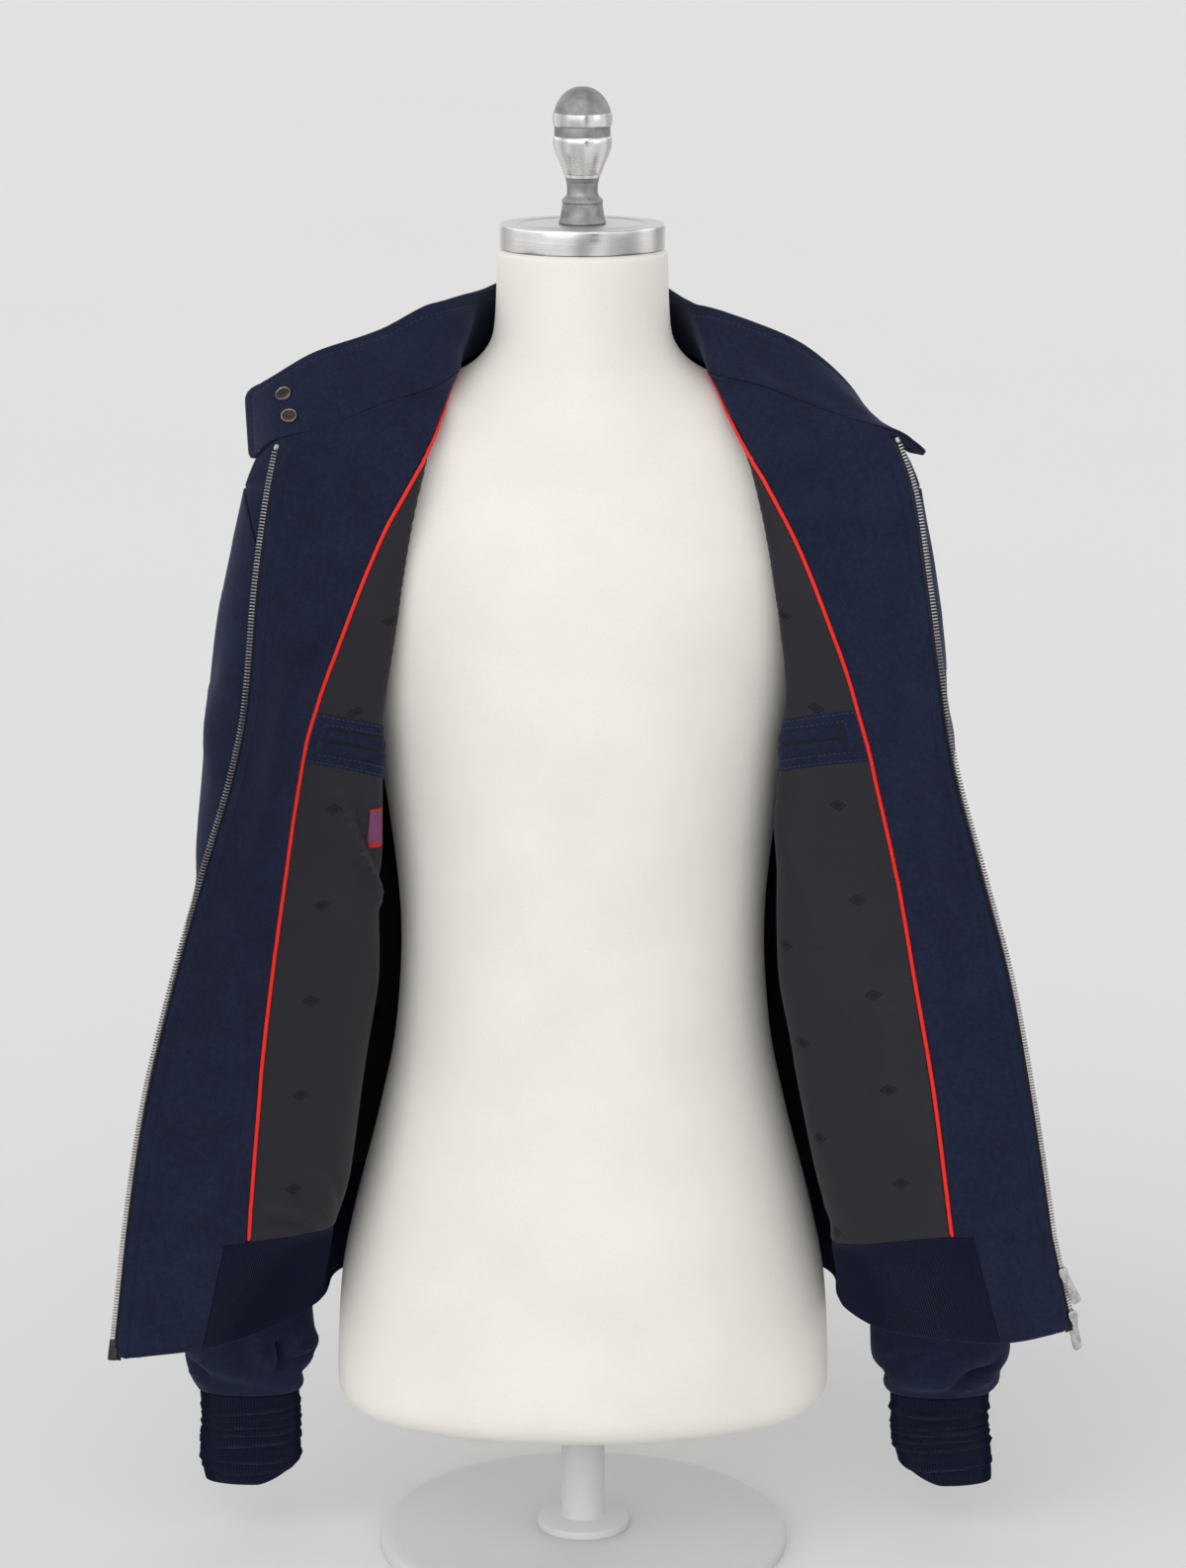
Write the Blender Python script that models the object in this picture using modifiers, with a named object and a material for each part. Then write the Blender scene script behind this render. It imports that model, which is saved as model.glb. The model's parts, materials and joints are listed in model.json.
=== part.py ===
"""Wool zip coat, worn wide open on a limbless dress form.

Right and left are the wearer's: the right front is at -X. The camera side is -Y and Z is up. The
origin is the centre of the foot's underside. Tables are in millimetres; the meshes are in metres.
"""

import math
from collections import namedtuple

import bmesh
import bpy
import numpy as np
from mathutils import Matrix, Vector

# ---- driving dimensions, in millimetres ----
SEAM = 0.3  # gap between neighbouring pieces
WOOL = 1.8  # outer cloth
FACING = 1.6  # inner wool: facing and inner collar
LINING = 1.0
KNIT = 2.6  # waistband and cuffs, folded double
PATCH = 0.9  # inner pocket patch
WELT = 0.8
LABEL = 0.6
PIPING_RADIUS = 1.1
TAPE_WIDTH, TAPE_THICK = 1.6, 0.9
CHAIN_WIDTH, CHAIN_THICK = 3.0, 2.4
HEM_HEIGHT = 190  # height of the waistband's lower edge above the floor
HEM_CORNER_RIGHT, HEM_CORNER_LEFT = 185, 198  # where the two zips end
BAND_TOP = 266  # height of the waistband's upper seam at the sides and back
UNDERARM = 575
ARMHOLE_TOP = 783
SHOULDER_ROWS, ARMHOLE_ROWS, SIDE_ROWS = 4, 6, 5
LINING_COLUMNS, FACING_COLUMNS = 6, 5
BACK_COLUMNS = 10
SLEEVE_SIDES = 14
CAP_RADIUS, CAP_TOP, CAP_THICK = 57.5, 970, 17
FORM_BASE = 105  # underside of the torso
FOOT_RADIUS, FOOT_THICK = 150, 12
POST_RADIUS = 16

# ---- dress form: one row for each level ----
FormRow = namedtuple("FormRow", "z half_width front back squareness")
TORSO = [
    FormRow(952.5, 56, 56, 56, 2.0),
    FormRow(949, 59.5, 59.5, 59.5, 2.0),
    FormRow(925, 60, 60, 61, 2.0),
    FormRow(895, 62, 58, 66, 2.0),
    FormRow(875.3, 74, 58, 71, 1.9),
    FormRow(859.3, 106.5, 62, 78, 1.55),
    FormRow(842, 156, 68, 88, 1.5),
    FormRow(822, 186, 78, 98, 1.7),
    FormRow(795, 195, 83, 106, 1.9),
    FormRow(760, 194, 96, 111, 2.0),
    FormRow(700, 172, 105, 115, 2.1),
    FormRow(640, 155, 108, 108, 2.1),
    FormRow(560, 139, 103, 98, 2.1),
    FormRow(470, 130, 98, 90, 2.1),
    FormRow(400, 134, 96, 92, 2.1),
    FormRow(330, 148, 98, 103, 2.1),
    FormRow(260, 166, 102, 112, 2.1),
    FormRow(200, 177, 105, 116, 2.1),
    FormRow(131, 180, 106, 113, 2.1),
    FormRow(114, 174, 100, 107, 2.1),
    FormRow(FORM_BASE, 157, 84, 91, 2.1),
]
TORSO_SIDES = 28

# ---- neckline and collar: one row for each station, from the centre back to the tab's end ----
CollarRow = namedtuple("CollarRow", "place seam_out seam_y seam_z top_out top_y top_z")
COLLAR_RIGHT = [
    CollarRow("centre back", 0, 84, 884, 0, 71, 936),
    CollarRow("back", 52, 70, 880, 44, 58, 928),
    CollarRow("shoulder", 88, 20, 870, 70, 12, 922),
    CollarRow("side of neck", 86, -28, 873, 79, -4, 922),
    CollarRow("wing start", 100, -56, 865, 103, -38, 919),
    CollarRow("wing", 136, -75, 855, 141, -45, 900.5),
    CollarRow("wing end", 176, -95, 841, 180, -63, 889.5),
    CollarRow("zip", 206, -105, 835, 211, -65, 871.5),
    CollarRow("tab end", 226, -89, 816, 231.5, -53, 859.5),
]
COLLAR_LEFT = [
    CollarRow("centre back", 0, 84, 884, 0, 71, 936),
    CollarRow("back", 52, 70, 880, 44, 58, 927),
    CollarRow("shoulder", 88, 20, 870, 70, 12, 916),
    CollarRow("side of neck", 88, -30, 871, 80, -4, 914),
    CollarRow("wing start", 119, -58, 866, 118, -16, 903),
    CollarRow("wing", 150, -68, 855, 149, -25, 890.5),
    CollarRow("wing end", 190, -87, 843, 179, -37.5, 866.5),
    CollarRow("zip", 212, -99, 839, 202, -44, 837),
    CollarRow("tab end", 235, -88, 822, 227, -33, 816),
]
SHOULDER_STATION = 2  # the collar row where the shoulder seam meets the neckline
FRONT_STATION = 3.3  # where the neckline leaves the front's first row
ZIP_STATION = 7

# ---- lines along the coat: distance out from the centre plane and depth, at each height ----
LineRow = namedtuple("LineRow", "z out y")
SHOULDER_SEAM = [
    LineRow(870, 88, 20),
    LineRow(861, 125, 14),
    LineRow(849, 165, 11),
    LineRow(828, 205, 10),
    LineRow(805, 226, 10),
    LineRow(ARMHOLE_TOP, 236, 10),
]
SIDE_SEAM = [
    LineRow(UNDERARM, 174, 22),
    LineRow(480, 170, 26),
    LineRow(380, 178, 26),
    LineRow(BAND_TOP, 190, 22),
]
RIDGE_RIGHT = [
    LineRow(872, 87, -22),
    LineRow(850, 97, -52),
    LineRow(830, 103, -72),
    LineRow(806, 110, -80),
    LineRow(780, 116, -85),
    LineRow(700, 129, -81),
    LineRow(620, 140, -73),
    LineRow(540, 141, -67),
    LineRow(460, 143, -63),
    LineRow(380, 155, -62),
    LineRow(300, 167, -62),
    LineRow(BAND_TOP, 178, -63),
]
RIDGE_LEFT = [
    LineRow(872, 88, -22),
    LineRow(850, 100, -52),
    LineRow(830, 110, -72),
    LineRow(806, 118, -80),
    LineRow(780, 124, -85),
    LineRow(700, 137, -81),
    LineRow(655, 142, -76),
    LineRow(620, 139, -73),
    LineRow(540, 136, -67),
    LineRow(460, 138, -63),
    LineRow(380, 152, -62),
    LineRow(300, 168, -64),
    LineRow(BAND_TOP, 178, -68),
]
MIDDLE_RIGHT = [
    LineRow(830, 158, -86),
    LineRow(780, 166, -98),
    LineRow(700, 178, -108),
    LineRow(620, 193, -106),
    LineRow(540, 206, -106),
    LineRow(460, 217, -106),
    LineRow(380, 227, -107),
    LineRow(BAND_TOP, 236, -109),
]
MIDDLE_LEFT = [
    LineRow(830, 163, -86),
    LineRow(780, 174, -98),
    LineRow(700, 186, -109),
    LineRow(620, 199, -106),
    LineRow(540, 217, -107),
    LineRow(460, 232, -110),
    LineRow(380, 246, -115),
    LineRow(BAND_TOP, 261, -121),
]
EDGE_RIGHT = [
    LineRow(835, 206, -105),
    LineRow(800, 213, -118),
    LineRow(740, 221, -137),
    LineRow(660, 228, -154),
    LineRow(620, 236, -158),
    LineRow(540, 260, -158),
    LineRow(460, 283, -152),
    LineRow(380, 303, -144),
    LineRow(300, 317, -134),
    LineRow(HEM_CORNER_RIGHT, 332, -126),
]
EDGE_LEFT = [
    LineRow(839, 212, -99),
    LineRow(800, 226, -112),
    LineRow(740, 235, -131),
    LineRow(660, 246, -146),
    LineRow(620, 253, -147),
    LineRow(540, 275, -142),
    LineRow(460, 297, -132),
    LineRow(380, 313, -121),
    LineRow(300, 327, -108),
    LineRow(240, 337, -103),
    LineRow(HEM_CORNER_LEFT, 349, -98),
]
BACK_CENTRE = [
    LineRow(884, 0, 84),
    LineRow(860, 0, 100),
    LineRow(810, 0, 117),
    LineRow(720, 0, 128),
    LineRow(640, 0, 128),
    LineRow(540, 0, 122),
    LineRow(460, 0, 120),
    LineRow(340, 0, 128),
    LineRow(BAND_TOP, 0, 131),
]
# Where the piping crosses the front, counted along its guides: 2 is the ridge, 3 the middle line.
PipingRow = namedtuple("PipingRow", "z guide")
PIPING = [
    PipingRow(872, 1.75),
    PipingRow(835, 1.86),
    PipingRow(822, 2.04),
    PipingRow(800, 2.19),
    PipingRow(780, 2.32),
    PipingRow(740, 2.56),
    PipingRow(700, 2.77),
    PipingRow(655, 2.94),
    PipingRow(610, 3.0),
    PipingRow(BAND_TOP, 3.0),
]
# Waistband and hem tab from the side seam to the zip: height of the upper seam, then the lower edge.
HemRow = namedtuple("HemRow", "place guide top out y z")
HEM_RIGHT = [
    HemRow("side seam", 0.0, BAND_TOP, 187, 24, 190),
    HemRow("under the first leg", 1.0, 266, 188, 6, 190),
    HemRow("ridge", 2.0, 265, 192, -16, 191),
    HemRow("inner front", 2.5, 266, 212, -62, 192),
    HemRow("tab seam", 3.2, 266, 269, -115, 188.5),
    HemRow("zip", 4.0, 266, 332, -126, HEM_CORNER_RIGHT),
]
HEM_LEFT = [
    HemRow("side seam", 0.0, BAND_TOP, 187, 24, 190),
    HemRow("under the first leg", 1.0, 262, 186, 4, 190),
    HemRow("ridge", 2.0, 255, 189, -24, 190),
    HemRow("inner front", 2.5, 264, 213, -78, 191),
    HemRow("tab seam", 3.2, 275, 295, -120, 195),
    HemRow("zip", 4.0, 270, 348.5, -98, HEM_CORNER_LEFT),
]
BULGE_FRONT, BULGE_SIDE = 9, 10  # how far the hidden first leg swells outward

# ---- sleeves: one row for each ring below the underarm ----
SleeveRow = namedtuple("SleeveRow", "z out y half_width half_depth")
SLEEVE_RIGHT = [
    SleeveRow(545, 228, 16, 46, 52),
    SleeveRow(480, 232, 16, 49, 48),
    SleeveRow(400, 237, 15, 50, 44),
    SleeveRow(320, 242, 14, 48, 40),
    SleeveRow(240, 245, 14, 46, 35),
    SleeveRow(180, 246, 15, 46, 30),
    SleeveRow(145, 245, 15, 47, 27),
    SleeveRow(124, 245, 15, 43, 23),
    SleeveRow(113, 246, 15, 36, 17),
]
SLEEVE_LEFT = [
    SleeveRow(545, 222, 18, 43, 52),
    SleeveRow(480, 230, 18, 46, 48),
    SleeveRow(400, 241, 18, 47, 44),
    SleeveRow(320, 251, 18, 48, 40),
    SleeveRow(240, 258, 18, 50, 35),
    SleeveRow(180, 262, 18, 50, 30),
    SleeveRow(145, 263, 17, 50, 27),
    SleeveRow(122, 263, 16, 45, 23),
    SleeveRow(111, 263, 15, 36, 17),
]
CUFF_RIGHT = [
    SleeveRow(111.4, 246, 15, 34, 15.5),
    SleeveRow(92, 245, 15, 34, 16),
    SleeveRow(64, 246, 15, 35, 16),
    SleeveRow(42, 244, 15, 33, 15),
]
CUFF_LEFT = [
    SleeveRow(109.4, 263, 15, 34, 15.5),
    SleeveRow(88, 263, 15, 33.5, 16),
    SleeveRow(62, 266, 15, 33.5, 16),
    SleeveRow(41, 268, 15, 32, 15),
]
HEAD_RINGS = 4  # rings between the armhole and the first sleeve row
HEAD_SWELL = 6
HEAD_SWELL_FROM = 680  # only the part of the head above this height swells
HEAD_GAP, UNDERARM_GAP = 0.7, 4.4  # from the armhole out to the sleeve, and more under the arm
ARMHOLE_DEPTH = 56

Side = namedtuple("Side", "name sign collar ridge middle edge hem sleeve cuff")
RIGHT = Side(
    "right", -1, COLLAR_RIGHT, RIDGE_RIGHT, MIDDLE_RIGHT, EDGE_RIGHT, HEM_RIGHT, SLEEVE_RIGHT, CUFF_RIGHT
)
LEFT = Side("left", 1, COLLAR_LEFT, RIDGE_LEFT, MIDDLE_LEFT, EDGE_LEFT, HEM_LEFT, SLEEVE_LEFT, CUFF_LEFT)

# ---- colours (linear-light RGB), roughness, metallic ----
WOOL_NAVY = ((0.011, 0.014, 0.036), 0.85, 0.0)
KNIT_NAVY = ((0.010, 0.012, 0.036), 0.9, 0.0)
CHARCOAL = ((0.028, 0.028, 0.031), 0.55, 0.0)
RED = ((0.85, 0.03, 0.02), 0.5, 0.0)
MAUVE = ((0.16, 0.04, 0.10), 0.6, 0.0)
CREAM = ((0.75, 0.71, 0.64), 0.8, 0.0)
ALUMINIUM = ((0.62, 0.61, 0.59), 0.32, 1.0)
STAND_GREY = ((0.60, 0.60, 0.60), 0.5, 0.0)
GUNMETAL = ((0.20, 0.18, 0.15), 0.3, 1.0)
NICKEL = ((0.55, 0.55, 0.55), 0.25, 1.0)
ZIP_TAPE = ((0.008, 0.010, 0.02), 0.8, 0.0)


# ---- curves through table rows ----
def slopes(places, values):
    """Slope at each row, limited so that the curve never overshoots a row."""
    steps = np.diff(places)[:, None]
    rises = np.diff(values, axis=0) / steps
    product = rises[:-1] * rises[1:]
    total = np.where(product > 0, rises[:-1] + rises[1:], 1.0)
    inner = np.where(product > 0, 2 * product / total, 0.0)
    return np.vstack([rises[:1], inner, rises[-1:]])


def along(places, values, at):
    """Value at one place of the smooth curve through rising places."""
    places = np.asarray(places, float)
    values = np.asarray(values, float)
    at = min(max(at, places[0]), places[-1])
    i = min(int(np.searchsorted(places, at, side="right")) - 1, len(places) - 2)
    span = places[i + 1] - places[i]
    t = (at - places[i]) / span
    slope = slopes(places, values)
    return (
        (2 * t**3 - 3 * t**2 + 1) * values[i]
        + (t**3 - 2 * t**2 + t) * span * slope[i]
        + (3 * t**2 - 2 * t**3) * values[i + 1]
        + (t**3 - t**2) * span * slope[i + 1]
    )


def at_height(table, z):
    """The other columns of a table whose first column is the height, at one height."""
    rows = np.array([row[:] for row in table], float)[::-1]
    return along(rows[:, 0], rows[:, 1:], z)


def line_point(side, table, z):
    out, y = at_height(table, z)
    return np.array([side.sign * out, y, z])


def lerp(a, b, t):
    return a + (b - a) * t


def through(points, at):
    """Point on a rounded curve through a few points; whole numbers are the points themselves."""
    points = np.asarray(points, float)
    chords = np.linalg.norm(np.diff(points, axis=0), axis=1)
    i = min(int(at), len(points) - 2)
    t = at - i
    run = np.diff(points, axis=0) / chords[:, None]
    tangents = [run[0]]
    for before, after, a, b in zip(run[:-1], run[1:], chords[:-1], chords[1:]):
        tangents.append((before * b + after * a) / (a + b))
    tangents.append(run[-1])
    return (
        (2 * t**3 - 3 * t**2 + 1) * points[i]
        + (t**3 - 2 * t**2 + t) * chords[i] * tangents[i]
        + (3 * t**2 - 2 * t**3) * points[i + 1]
        + (t**3 - t**2) * chords[i] * tangents[i + 1]
    )


# ---- the coat's own lines ----
def collar_point(side, station, top=0.0):
    """Point on the collar: station counts the table's rows, top is 0 at the seam and 1 at the edge."""
    rows = np.array([row[1:] for row in side.collar], float)
    values = along(range(len(rows)), rows, station)
    seam, edge = values[:3], values[3:]
    point = lerp(seam, edge, top)
    point[0] *= side.sign
    return point


def armhole_point(side, turn, branch):
    """Point on the armhole: turn is 0 at the shoulder and pi at the underarm, branch -1 front, 1 back."""
    top = line_point(side, SHOULDER_SEAM, ARMHOLE_TOP)
    bottom = line_point(side, SIDE_SEAM, UNDERARM)
    point = lerp(top, bottom, (1 - math.cos(turn)) / 2)
    point[1] += branch * ARMHOLE_DEPTH * math.sin(turn)
    return point


ROWS = SHOULDER_ROWS + ARMHOLE_ROWS + SIDE_ROWS


def seam_point(side, row, branch):
    """The edge that front and back share: shoulder seam, armhole, then side seam."""
    if row <= SHOULDER_ROWS:
        z = lerp(SHOULDER_SEAM[0].z, ARMHOLE_TOP, row / SHOULDER_ROWS)
        return line_point(side, SHOULDER_SEAM, z)
    if row <= SHOULDER_ROWS + ARMHOLE_ROWS:
        turn = math.pi * (row - SHOULDER_ROWS) / ARMHOLE_ROWS
        return armhole_point(side, turn, branch)
    down = (row - SHOULDER_ROWS - ARMHOLE_ROWS) / SIDE_ROWS
    return line_point(side, SIDE_SEAM, lerp(UNDERARM, BAND_TOP, down))


def row_height(row, start, end=BAND_TOP):
    """Height of a line at one row: level with the side seam at the underarm, end at the waistband."""
    armhole_end = SHOULDER_ROWS + ARMHOLE_ROWS
    if row <= armhole_end:
        return lerp(start, UNDERARM, (row - SHOULDER_ROWS) / ARMHOLE_ROWS)
    return lerp(UNDERARM, end, (row - armhole_end) / SIDE_ROWS)


def at_hem(side, guide):
    """The hem table's columns at one guide: height of the seam above, then out, y and z below."""
    rows = np.array([row[1:] for row in side.hem], float)
    return along(rows[:, 0], rows[:, 1:], guide)


def first_leg_swell(side, seam, ridge, row):
    """Middle of the hidden leg between seam and ridge, swollen away from the form."""
    middle = (seam + ridge) / 2
    if row <= SHOULDER_ROWS:
        lift = np.array([side.sign * 0.45, -0.55, 0.7]) * BULGE_FRONT * min(1, row / 2)
        return middle + lift
    run = ridge - seam
    outward = np.array([side.sign * abs(run[1]), -abs(run[0]), 0.0])
    outward /= np.linalg.norm(outward)
    below = max(0.0, (row - SHOULDER_ROWS) / (ROWS - SHOULDER_ROWS))
    return middle + outward * lerp(2, BULGE_SIDE, below)


def front_guides(side, row):
    """The five points that one row of a front passes: seam, first leg, ridge, middle, edge."""
    seam = seam_point(side, row, -1)
    if row <= SHOULDER_ROWS:
        down = row / SHOULDER_ROWS
        edge = collar_point(side, lerp(FRONT_STATION, ZIP_STATION, down))
        ridge = line_point(side, side.ridge, lerp(side.ridge[0].z, 806, down))
        middle = (ridge + edge) / 2
    else:
        ends = [at_hem(side, guide)[0] for guide in (2, 3, 4)]
        ridge = line_point(side, side.ridge, row_height(row, 806, ends[0]))
        middle = line_point(side, side.middle, row_height(row, 822, ends[1]))
        edge = line_point(side, side.edge, row_height(row, side.edge[0].z, ends[2]))
    return [seam, first_leg_swell(side, seam, ridge, row), ridge, middle, edge]


def piping_guide(row):
    if row <= SHOULDER_ROWS:
        return at_height(PIPING, lerp(PIPING[0].z, 822, row / SHOULDER_ROWS))[0]
    return at_height(PIPING, row_height(row, 822))[0]


def front_columns(row):
    """Guide number of each column: the lining's, then the facing's from the piping to the edge."""
    piping = piping_guide(row)
    lining = [lerp(0, piping, i / LINING_COLUMNS) for i in range(LINING_COLUMNS)]
    facing = [lerp(piping, 4, i / FACING_COLUMNS) for i in range(FACING_COLUMNS + 1)]
    return lining + facing


def front_grid(side):
    columns = LINING_COLUMNS + FACING_COLUMNS
    stations = [lerp(SHOULDER_STATION, FRONT_STATION, i / columns) for i in range(columns + 1)]
    rows = [[collar_point(side, station) for station in stations]]
    for row in range(1, ROWS + 1):
        guides = front_guides(side, row)
        rows.append([through(guides, at) for at in front_columns(row)])
    return np.array(rows)


def hem_point(side, guide):
    _, out, y, z = at_hem(side, guide)
    return np.array([side.sign * out, y, z])


def band_grid(side):
    """Waistband and hem tab under a front: from its last row down to the hem."""
    top = front_grid(side)[-1]
    bottom = np.array([hem_point(side, at) for at in front_columns(ROWS)])
    return np.array([lerp(top, bottom, down) for down in (0, 0.5, 1)])


def back_row(row):
    """One row of the back, from the right seam round to the left one."""
    right = seam_point(RIGHT, row, 1)
    left = seam_point(LEFT, row, 1)
    if row == 0:
        half = BACK_COLUMNS // 2
        right_half = [collar_point(RIGHT, lerp(SHOULDER_STATION, 0, i / half)) for i in range(half)]
        left_half = [collar_point(LEFT, lerp(0, SHOULDER_STATION, i / half)) for i in range(half + 1)]
        return right_half + left_half
    if row <= SHOULDER_ROWS:
        centre_z = lerp(BACK_CENTRE[0].z, 812, row / SHOULDER_ROWS)
    else:
        centre_z = row_height(row, 812)
    centre_y = at_height(BACK_CENTRE, centre_z)[1]
    points = []
    for i in range(BACK_COLUMNS + 1):
        turn = math.pi * (i / BACK_COLUMNS - 0.5)
        seam = left if turn > 0 else right
        share = math.cos(turn) ** 0.85
        points.append(
            np.array(
                [
                    abs(math.sin(turn)) * seam[0],
                    lerp(seam[1], centre_y, share),
                    lerp(seam[2], centre_z, share),
                ]
            )
        )
    return points


def back_grid():
    return np.array([back_row(row) for row in range(ROWS + 1)])


def back_band_grid():
    top = back_grid()[-1]
    bottom = []
    for i, point in enumerate(top):
        turn = math.pi * (i / BACK_COLUMNS - 0.5)
        share = math.cos(turn) ** 0.85
        seam = hem_point(LEFT if turn > 0 else RIGHT, 0)
        bottom.append(
            np.array([abs(math.sin(turn)) * seam[0], lerp(seam[1], 124, share), HEM_HEIGHT])
        )
    return np.array([lerp(top, np.array(bottom), down) for down in (0, 0.5, 1)])


def ring(out, y, z, half_width, half_depth, sign):
    """Level ring of a sleeve: it starts outside, then goes forward, inside and behind."""
    points = []
    for i in range(SLEEVE_SIDES):
        turn = 2 * math.pi * i / SLEEVE_SIDES
        points.append(
            np.array(
                [
                    sign * (out + half_width * math.cos(turn)),
                    y - half_depth * math.sin(turn),
                    z,
                ]
            )
        )
    return points


def armhole_ring(side):
    """The sleeve's first ring, just outside the armhole and further out under the arm."""
    points = []
    for i in range(SLEEVE_SIDES):
        turn = 2 * math.pi * i / SLEEVE_SIDES
        branch = -1 if turn <= math.pi else 1
        point = armhole_point(side, turn if turn <= math.pi else 2 * math.pi - turn, branch)
        point[0] += side.sign * (HEAD_GAP + UNDERARM_GAP * max(0.0, -math.cos(turn)))
        points.append(point)
    return points


def sleeve_grid(side):
    head = armhole_ring(side)
    first = ring(*side.sleeve[0][1:3], side.sleeve[0].z, *side.sleeve[0][3:], side.sign)
    rings = []
    for k in range(HEAD_RINGS):
        down = k / HEAD_RINGS
        blend = []
        for start, end in zip(head, first):
            point = lerp(start, end, down)
            point[0] += side.sign * HEAD_SWELL * math.sin(math.pi * down) * (
                1 if start[2] > HEAD_SWELL_FROM else 0
            )
            blend.append(point)
        rings.append(blend)
    for row in side.sleeve:
        rings.append(ring(row.out, row.y, row.z, row.half_width, row.half_depth, side.sign))
    return np.array(rings)


def cuff_grid(side):
    return np.array(
        [ring(row.out, row.y, row.z, row.half_width, row.half_depth, side.sign) for row in side.cuff]
    )


# ---- grids into cloth ----
def grid_normals(grid, closed=False):
    """Unit normals of a grid of points, pointing along columns x rows."""
    down = np.gradient(grid, axis=0)
    if closed:
        across = (np.roll(grid, -1, axis=1) - np.roll(grid, 1, axis=1)) / 2
    else:
        across = np.gradient(grid, axis=1)
    normals = np.cross(across, down)
    return normals / np.linalg.norm(normals, axis=2, keepdims=True)


def trimmed(grid, top=0.0, bottom=0.0, first=0.0, last=0.0):
    """The grid with its borders drawn in by these distances."""
    grid = grid.copy()

    def draw(edge, neighbour, distance):
        run = neighbour - edge
        return edge + run / np.linalg.norm(run, axis=-1, keepdims=True) * distance

    grid[0], grid[-1] = draw(grid[0], grid[1], top), draw(grid[-1], grid[-2], bottom)
    grid[:, 0] = draw(grid[:, 0], grid[:, 1], first)
    grid[:, -1] = draw(grid[:, -1], grid[:, -2], last)
    return grid


def material(name, look):
    colour, roughness, metallic = look
    made = bpy.data.materials.get(name) or bpy.data.materials.new(name)
    made.use_nodes = True
    shader = made.node_tree.nodes["Principled BSDF"]
    shader.inputs["Base Color"].default_value = (*colour, 1)
    shader.inputs["Roughness"].default_value = roughness
    shader.inputs["Metallic"].default_value = metallic
    return made


def add_object(name, mesh, look):
    obj = bpy.data.objects.new(name, mesh)
    collection().objects.link(obj)
    mesh.materials.append(material(name, look))
    mesh.shade_smooth()
    mesh.set_sharp_from_angle(angle=math.radians(40))
    return obj


def collection(name="wool_zip_coat_on_dress_form"):
    made = bpy.data.collections.get(name)
    if made is None:
        made = bpy.data.collections.new(name)
        bpy.context.scene.collection.children.link(made)
    return made


def sheet(name, grid, look, outside, start, thickness, closed=False, skip=(), normals=None):
    """Cloth wall: the grid's surface moved by start along its outside, then thickened by Solidify.

    A negative thickness grows towards the inside. skip holds the (row, column) cells left out.
    Layers of one panel share the whole panel's normals, so that they stay the same distance apart.
    """
    if normals is None:
        normals = grid_normals(grid, closed)
    points = (grid + normals * outside * start).reshape(-1, 3) * 0.001
    rows, columns = grid.shape[:2]
    across = columns if closed else columns - 1
    faces = []
    for r in range(rows - 1):
        for c in range(across):
            if (r, c) in skip:
                continue
            after = (c + 1) % columns
            corners = [
                r * columns + c,
                r * columns + after,
                (r + 1) * columns + after,
                (r + 1) * columns + c,
            ]
            for triangle in (corners[:3], [corners[0], *corners[2:]]):
                faces.append(triangle if outside > 0 else triangle[::-1])
    mesh = bpy.data.meshes.new(name)
    mesh.from_pydata(points.tolist(), [], faces)
    obj = add_object(name, mesh, look)
    used = bmesh.new()
    used.from_mesh(mesh)
    bmesh.ops.delete(used, geom=[v for v in used.verts if not v.link_faces], context="VERTS")
    used.to_mesh(mesh)
    used.free()
    wall = obj.modifiers.new("wall", "SOLIDIFY")
    wall.thickness = abs(thickness) * 0.001
    wall.offset = 1 if thickness > 0 else -1
    return obj


# ---- pieces of the coat ----
EDGE_INSET = CHAIN_WIDTH / 2 + SEAM + TAPE_WIDTH + SEAM  # from the teeth's middle to the wool edge
LAYER = 0.5  # half the gap between the outer cloth and what lines it
NECK_SEAM = 3.0  # outer layers meet at an angle along the neckline
ARMHOLE_SEAM = 2.4  # and around the armhole
LINING_SEAM = 1.4  # linings meet at an angle along the shoulder
INNER_NECK_SEAM = 1.3
CROSSING_CLEAR = 2.5  # extra depth of the lining where it bends sharply
PIPING_CLEAR = 0.1  # the piping's extra distance from the facing and from the outer cloth
LINING_CLEAR = 1.0
Ends = namedtuple("Ends", "top bottom")
PIPING_ENDS = Ends(2.0, 0.8)  # how far the piping stops short of the collar and of the waistband


def by_row(shoulder, armhole, side, below=0):
    """One distance for each row: along the shoulder, around the armhole, then down the side."""
    rows = [shoulder] * SHOULDER_ROWS + [armhole] * (ARMHOLE_ROWS + 1) + [side] * (SIDE_ROWS + below)
    return np.array(rows)[:, None]


def make_front(side):
    whole = front_grid(side)
    grid = trimmed(
        whole,
        top=NECK_SEAM,
        bottom=SEAM / 2,
        first=by_row(SEAM / 2, ARMHOLE_SEAM, SEAM / 2),
        last=by_row(NECK_SEAM, EDGE_INSET, EDGE_INSET),
    )
    outside = side.sign
    sheet(f"front_{side.name}", grid, WOOL_NAVY, outside, LAYER, WOOL, normals=grid_normals(whole))


def make_facing(side):
    whole = np.concatenate([front_grid(side), band_grid(side)[1:]])
    grid = trimmed(
        whole[:, LINING_COLUMNS:],
        top=INNER_NECK_SEAM,
        first=PIPING_RADIUS + SEAM + PIPING_CLEAR,
        last=by_row(SEAM / 2, EDGE_INSET, EDGE_INSET, below=2),
    )
    normals = grid_normals(whole)[:, LINING_COLUMNS:]
    notch = {(ROWS, 0), (ROWS + 1, 0)}
    name = f"facing_{side.name}"
    sheet(name, grid, WOOL_NAVY, side.sign, -LAYER, -FACING, skip=notch, normals=normals)


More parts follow.
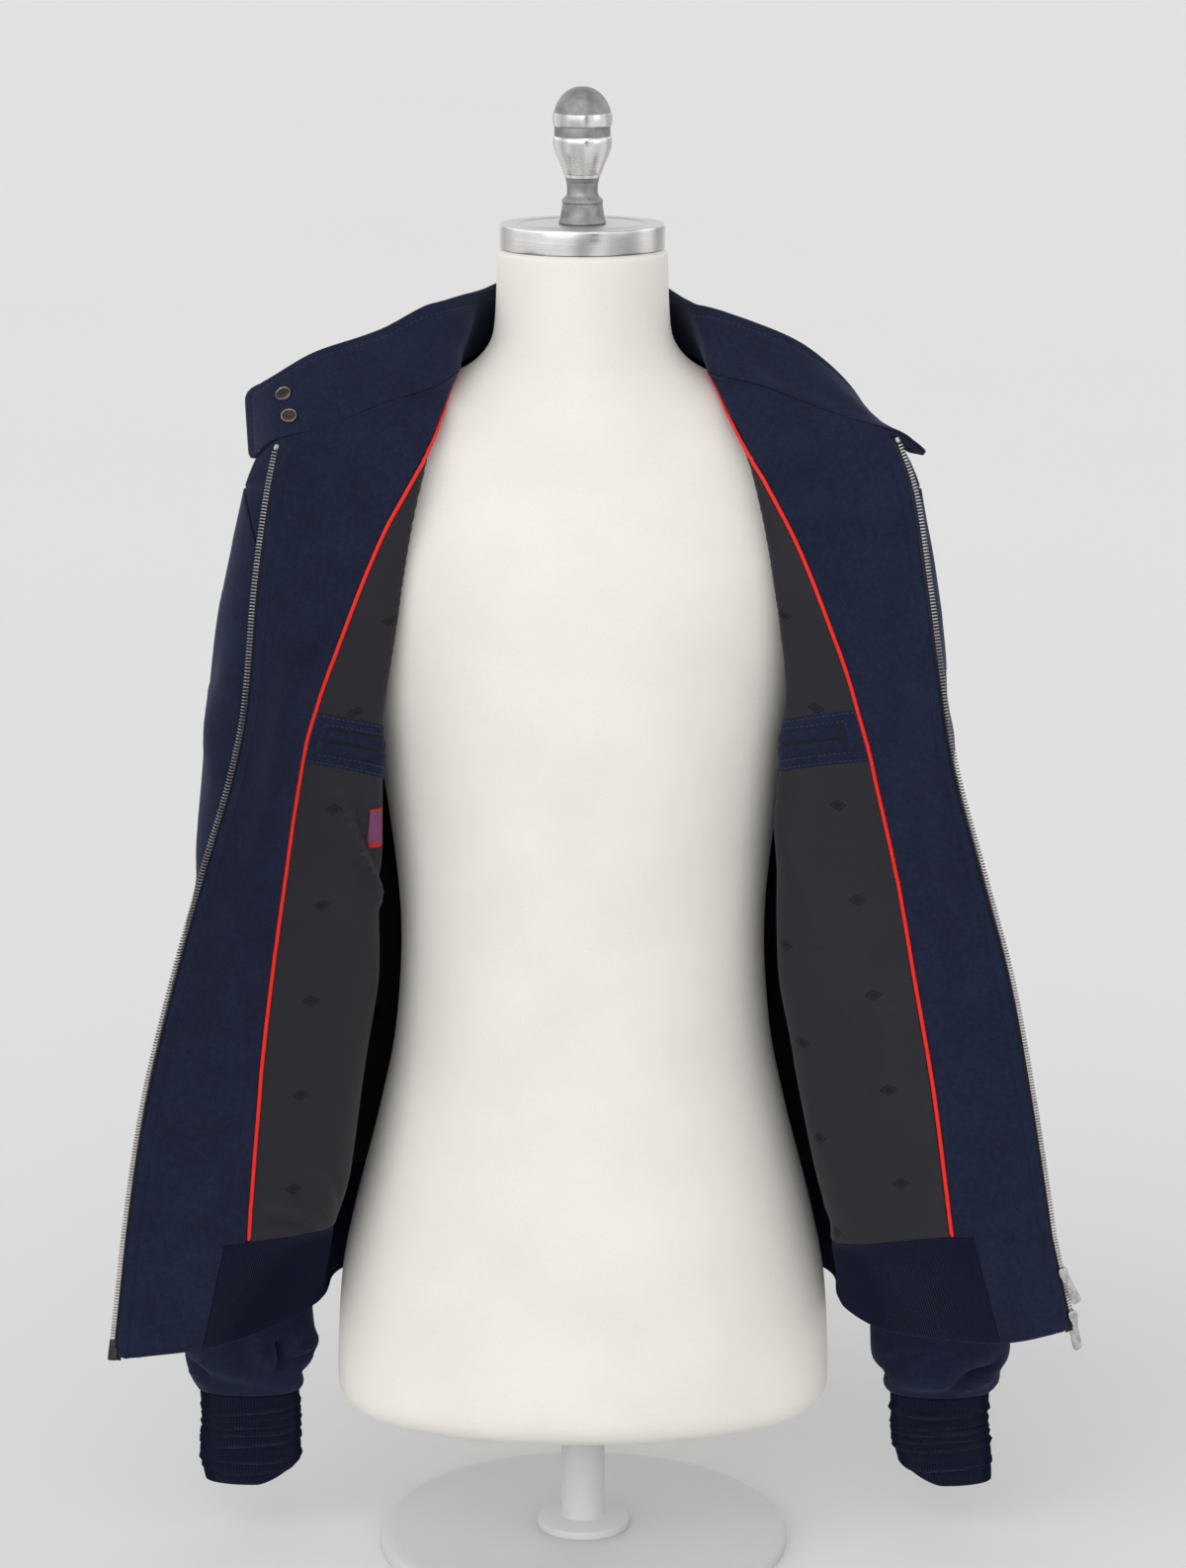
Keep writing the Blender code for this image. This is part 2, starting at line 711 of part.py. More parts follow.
def lining_layer(side):
    """Grid and normals of a front lining's seam surface."""
    whole = front_grid(side)
    grid = trimmed(
        whole[:, : LINING_COLUMNS + 1],
        top=INNER_NECK_SEAM,
        bottom=SEAM,
        first=LINING_SEAM,
        last=PIPING_RADIUS + SEAM + LINING_CLEAR,
    )
    return grid, grid_normals(whole)[:, : LINING_COLUMNS + 1]


def make_lining(side):
    grid, normals = lining_layer(side)
    depth = np.full((len(grid), LINING_COLUMNS + 1, 1), LAYER)
    crossing = slice(SHOULDER_ROWS - 2, SHOULDER_ROWS + 4)  # where the piping crosses the ridge
    depth[crossing, -3:] += CROSSING_CLEAR
    sheet(f"lining_{side.name}", grid, CHARCOAL, side.sign, -depth, -LINING, normals=normals)


def make_piping(side):
    grid = front_grid(side)
    depth = LAYER + PIPING_RADIUS + PIPING_CLEAR
    line = (grid - grid_normals(grid) * side.sign * depth)[:, LINING_COLUMNS]
    line = shortened(line, PIPING_ENDS.top, PIPING_ENDS.bottom)
    tube(f"piping_{side.name}", line, PIPING_RADIUS, RED)


def shortened(line, start, end):
    """A line of points with its two ends drawn in."""
    line = line.copy()
    first, last = line[1] - line[0], line[-2] - line[-1]
    line[0] = line[0] + first / np.linalg.norm(first) * start
    line[-1] = line[-1] + last / np.linalg.norm(last) * end
    return line


def make_waistband(side):
    grid = band_grid(side)[:, : LINING_COLUMNS + 2]
    grid = trimmed(grid, top=SEAM, first=SEAM, last=2 * SEAM)
    sheet(f"waistband_{side.name}", grid, KNIT_NAVY, side.sign, -KNIT / 2, KNIT)


def make_hem_tab(side):
    grid = band_grid(side)[:, LINING_COLUMNS + 1 :]
    grid = trimmed(grid, top=SEAM / 2, first=SEAM / 2, last=EDGE_INSET)
    sheet(f"hem_tab_{side.name}", grid, WOOL_NAVY, side.sign, LAYER, WOOL)


def make_back():
    whole = back_grid()
    normals = grid_normals(whole)
    sides = by_row(SEAM / 2, ARMHOLE_SEAM, SEAM / 2)
    outer = trimmed(whole, top=NECK_SEAM, bottom=SEAM / 2, first=sides, last=sides)
    sheet("back", outer, WOOL_NAVY, 1, LAYER, WOOL, normals=normals)
    inner = trimmed(whole, top=INNER_NECK_SEAM, bottom=SEAM, first=LINING_SEAM, last=LINING_SEAM)
    sheet("lining_back", inner, CHARCOAL, 1, -LAYER, -LINING, normals=normals)
    band = trimmed(back_band_grid(), top=SEAM, first=SEAM, last=SEAM)
    sheet("waistband_back", band, KNIT_NAVY, 1, -KNIT / 2, KNIT)


def make_sleeve(side):
    sheet(f"sleeve_{side.name}", sleeve_grid(side), WOOL_NAVY, side.sign, 0, WOOL, closed=True)
    sheet(f"cuff_{side.name}", cuff_grid(side), KNIT_NAVY, side.sign, 0, KNIT, closed=True)


WING_STATIONS = [lerp(FRONT_STATION, ZIP_STATION, i / SHOULDER_ROWS) for i in range(SHOULDER_ROWS + 1)]
NECK_STATIONS = [0, 2 / 3, 4 / 3, SHOULDER_STATION, 2.65, *WING_STATIONS, 7.5, 8]
COLLAR_RISE = (1, 2 / 3, 1 / 3, 0)


def collar_grid():
    """The collar from the right tab's end round the neck to the left tab's end, top edge first."""
    right = [(RIGHT, station) for station in reversed(NECK_STATIONS)]
    left = [(LEFT, station) for station in NECK_STATIONS[1:]]
    return np.array([[collar_point(*place, top=rise) for place in right + left] for rise in COLLAR_RISE])


def make_collar():
    whole = collar_grid()
    normals = grid_normals(whole)
    outer = trimmed(whole, bottom=NECK_SEAM)
    sheet("collar_outer", outer, WOOL_NAVY, 1, LAYER, WOOL, normals=normals)
    inner = trimmed(whole, bottom=INNER_NECK_SEAM)
    sheet("collar_inner", inner, WOOL_NAVY, 1, -LAYER, -FACING, normals=normals)


# ---- what lies on a panel, made from the panel's points ----
def on_grid(grid, normals, row, column, offset):
    """Point on a panel's facets, moved along its outside."""
    r, c = min(int(row), len(grid) - 2), min(int(column), grid.shape[1] - 2)

    def blend(values):
        upper = lerp(values[r, c], values[r, c + 1], column - c)
        lower = lerp(values[r + 1, c], values[r + 1, c + 1], column - c)
        return lerp(upper, lower, row - r)

    return blend(grid) + blend(normals) * offset


def row_at(grid, column, z):
    """The fractional row at which one column of a grid passes a height."""
    c = min(int(column), grid.shape[1] - 2)
    heights = lerp(grid[:, c, 2], grid[:, c + 1, 2], column - c)
    return float(np.interp(-z, -heights, range(len(heights))))


PatchRow = namedtuple("PatchRow", "column top bottom")
# Inner pocket patch: its upper and lower edges, from the piping to behind the ridge.
PATCH_RIGHT = [
    PatchRow(6, 647, 612),
    PatchRow(5, 638, 602),
    PatchRow(4, 630, 592),
    PatchRow(3, 624, 586),
]
PATCH_LEFT = [
    PatchRow(6, 649, 613),
    PatchRow(5, 641, 605),
    PatchRow(4, 634, 597),
    PatchRow(3, 630, 593),
]
PATCH_SHARES = (0, 0.5, 1)
WELT_SHARES = (0.28, 0.42, 0.56, 0.70)  # upper welt, slit, lower welt, as shares of the patch's width
WELT_COLUMNS = (5.55, 5, 4, 3.4)
WELT_RIM = 4.0
PATCH_START = 0.6  # from the lining's edge to the patch's
PATCH_GAP = 0.6  # a strip laid over the bent lining touches it only here and there
WELT_GAP = 1.1
LabelBox = namedtuple("LabelBox", "first_column last_column top bottom")
LABEL_PLACE = LabelBox(4.5, 4.08, 572, 544)


def strip_on_lining(side, tops, bottoms, columns, shares, offset):
    """Grid of points on the lining's facets, between two heights at each column, moved inward."""
    lining, normals = lining_layer(side)
    normals = normals * side.sign
    rows = []
    for share in shares:
        row = []
        for column, top, bottom in zip(columns, tops, bottoms):
            at = row_at(lining, column, lerp(top, bottom, share))
            row.append(on_grid(lining, normals, at, column, -offset))
        rows.append(row)
    return np.array(rows)


def make_pocket(side, patch):
    columns = [row.column for row in patch]
    tops = [row.top for row in patch]
    bottoms = [row.bottom for row in patch]
    on_lining = LAYER + LINING + PATCH_GAP
    grid = strip_on_lining(side, tops, bottoms, columns, PATCH_SHARES, on_lining)
    grid = trimmed(grid, first=PATCH_START)
    outside = -side.sign  # its columns run from the piping to the seam
    sheet(f"pocket_patch_{side.name}", grid, WOOL_NAVY, outside, 0, -PATCH)
    tops = [np.interp(-c, [-k for k in columns], tops) for c in WELT_COLUMNS]
    bottoms = [np.interp(-c, [-k for k in columns], bottoms) for c in WELT_COLUMNS]
    on_patch = on_lining + PATCH + WELT_GAP
    grid = strip_on_lining(side, tops, bottoms, WELT_COLUMNS, WELT_SHARES, on_patch)
    rims = [trimmed(grid, first=WELT_RIM, last=WELT_RIM)[:, [0]], trimmed(grid, last=WELT_RIM)[:, [-1]]]
    grid = np.concatenate([grid[:, :1], rims[0], grid[:, 1:-1], rims[1], grid[:, -1:]], axis=1)
    slit = {(1, c) for c in range(1, grid.shape[1] - 2)}
    sheet(f"pocket_welt_{side.name}", grid, WOOL_NAVY, outside, 0, -WELT, skip=slit)


def make_label():
    columns = [LABEL_PLACE.first_column, LABEL_PLACE.last_column]
    places = [LABEL_PLACE.top] * 2, [LABEL_PLACE.bottom] * 2
    grid = strip_on_lining(RIGHT, *places, columns, (0, 0.5, 1), LAYER + LINING + PATCH_GAP)
    sheet("label", grid, MAUVE, 1, 0, -LABEL)


# ---- plain shapes ----
def tube(name, line, radius, look):
    curve = bpy.data.curves.new(name, "CURVE")
    curve.dimensions = "3D"
    curve.bevel_depth = radius * 0.001
    curve.bevel_resolution = 1
    curve.use_fill_caps = True
    spline = curve.splines.new("POLY")
    spline.points.add(len(line) - 1)
    for point, place in zip(spline.points, line):
        point.co = (*(place * 0.001), 1)
    obj = bpy.data.objects.new(name, curve)
    collection().objects.link(obj)
    curve.materials.append(material(name, look))
    return obj


def turned(name, profile, look, steps=24):
    """Solid of revolution about Z from (radius, height) rows, top to bottom."""
    mesh = bpy.data.meshes.new(name)
    points = [(r * 0.001, 0, z * 0.001) for r, z in profile]
    mesh.from_pydata(points, [(i, i + 1) for i in range(len(points) - 1)], [])
    obj = add_object(name, mesh, look)
    screw = obj.modifiers.new("turn", "SCREW")
    screw.steps = screw.render_steps = steps
    screw.use_merge_vertices = True
    screw.merge_threshold = 1e-5
    return obj


def lofted(name, rings, look):
    """Closed solid through rings of points, top to bottom, with flat ends."""
    count = len(rings[0])
    points = [tuple(np.array(p) * 0.001) for one in rings for p in one]
    faces = [tuple(range(count))]
    for r in range(len(rings) - 1):
        for i in range(count):
            after = (i + 1) % count
            faces.append((r * count + i, (r + 1) * count + i, (r + 1) * count + after, r * count + after))
    last = (len(rings) - 1) * count
    faces.append(tuple(last + i for i in reversed(range(count))))
    mesh = bpy.data.meshes.new(name)
    mesh.from_pydata(points, [], faces)
    return add_object(name, mesh, look)


# ---- dress form ----
def torso_ring(row):
    points = []
    for i in range(TORSO_SIDES):
        turn = 2 * math.pi * i / TORSO_SIDES
        power = 2 / row.squareness
        x = math.copysign(abs(math.cos(turn)) ** power, math.cos(turn)) * row.half_width
        depth = row.back if math.sin(turn) > 0 else row.front
        y = math.copysign(abs(math.sin(turn)) ** power, math.sin(turn)) * depth
        points.append((x, y, row.z))
    return points


def make_form():
    lofted("form_torso", [torso_ring(row) for row in TORSO], CREAM)
    rim = CAP_TOP - CAP_THICK
    turned(
        "neck_cap",
        [
            (0, CAP_TOP),
            (42, CAP_TOP),
            (43, CAP_TOP - 1.2),
            (45, CAP_TOP - 1.2),
            (46, CAP_TOP),
            (CAP_RADIUS - 1.5, CAP_TOP),
            (CAP_RADIUS, CAP_TOP - 1.5),
            (CAP_RADIUS, rim + 1),
            (CAP_RADIUS - 1, rim),
            (0, rim),
        ],
        ALUMINIUM,
        steps=40,
    )
    turned("finial", FINIAL, ALUMINIUM)
    turned(
        "post",
        [
            (0, FORM_BASE - SEAM),
            (40, FORM_BASE - SEAM),
            (40, FORM_BASE - 5),
            (POST_RADIUS, FORM_BASE - 6),
            (POST_RADIUS, FOOT_THICK + 8),
            (34, FOOT_THICK + 6),
            (34, FOOT_THICK + SEAM),
            (0, FOOT_THICK + SEAM),
        ],
        STAND_GREY,
    )
    turned(
        "foot",
        [
            (0, FOOT_THICK),
            (FOOT_RADIUS - 5, FOOT_THICK),
            (FOOT_RADIUS, FOOT_THICK - 4),
            (FOOT_RADIUS, 0),
            (0, 0),
        ],
        STAND_GREY,
        steps=40,
    )


ProfileRow = namedtuple("ProfileRow", "radius z")
FINIAL = [
    ProfileRow(0, 1064),
    ProfileRow(6.5, 1063),
    ProfileRow(12.5, 1059.5),
    ProfileRow(17, 1053.5),
    ProfileRow(19.8, 1046.5),
    ProfileRow(20.6, 1041.5),
    ProfileRow(19.4, 1038.8),
    ProfileRow(19.4, 1033.2),
    ProfileRow(20.6, 1031),
    ProfileRow(20.2, 1026),
    ProfileRow(17.6, 1016.5),
    ProfileRow(13.6, 1007.5),
    ProfileRow(11.6, 1002),
    ProfileRow(10.6, 996),
    ProfileRow(10.6, 991.5),
    ProfileRow(13.6, 988),
    ProfileRow(13.9, 984),
    ProfileRow(15.2, 974),
    ProfileRow(16.4, CAP_TOP + SEAM),
    ProfileRow(0, CAP_TOP + SEAM),
]


# ---- zip ----
def edge_frames(side):
    """For each zip row: the teeth's middle, then unit vectors across, outside and down."""
    grid = np.concatenate([front_grid(side), band_grid(side)[1:]])[SHOULDER_ROWS:]
    edge = grid[:, -1]
    across = edge - grid[:, -2]
    across[:, 2] = 0
    across /= np.linalg.norm(across, axis=1, keepdims=True)
    down = np.gradient(edge, axis=0)
    down /= np.linalg.norm(down, axis=1, keepdims=True)
    outside = np.cross(across, down) * side.sign
    outside /= np.linalg.norm(outside, axis=1, keepdims=True)
    return edge, across, outside, down


def frame_at(side, distance):
    """The zip's frame at a distance down from its upper end."""
    edge, *axes = edge_frames(side)
    lengths = np.concatenate([[0], np.cumsum(np.linalg.norm(np.diff(edge, axis=0), axis=1))])
    i = min(int(np.searchsorted(lengths, distance, side="right")) - 1, len(edge) - 2)
    t = (distance - lengths[i]) / (lengths[i + 1] - lengths[i])
    point = lerp(edge[i], edge[i + 1], t)
    down = (edge[i + 1] - edge[i]) / (lengths[i + 1] - lengths[i])
    across = lerp(axes[0][i], axes[0][i + 1], t)
    across -= down * (across @ down)
    across /= np.linalg.norm(across)
    return point, across, np.cross(across, down) * side.sign, down


def zip_length(side):
    edge = edge_frames(side)[0]
    return float(np.sum(np.linalg.norm(np.diff(edge, axis=0), axis=1)))


def zip_strip(name, side, start, end, inner, outer, thickness, look):
    """Flat strip along the zip, from start to end down its line and from inner to outer across it."""
    edge, across, _, _ = edge_frames(side)
    lengths = np.concatenate([[0], np.cumsum(np.linalg.norm(np.diff(edge, axis=0), axis=1))])
    places = [start] + [d for d in lengths if start + 4 < d < end - 4] + [end]
    grid = []
    for place in places:
        at = np.interp(place, lengths, range(len(lengths)))
        i = min(int(at), len(edge) - 2)
        point = lerp(edge[i], edge[i + 1], at - i)
        way = lerp(across[i], across[i + 1], at - i)
        grid.append([point + way * inner, point + way * outer])
    sheet(name, np.array(grid), look, side.sign, -thickness / 2, thickness)


def frame_matrix(side, distance, tilt=0.0):
    """Matrix whose X runs across the zip, Y down it and Z to the coat's outside; tilt turns about Z."""
    point, across, outside, down = frame_at(side, distance)
    turned_across = across * math.cos(tilt) - down * math.sin(tilt)
    turned_down = down * math.cos(tilt) + across * math.sin(tilt)
    if side.sign < 0:
        outside = -np.cross(turned_across, turned_down)
        turned_across = -turned_across
    matrix = Matrix.Identity(4)
    for k, axis in enumerate((turned_across, turned_down, outside)):
        for j in range(3):
            matrix[j][k] = axis[j]
    for j in range(3):
        matrix[j][3] = point[j] * 0.001
    return matrix


def block(name, centre, size, look, matrix, bevel=0.0):
    """Box in a frame: centre and size in millimetres along the frame's axes."""
    work = bmesh.new()
    bmesh.ops.create_cube(work, size=1)
    bmesh.ops.scale(work, vec=[s * 0.001 for s in size], verts=work.verts)
    bmesh.ops.translate(work, vec=[c * 0.001 for c in centre], verts=work.verts)
    mesh = bpy.data.meshes.new(name)
    work.to_mesh(mesh)
    work.free()
    obj = add_object(name, mesh, look)
    obj.matrix_world = matrix
    if bevel:
        edge = obj.modifiers.new("edge", "BEVEL")
        edge.width = bevel * 0.001
        edge.segments = 2
        edge.limit_method = "ANGLE"
    return obj


def as_cutter(obj):
    obj.hide_render = True
    obj.display_type = "WIRE"
    for owner in list(obj.users_collection):
        owner.objects.unlink(obj)
    collection("cutters").objects.link(obj)
    return obj


def boolean(obj, other, operation):
    modifier = obj.modifiers.new(operation.lower(), "BOOLEAN")
    modifier.operation = operation
    modifier.object = as_cutter(other)


SliderRow = namedtuple("SliderRow", "name above_hem tilt_deg")
SLIDER_LENGTH, SLIDER_WIDTH, SLIDER_THICK = 12.0, 10.0, 5.4
SLIDER_SHIFT = 1.6  # the slider's middle lies beyond the teeth that it rides on
CHANNEL_THICK = 3.2
BRIDGE_LENGTH, BRIDGE_WIDTH, BRIDGE_STRAP, BRIDGE_CLEAR = 9.2, 1.8, 1.0, 2.3
PULL_LENGTH, PULL_WIDTH, PULL_THICK = 28.0, 7.0, 1.4
PULL_EYE_LENGTH, PULL_EYE_WIDTH = 5.0, 4.4
PIVOT_HEIGHT = SLIDER_THICK / 2 + 1.1  # the pull's hinge line above the teeth's plane


def make_slider(side, name, distance):
    matrix = frame_matrix(side, distance)
    sign = 1 if side.sign > 0 else -1
    body = block(
        f"slider_{name}",
        (sign * SLIDER_SHIFT, 0, 0),
        (SLIDER_WIDTH, SLIDER_LENGTH, SLIDER_THICK),
        NICKEL,
        matrix,
        bevel=0.7,
    )
    reach = SLIDER_WIDTH + 4
    channel_end = CHAIN_WIDTH / 2 + 0.4
    channel = block(
        f"channel_{name}",
        (sign * (channel_end - reach / 2), 0, 0),
        (reach, SLIDER_LENGTH + 4, CHANNEL_THICK),
        NICKEL,
        matrix,
    )
    boolean(body, channel, "DIFFERENCE")
    top = SLIDER_THICK / 2
    rise = BRIDGE_CLEAR + BRIDGE_STRAP
    bridge = block(
        f"bridge_{name}",
        (sign * SLIDER_SHIFT, 0, top + rise / 2 - 0.3),
        (BRIDGE_WIDTH, BRIDGE_LENGTH, rise + 0.6),
        NICKEL,
        matrix,
    )
    under = block(
        f"under_bridge_{name}",
        (sign * SLIDER_SHIFT, 0, top + BRIDGE_CLEAR / 2),
        (BRIDGE_WIDTH + 2, BRIDGE_LENGTH - 2 * BRIDGE_STRAP, BRIDGE_CLEAR),
        NICKEL,
        matrix,
    )
    boolean(bridge, under, "DIFFERENCE")
    boolean(body, bridge, "UNION")
    return body


def make_pull(side, name, distance, tilt_deg):
    """Pull tab hanging from its bridge: its origin lies on its hinge line, which runs along X."""
    matrix = frame_matrix(side, distance, math.radians(tilt_deg))
    sign = 1 if side.sign > 0 else -1
    straight = frame_matrix(side, distance)
    pivot = straight @ Vector((sign * SLIDER_SHIFT * 0.001, 0, PIVOT_HEIGHT * 0.001))
    matrix.translation = pivot
    bar = PULL_THICK / 2
    body = block(
        f"pull_{name}",
        (0, PULL_LENGTH / 2 - bar, 0),
        (PULL_WIDTH, PULL_LENGTH, PULL_THICK),
        NICKEL,
        matrix,
        bevel=0.45,
    )
    eye = block(
        f"eye_{name}",
        (0, bar + PULL_EYE_LENGTH / 2, 0),
        (PULL_EYE_WIDTH, PULL_EYE_LENGTH, PULL_THICK + 2),
        NICKEL,
        matrix,
    )
    boolean(body, eye, "DIFFERENCE")
    return body


SLIDERS = [
    SliderRow("upper", 43, 14),
    SliderRow("lower", 9, 0),
]
STOP_LENGTH, STOP_START = 4.5, 3.0
PIN_LENGTH, PIN_WIDTH, PIN_THICK = 16.0, 5.0, 3.2


def make_zip(side):
    length = zip_length(side)
    chain = CHAIN_WIDTH / 2
    chain_start = STOP_START + STOP_LENGTH + SEAM
    chain_end = length - (PIN_LENGTH + SEAM if side is RIGHT else 0)
    tape_inner = -chain - SEAM - TAPE_WIDTH
    strips = (
        ("zip_tape", STOP_START, length, tape_inner, -chain - SEAM, TAPE_THICK, ZIP_TAPE),
        ("zip_teeth", chain_start, chain_end, -chain, chain, CHAIN_THICK, GUNMETAL),
        ("zip_stop", STOP_START, STOP_START + STOP_LENGTH, -chain, chain, CHAIN_THICK, GUNMETAL),
    )
    for name, *rest in strips:
        zip_strip(f"{name}_{side.name}", side, *rest)


def make_zip_ends():
    length = zip_length(RIGHT)
    sizes = (PIN_WIDTH, PIN_LENGTH, PIN_THICK)
    matrix = frame_matrix(RIGHT, length - PIN_LENGTH / 2)
    block("zip_pin", (-(PIN_WIDTH - CHAIN_WIDTH) / 2, 0, 0), sizes, GUNMETAL, matrix, bevel=0.5)
    length = zip_length(LEFT)
    for row in SLIDERS:
        make_slider(LEFT, row.name, length - row.above_hem)
        make_pull(LEFT, row.name, length - row.above_hem, row.tilt_deg)


# ---- snaps ----
SnapRow = namedtuple("SnapRow", "name station rise inner_gap outer_gap")
SNAPS = [SnapRow("upper", 6.76, 0.61, 0.2, 0.3), SnapRow("lower", 6.68, 0.25, -0.5, 0.9)]
SNAP_PROFILE = [
    ProfileRow(0, 1.4),
    ProfileRow(2.2, 1.4),
    ProfileRow(2.6, 2.0),
    ProfileRow(4.6, 1.9),
    ProfileRow(5.3, 1.2),
    ProfileRow(5.3, 0),
    ProfileRow(0, 0),
]
MATE_PROFILE = [
    ProfileRow(0, 2.6),
    ProfileRow(1.6, 2.6),
    ProfileRow(1.9, 1.0),
    ProfileRow(4.8, 0.9),
    ProfileRow(5.3, 0.4),
    ProfileRow(5.3, 0),
    ProfileRow(0, 0),
]


def make_snap(name, side, row, profile, outside):
    """Snap set flat on one face of the collar: outside is 1 for its outer face, -1 for its inner."""
    def at(station, rise):
        return collar_point(side, station, top=rise)

    across = at(row.station + 0.1, row.rise) - at(row.station - 0.1, row.rise)
    down = at(row.station, row.rise - 0.05) - at(row.station, row.rise + 0.05)
    normal = np.cross(across, down) * side.sign * outside
    normal /= np.linalg.norm(normal)
    depth = LAYER + (WOOL + row.outer_gap if outside > 0 else FACING + row.inner_gap)
    place = at(row.station, row.rise) + normal * depth
    obj = turned(name, profile, GUNMETAL, steps=16)
    obj.rotation_mode = "QUATERNION"
    obj.rotation_quaternion = Vector(normal).to_track_quat("Z", "Y")
    obj.location = place * 0.001



def make_snaps():
    for row in SNAPS:
        make_snap(f"snap_right_{row.name}", RIGHT, row, SNAP_PROFILE, -1)
        make_snap(f"snap_left_{row.name}", LEFT, row, MATE_PROFILE, 1)


def clear_scene():
    for obj in list(bpy.data.objects):
        bpy.data.objects.remove(obj)


def main():
    clear_scene()
    make_form()
    make_back()
    make_collar()
    for side in (RIGHT, LEFT):
        make_front(side)
        make_facing(side)
        make_lining(side)
        make_piping(side)
        make_waistband(side)
        make_hem_tab(side)
        make_sleeve(side)
        make_zip(side)
    make_pocket(RIGHT, PATCH_RIGHT)
    make_pocket(LEFT, PATCH_LEFT)
    make_label()
    make_zip_ends()
    make_snaps()


main()
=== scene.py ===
"""Wool zip coat, worn wide open on a limbless dress form: the detailed and textured model.

Right and left are the wearer's: the right front is at -X. The side that the camera faces is -Y
and Z is up. Tables are in millimetres; the meshes are in metres. The coat is cut from panels:
each one is a surface laid through the sewn lines, with its folds, and every cloth piece is a thin
shell on a stretch of it.
"""

import json
import math
from collections import namedtuple

import bmesh
import bpy
import numpy as np
from mathutils import Matrix, Vector, kdtree, noise


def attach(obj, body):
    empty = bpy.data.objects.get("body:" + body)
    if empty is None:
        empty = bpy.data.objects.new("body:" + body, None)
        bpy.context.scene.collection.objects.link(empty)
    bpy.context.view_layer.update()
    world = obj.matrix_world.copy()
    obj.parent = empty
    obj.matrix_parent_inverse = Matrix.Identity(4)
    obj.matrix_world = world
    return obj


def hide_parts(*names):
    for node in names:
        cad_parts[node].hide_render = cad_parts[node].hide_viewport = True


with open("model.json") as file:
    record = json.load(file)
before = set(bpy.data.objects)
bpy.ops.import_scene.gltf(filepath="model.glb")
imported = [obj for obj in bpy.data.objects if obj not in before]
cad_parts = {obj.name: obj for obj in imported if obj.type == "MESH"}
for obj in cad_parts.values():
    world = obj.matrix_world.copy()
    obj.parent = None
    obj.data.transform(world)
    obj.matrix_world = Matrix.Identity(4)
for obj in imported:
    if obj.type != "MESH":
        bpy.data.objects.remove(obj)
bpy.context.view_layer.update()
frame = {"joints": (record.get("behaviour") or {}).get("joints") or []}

bl_info = {
    "name": "Wool zip coat on a dress form", "version": (1, 0, 0), "blender": (4, 5, 0),
    "location": "3D View > Sidebar > Coat",
    "description": "Builds a wool zip coat, its dress form and a plain studio", "category": "Add Mesh"
}

COAT = "coat_on_form"  # the body that all but the pull tabs ride on
MM = 0.001


def table(kind, *rows):
    return [kind(*row) for row in rows]


# ---- cloth thicknesses, in millimetres ----
SEAM = 0.25  # a piece's edge stops this far from the sewn line
WOOL = 1.8
FACING = 1.6
LINING = 1.0
KNIT = 2.4
PATCH = 0.8
LABEL = 0.5
LAYER = 0.35  # half the room between the outer cloth and what lines it
PIPING_RADIUS, PIPING_DEPTH = 1.45, 1.15  # half its width, and half its thickness
NECK_GAP = 0.08  # half the gap of the neck seam
CHAIN_WIDTH, CHAIN_THICK = 3.0, 2.4
EDGE_INSET = 3.7  # from the teeth's middle to the edge of the wool
RIM = (0.0, 0.3, 0.8, 1.6)  # grid lines close to an edge, where the cloth turns under

# ---- rows and columns of the panels ----
SHOULDER_END, ARMHOLE_END, BAND_START, HEM = 4, 10, 15, 17
LINING_END, TAB_START, EDGE = 6, 7, 11
HEM_HEIGHT = 190
HEM_CORNER_RIGHT, HEM_CORNER_LEFT = 185, 198
BAND_TOP = 266
UNDERARM = 575
ARMHOLE_TOP = 783
ARMHOLE_DEPTH = 56

# ---- dress form: one row for each level ----
FormRow = namedtuple("FormRow", "z half_width front back squareness")
TORSO = table(
    FormRow, (952.5, 56, 56, 56, 2.0), (949, 59.5, 59.5, 59.5, 2.0), (925, 60, 60, 61, 2.0),
    (895, 62, 58, 66, 2.0), (875.3, 74, 58, 71, 1.9), (859.3, 106.5, 62, 78, 1.55), (842, 156, 68, 88, 1.5),
    (822, 186, 78, 98, 1.7), (795, 195, 83, 106, 1.9), (760, 194, 96, 111, 2.0), (700, 172, 105, 115, 2.1),
    (640, 155, 108, 108, 2.1), (560, 139, 103, 98, 2.1), (470, 130, 98, 90, 2.1), (400, 134, 96, 92, 2.1),
    (330, 148, 98, 103, 2.1), (260, 166, 102, 112, 2.1), (200, 177, 105, 116, 2.1),
    (131, 180, 106, 113, 2.1), (114, 174, 100, 107, 2.1), (105, 157, 84, 91, 2.1),
)

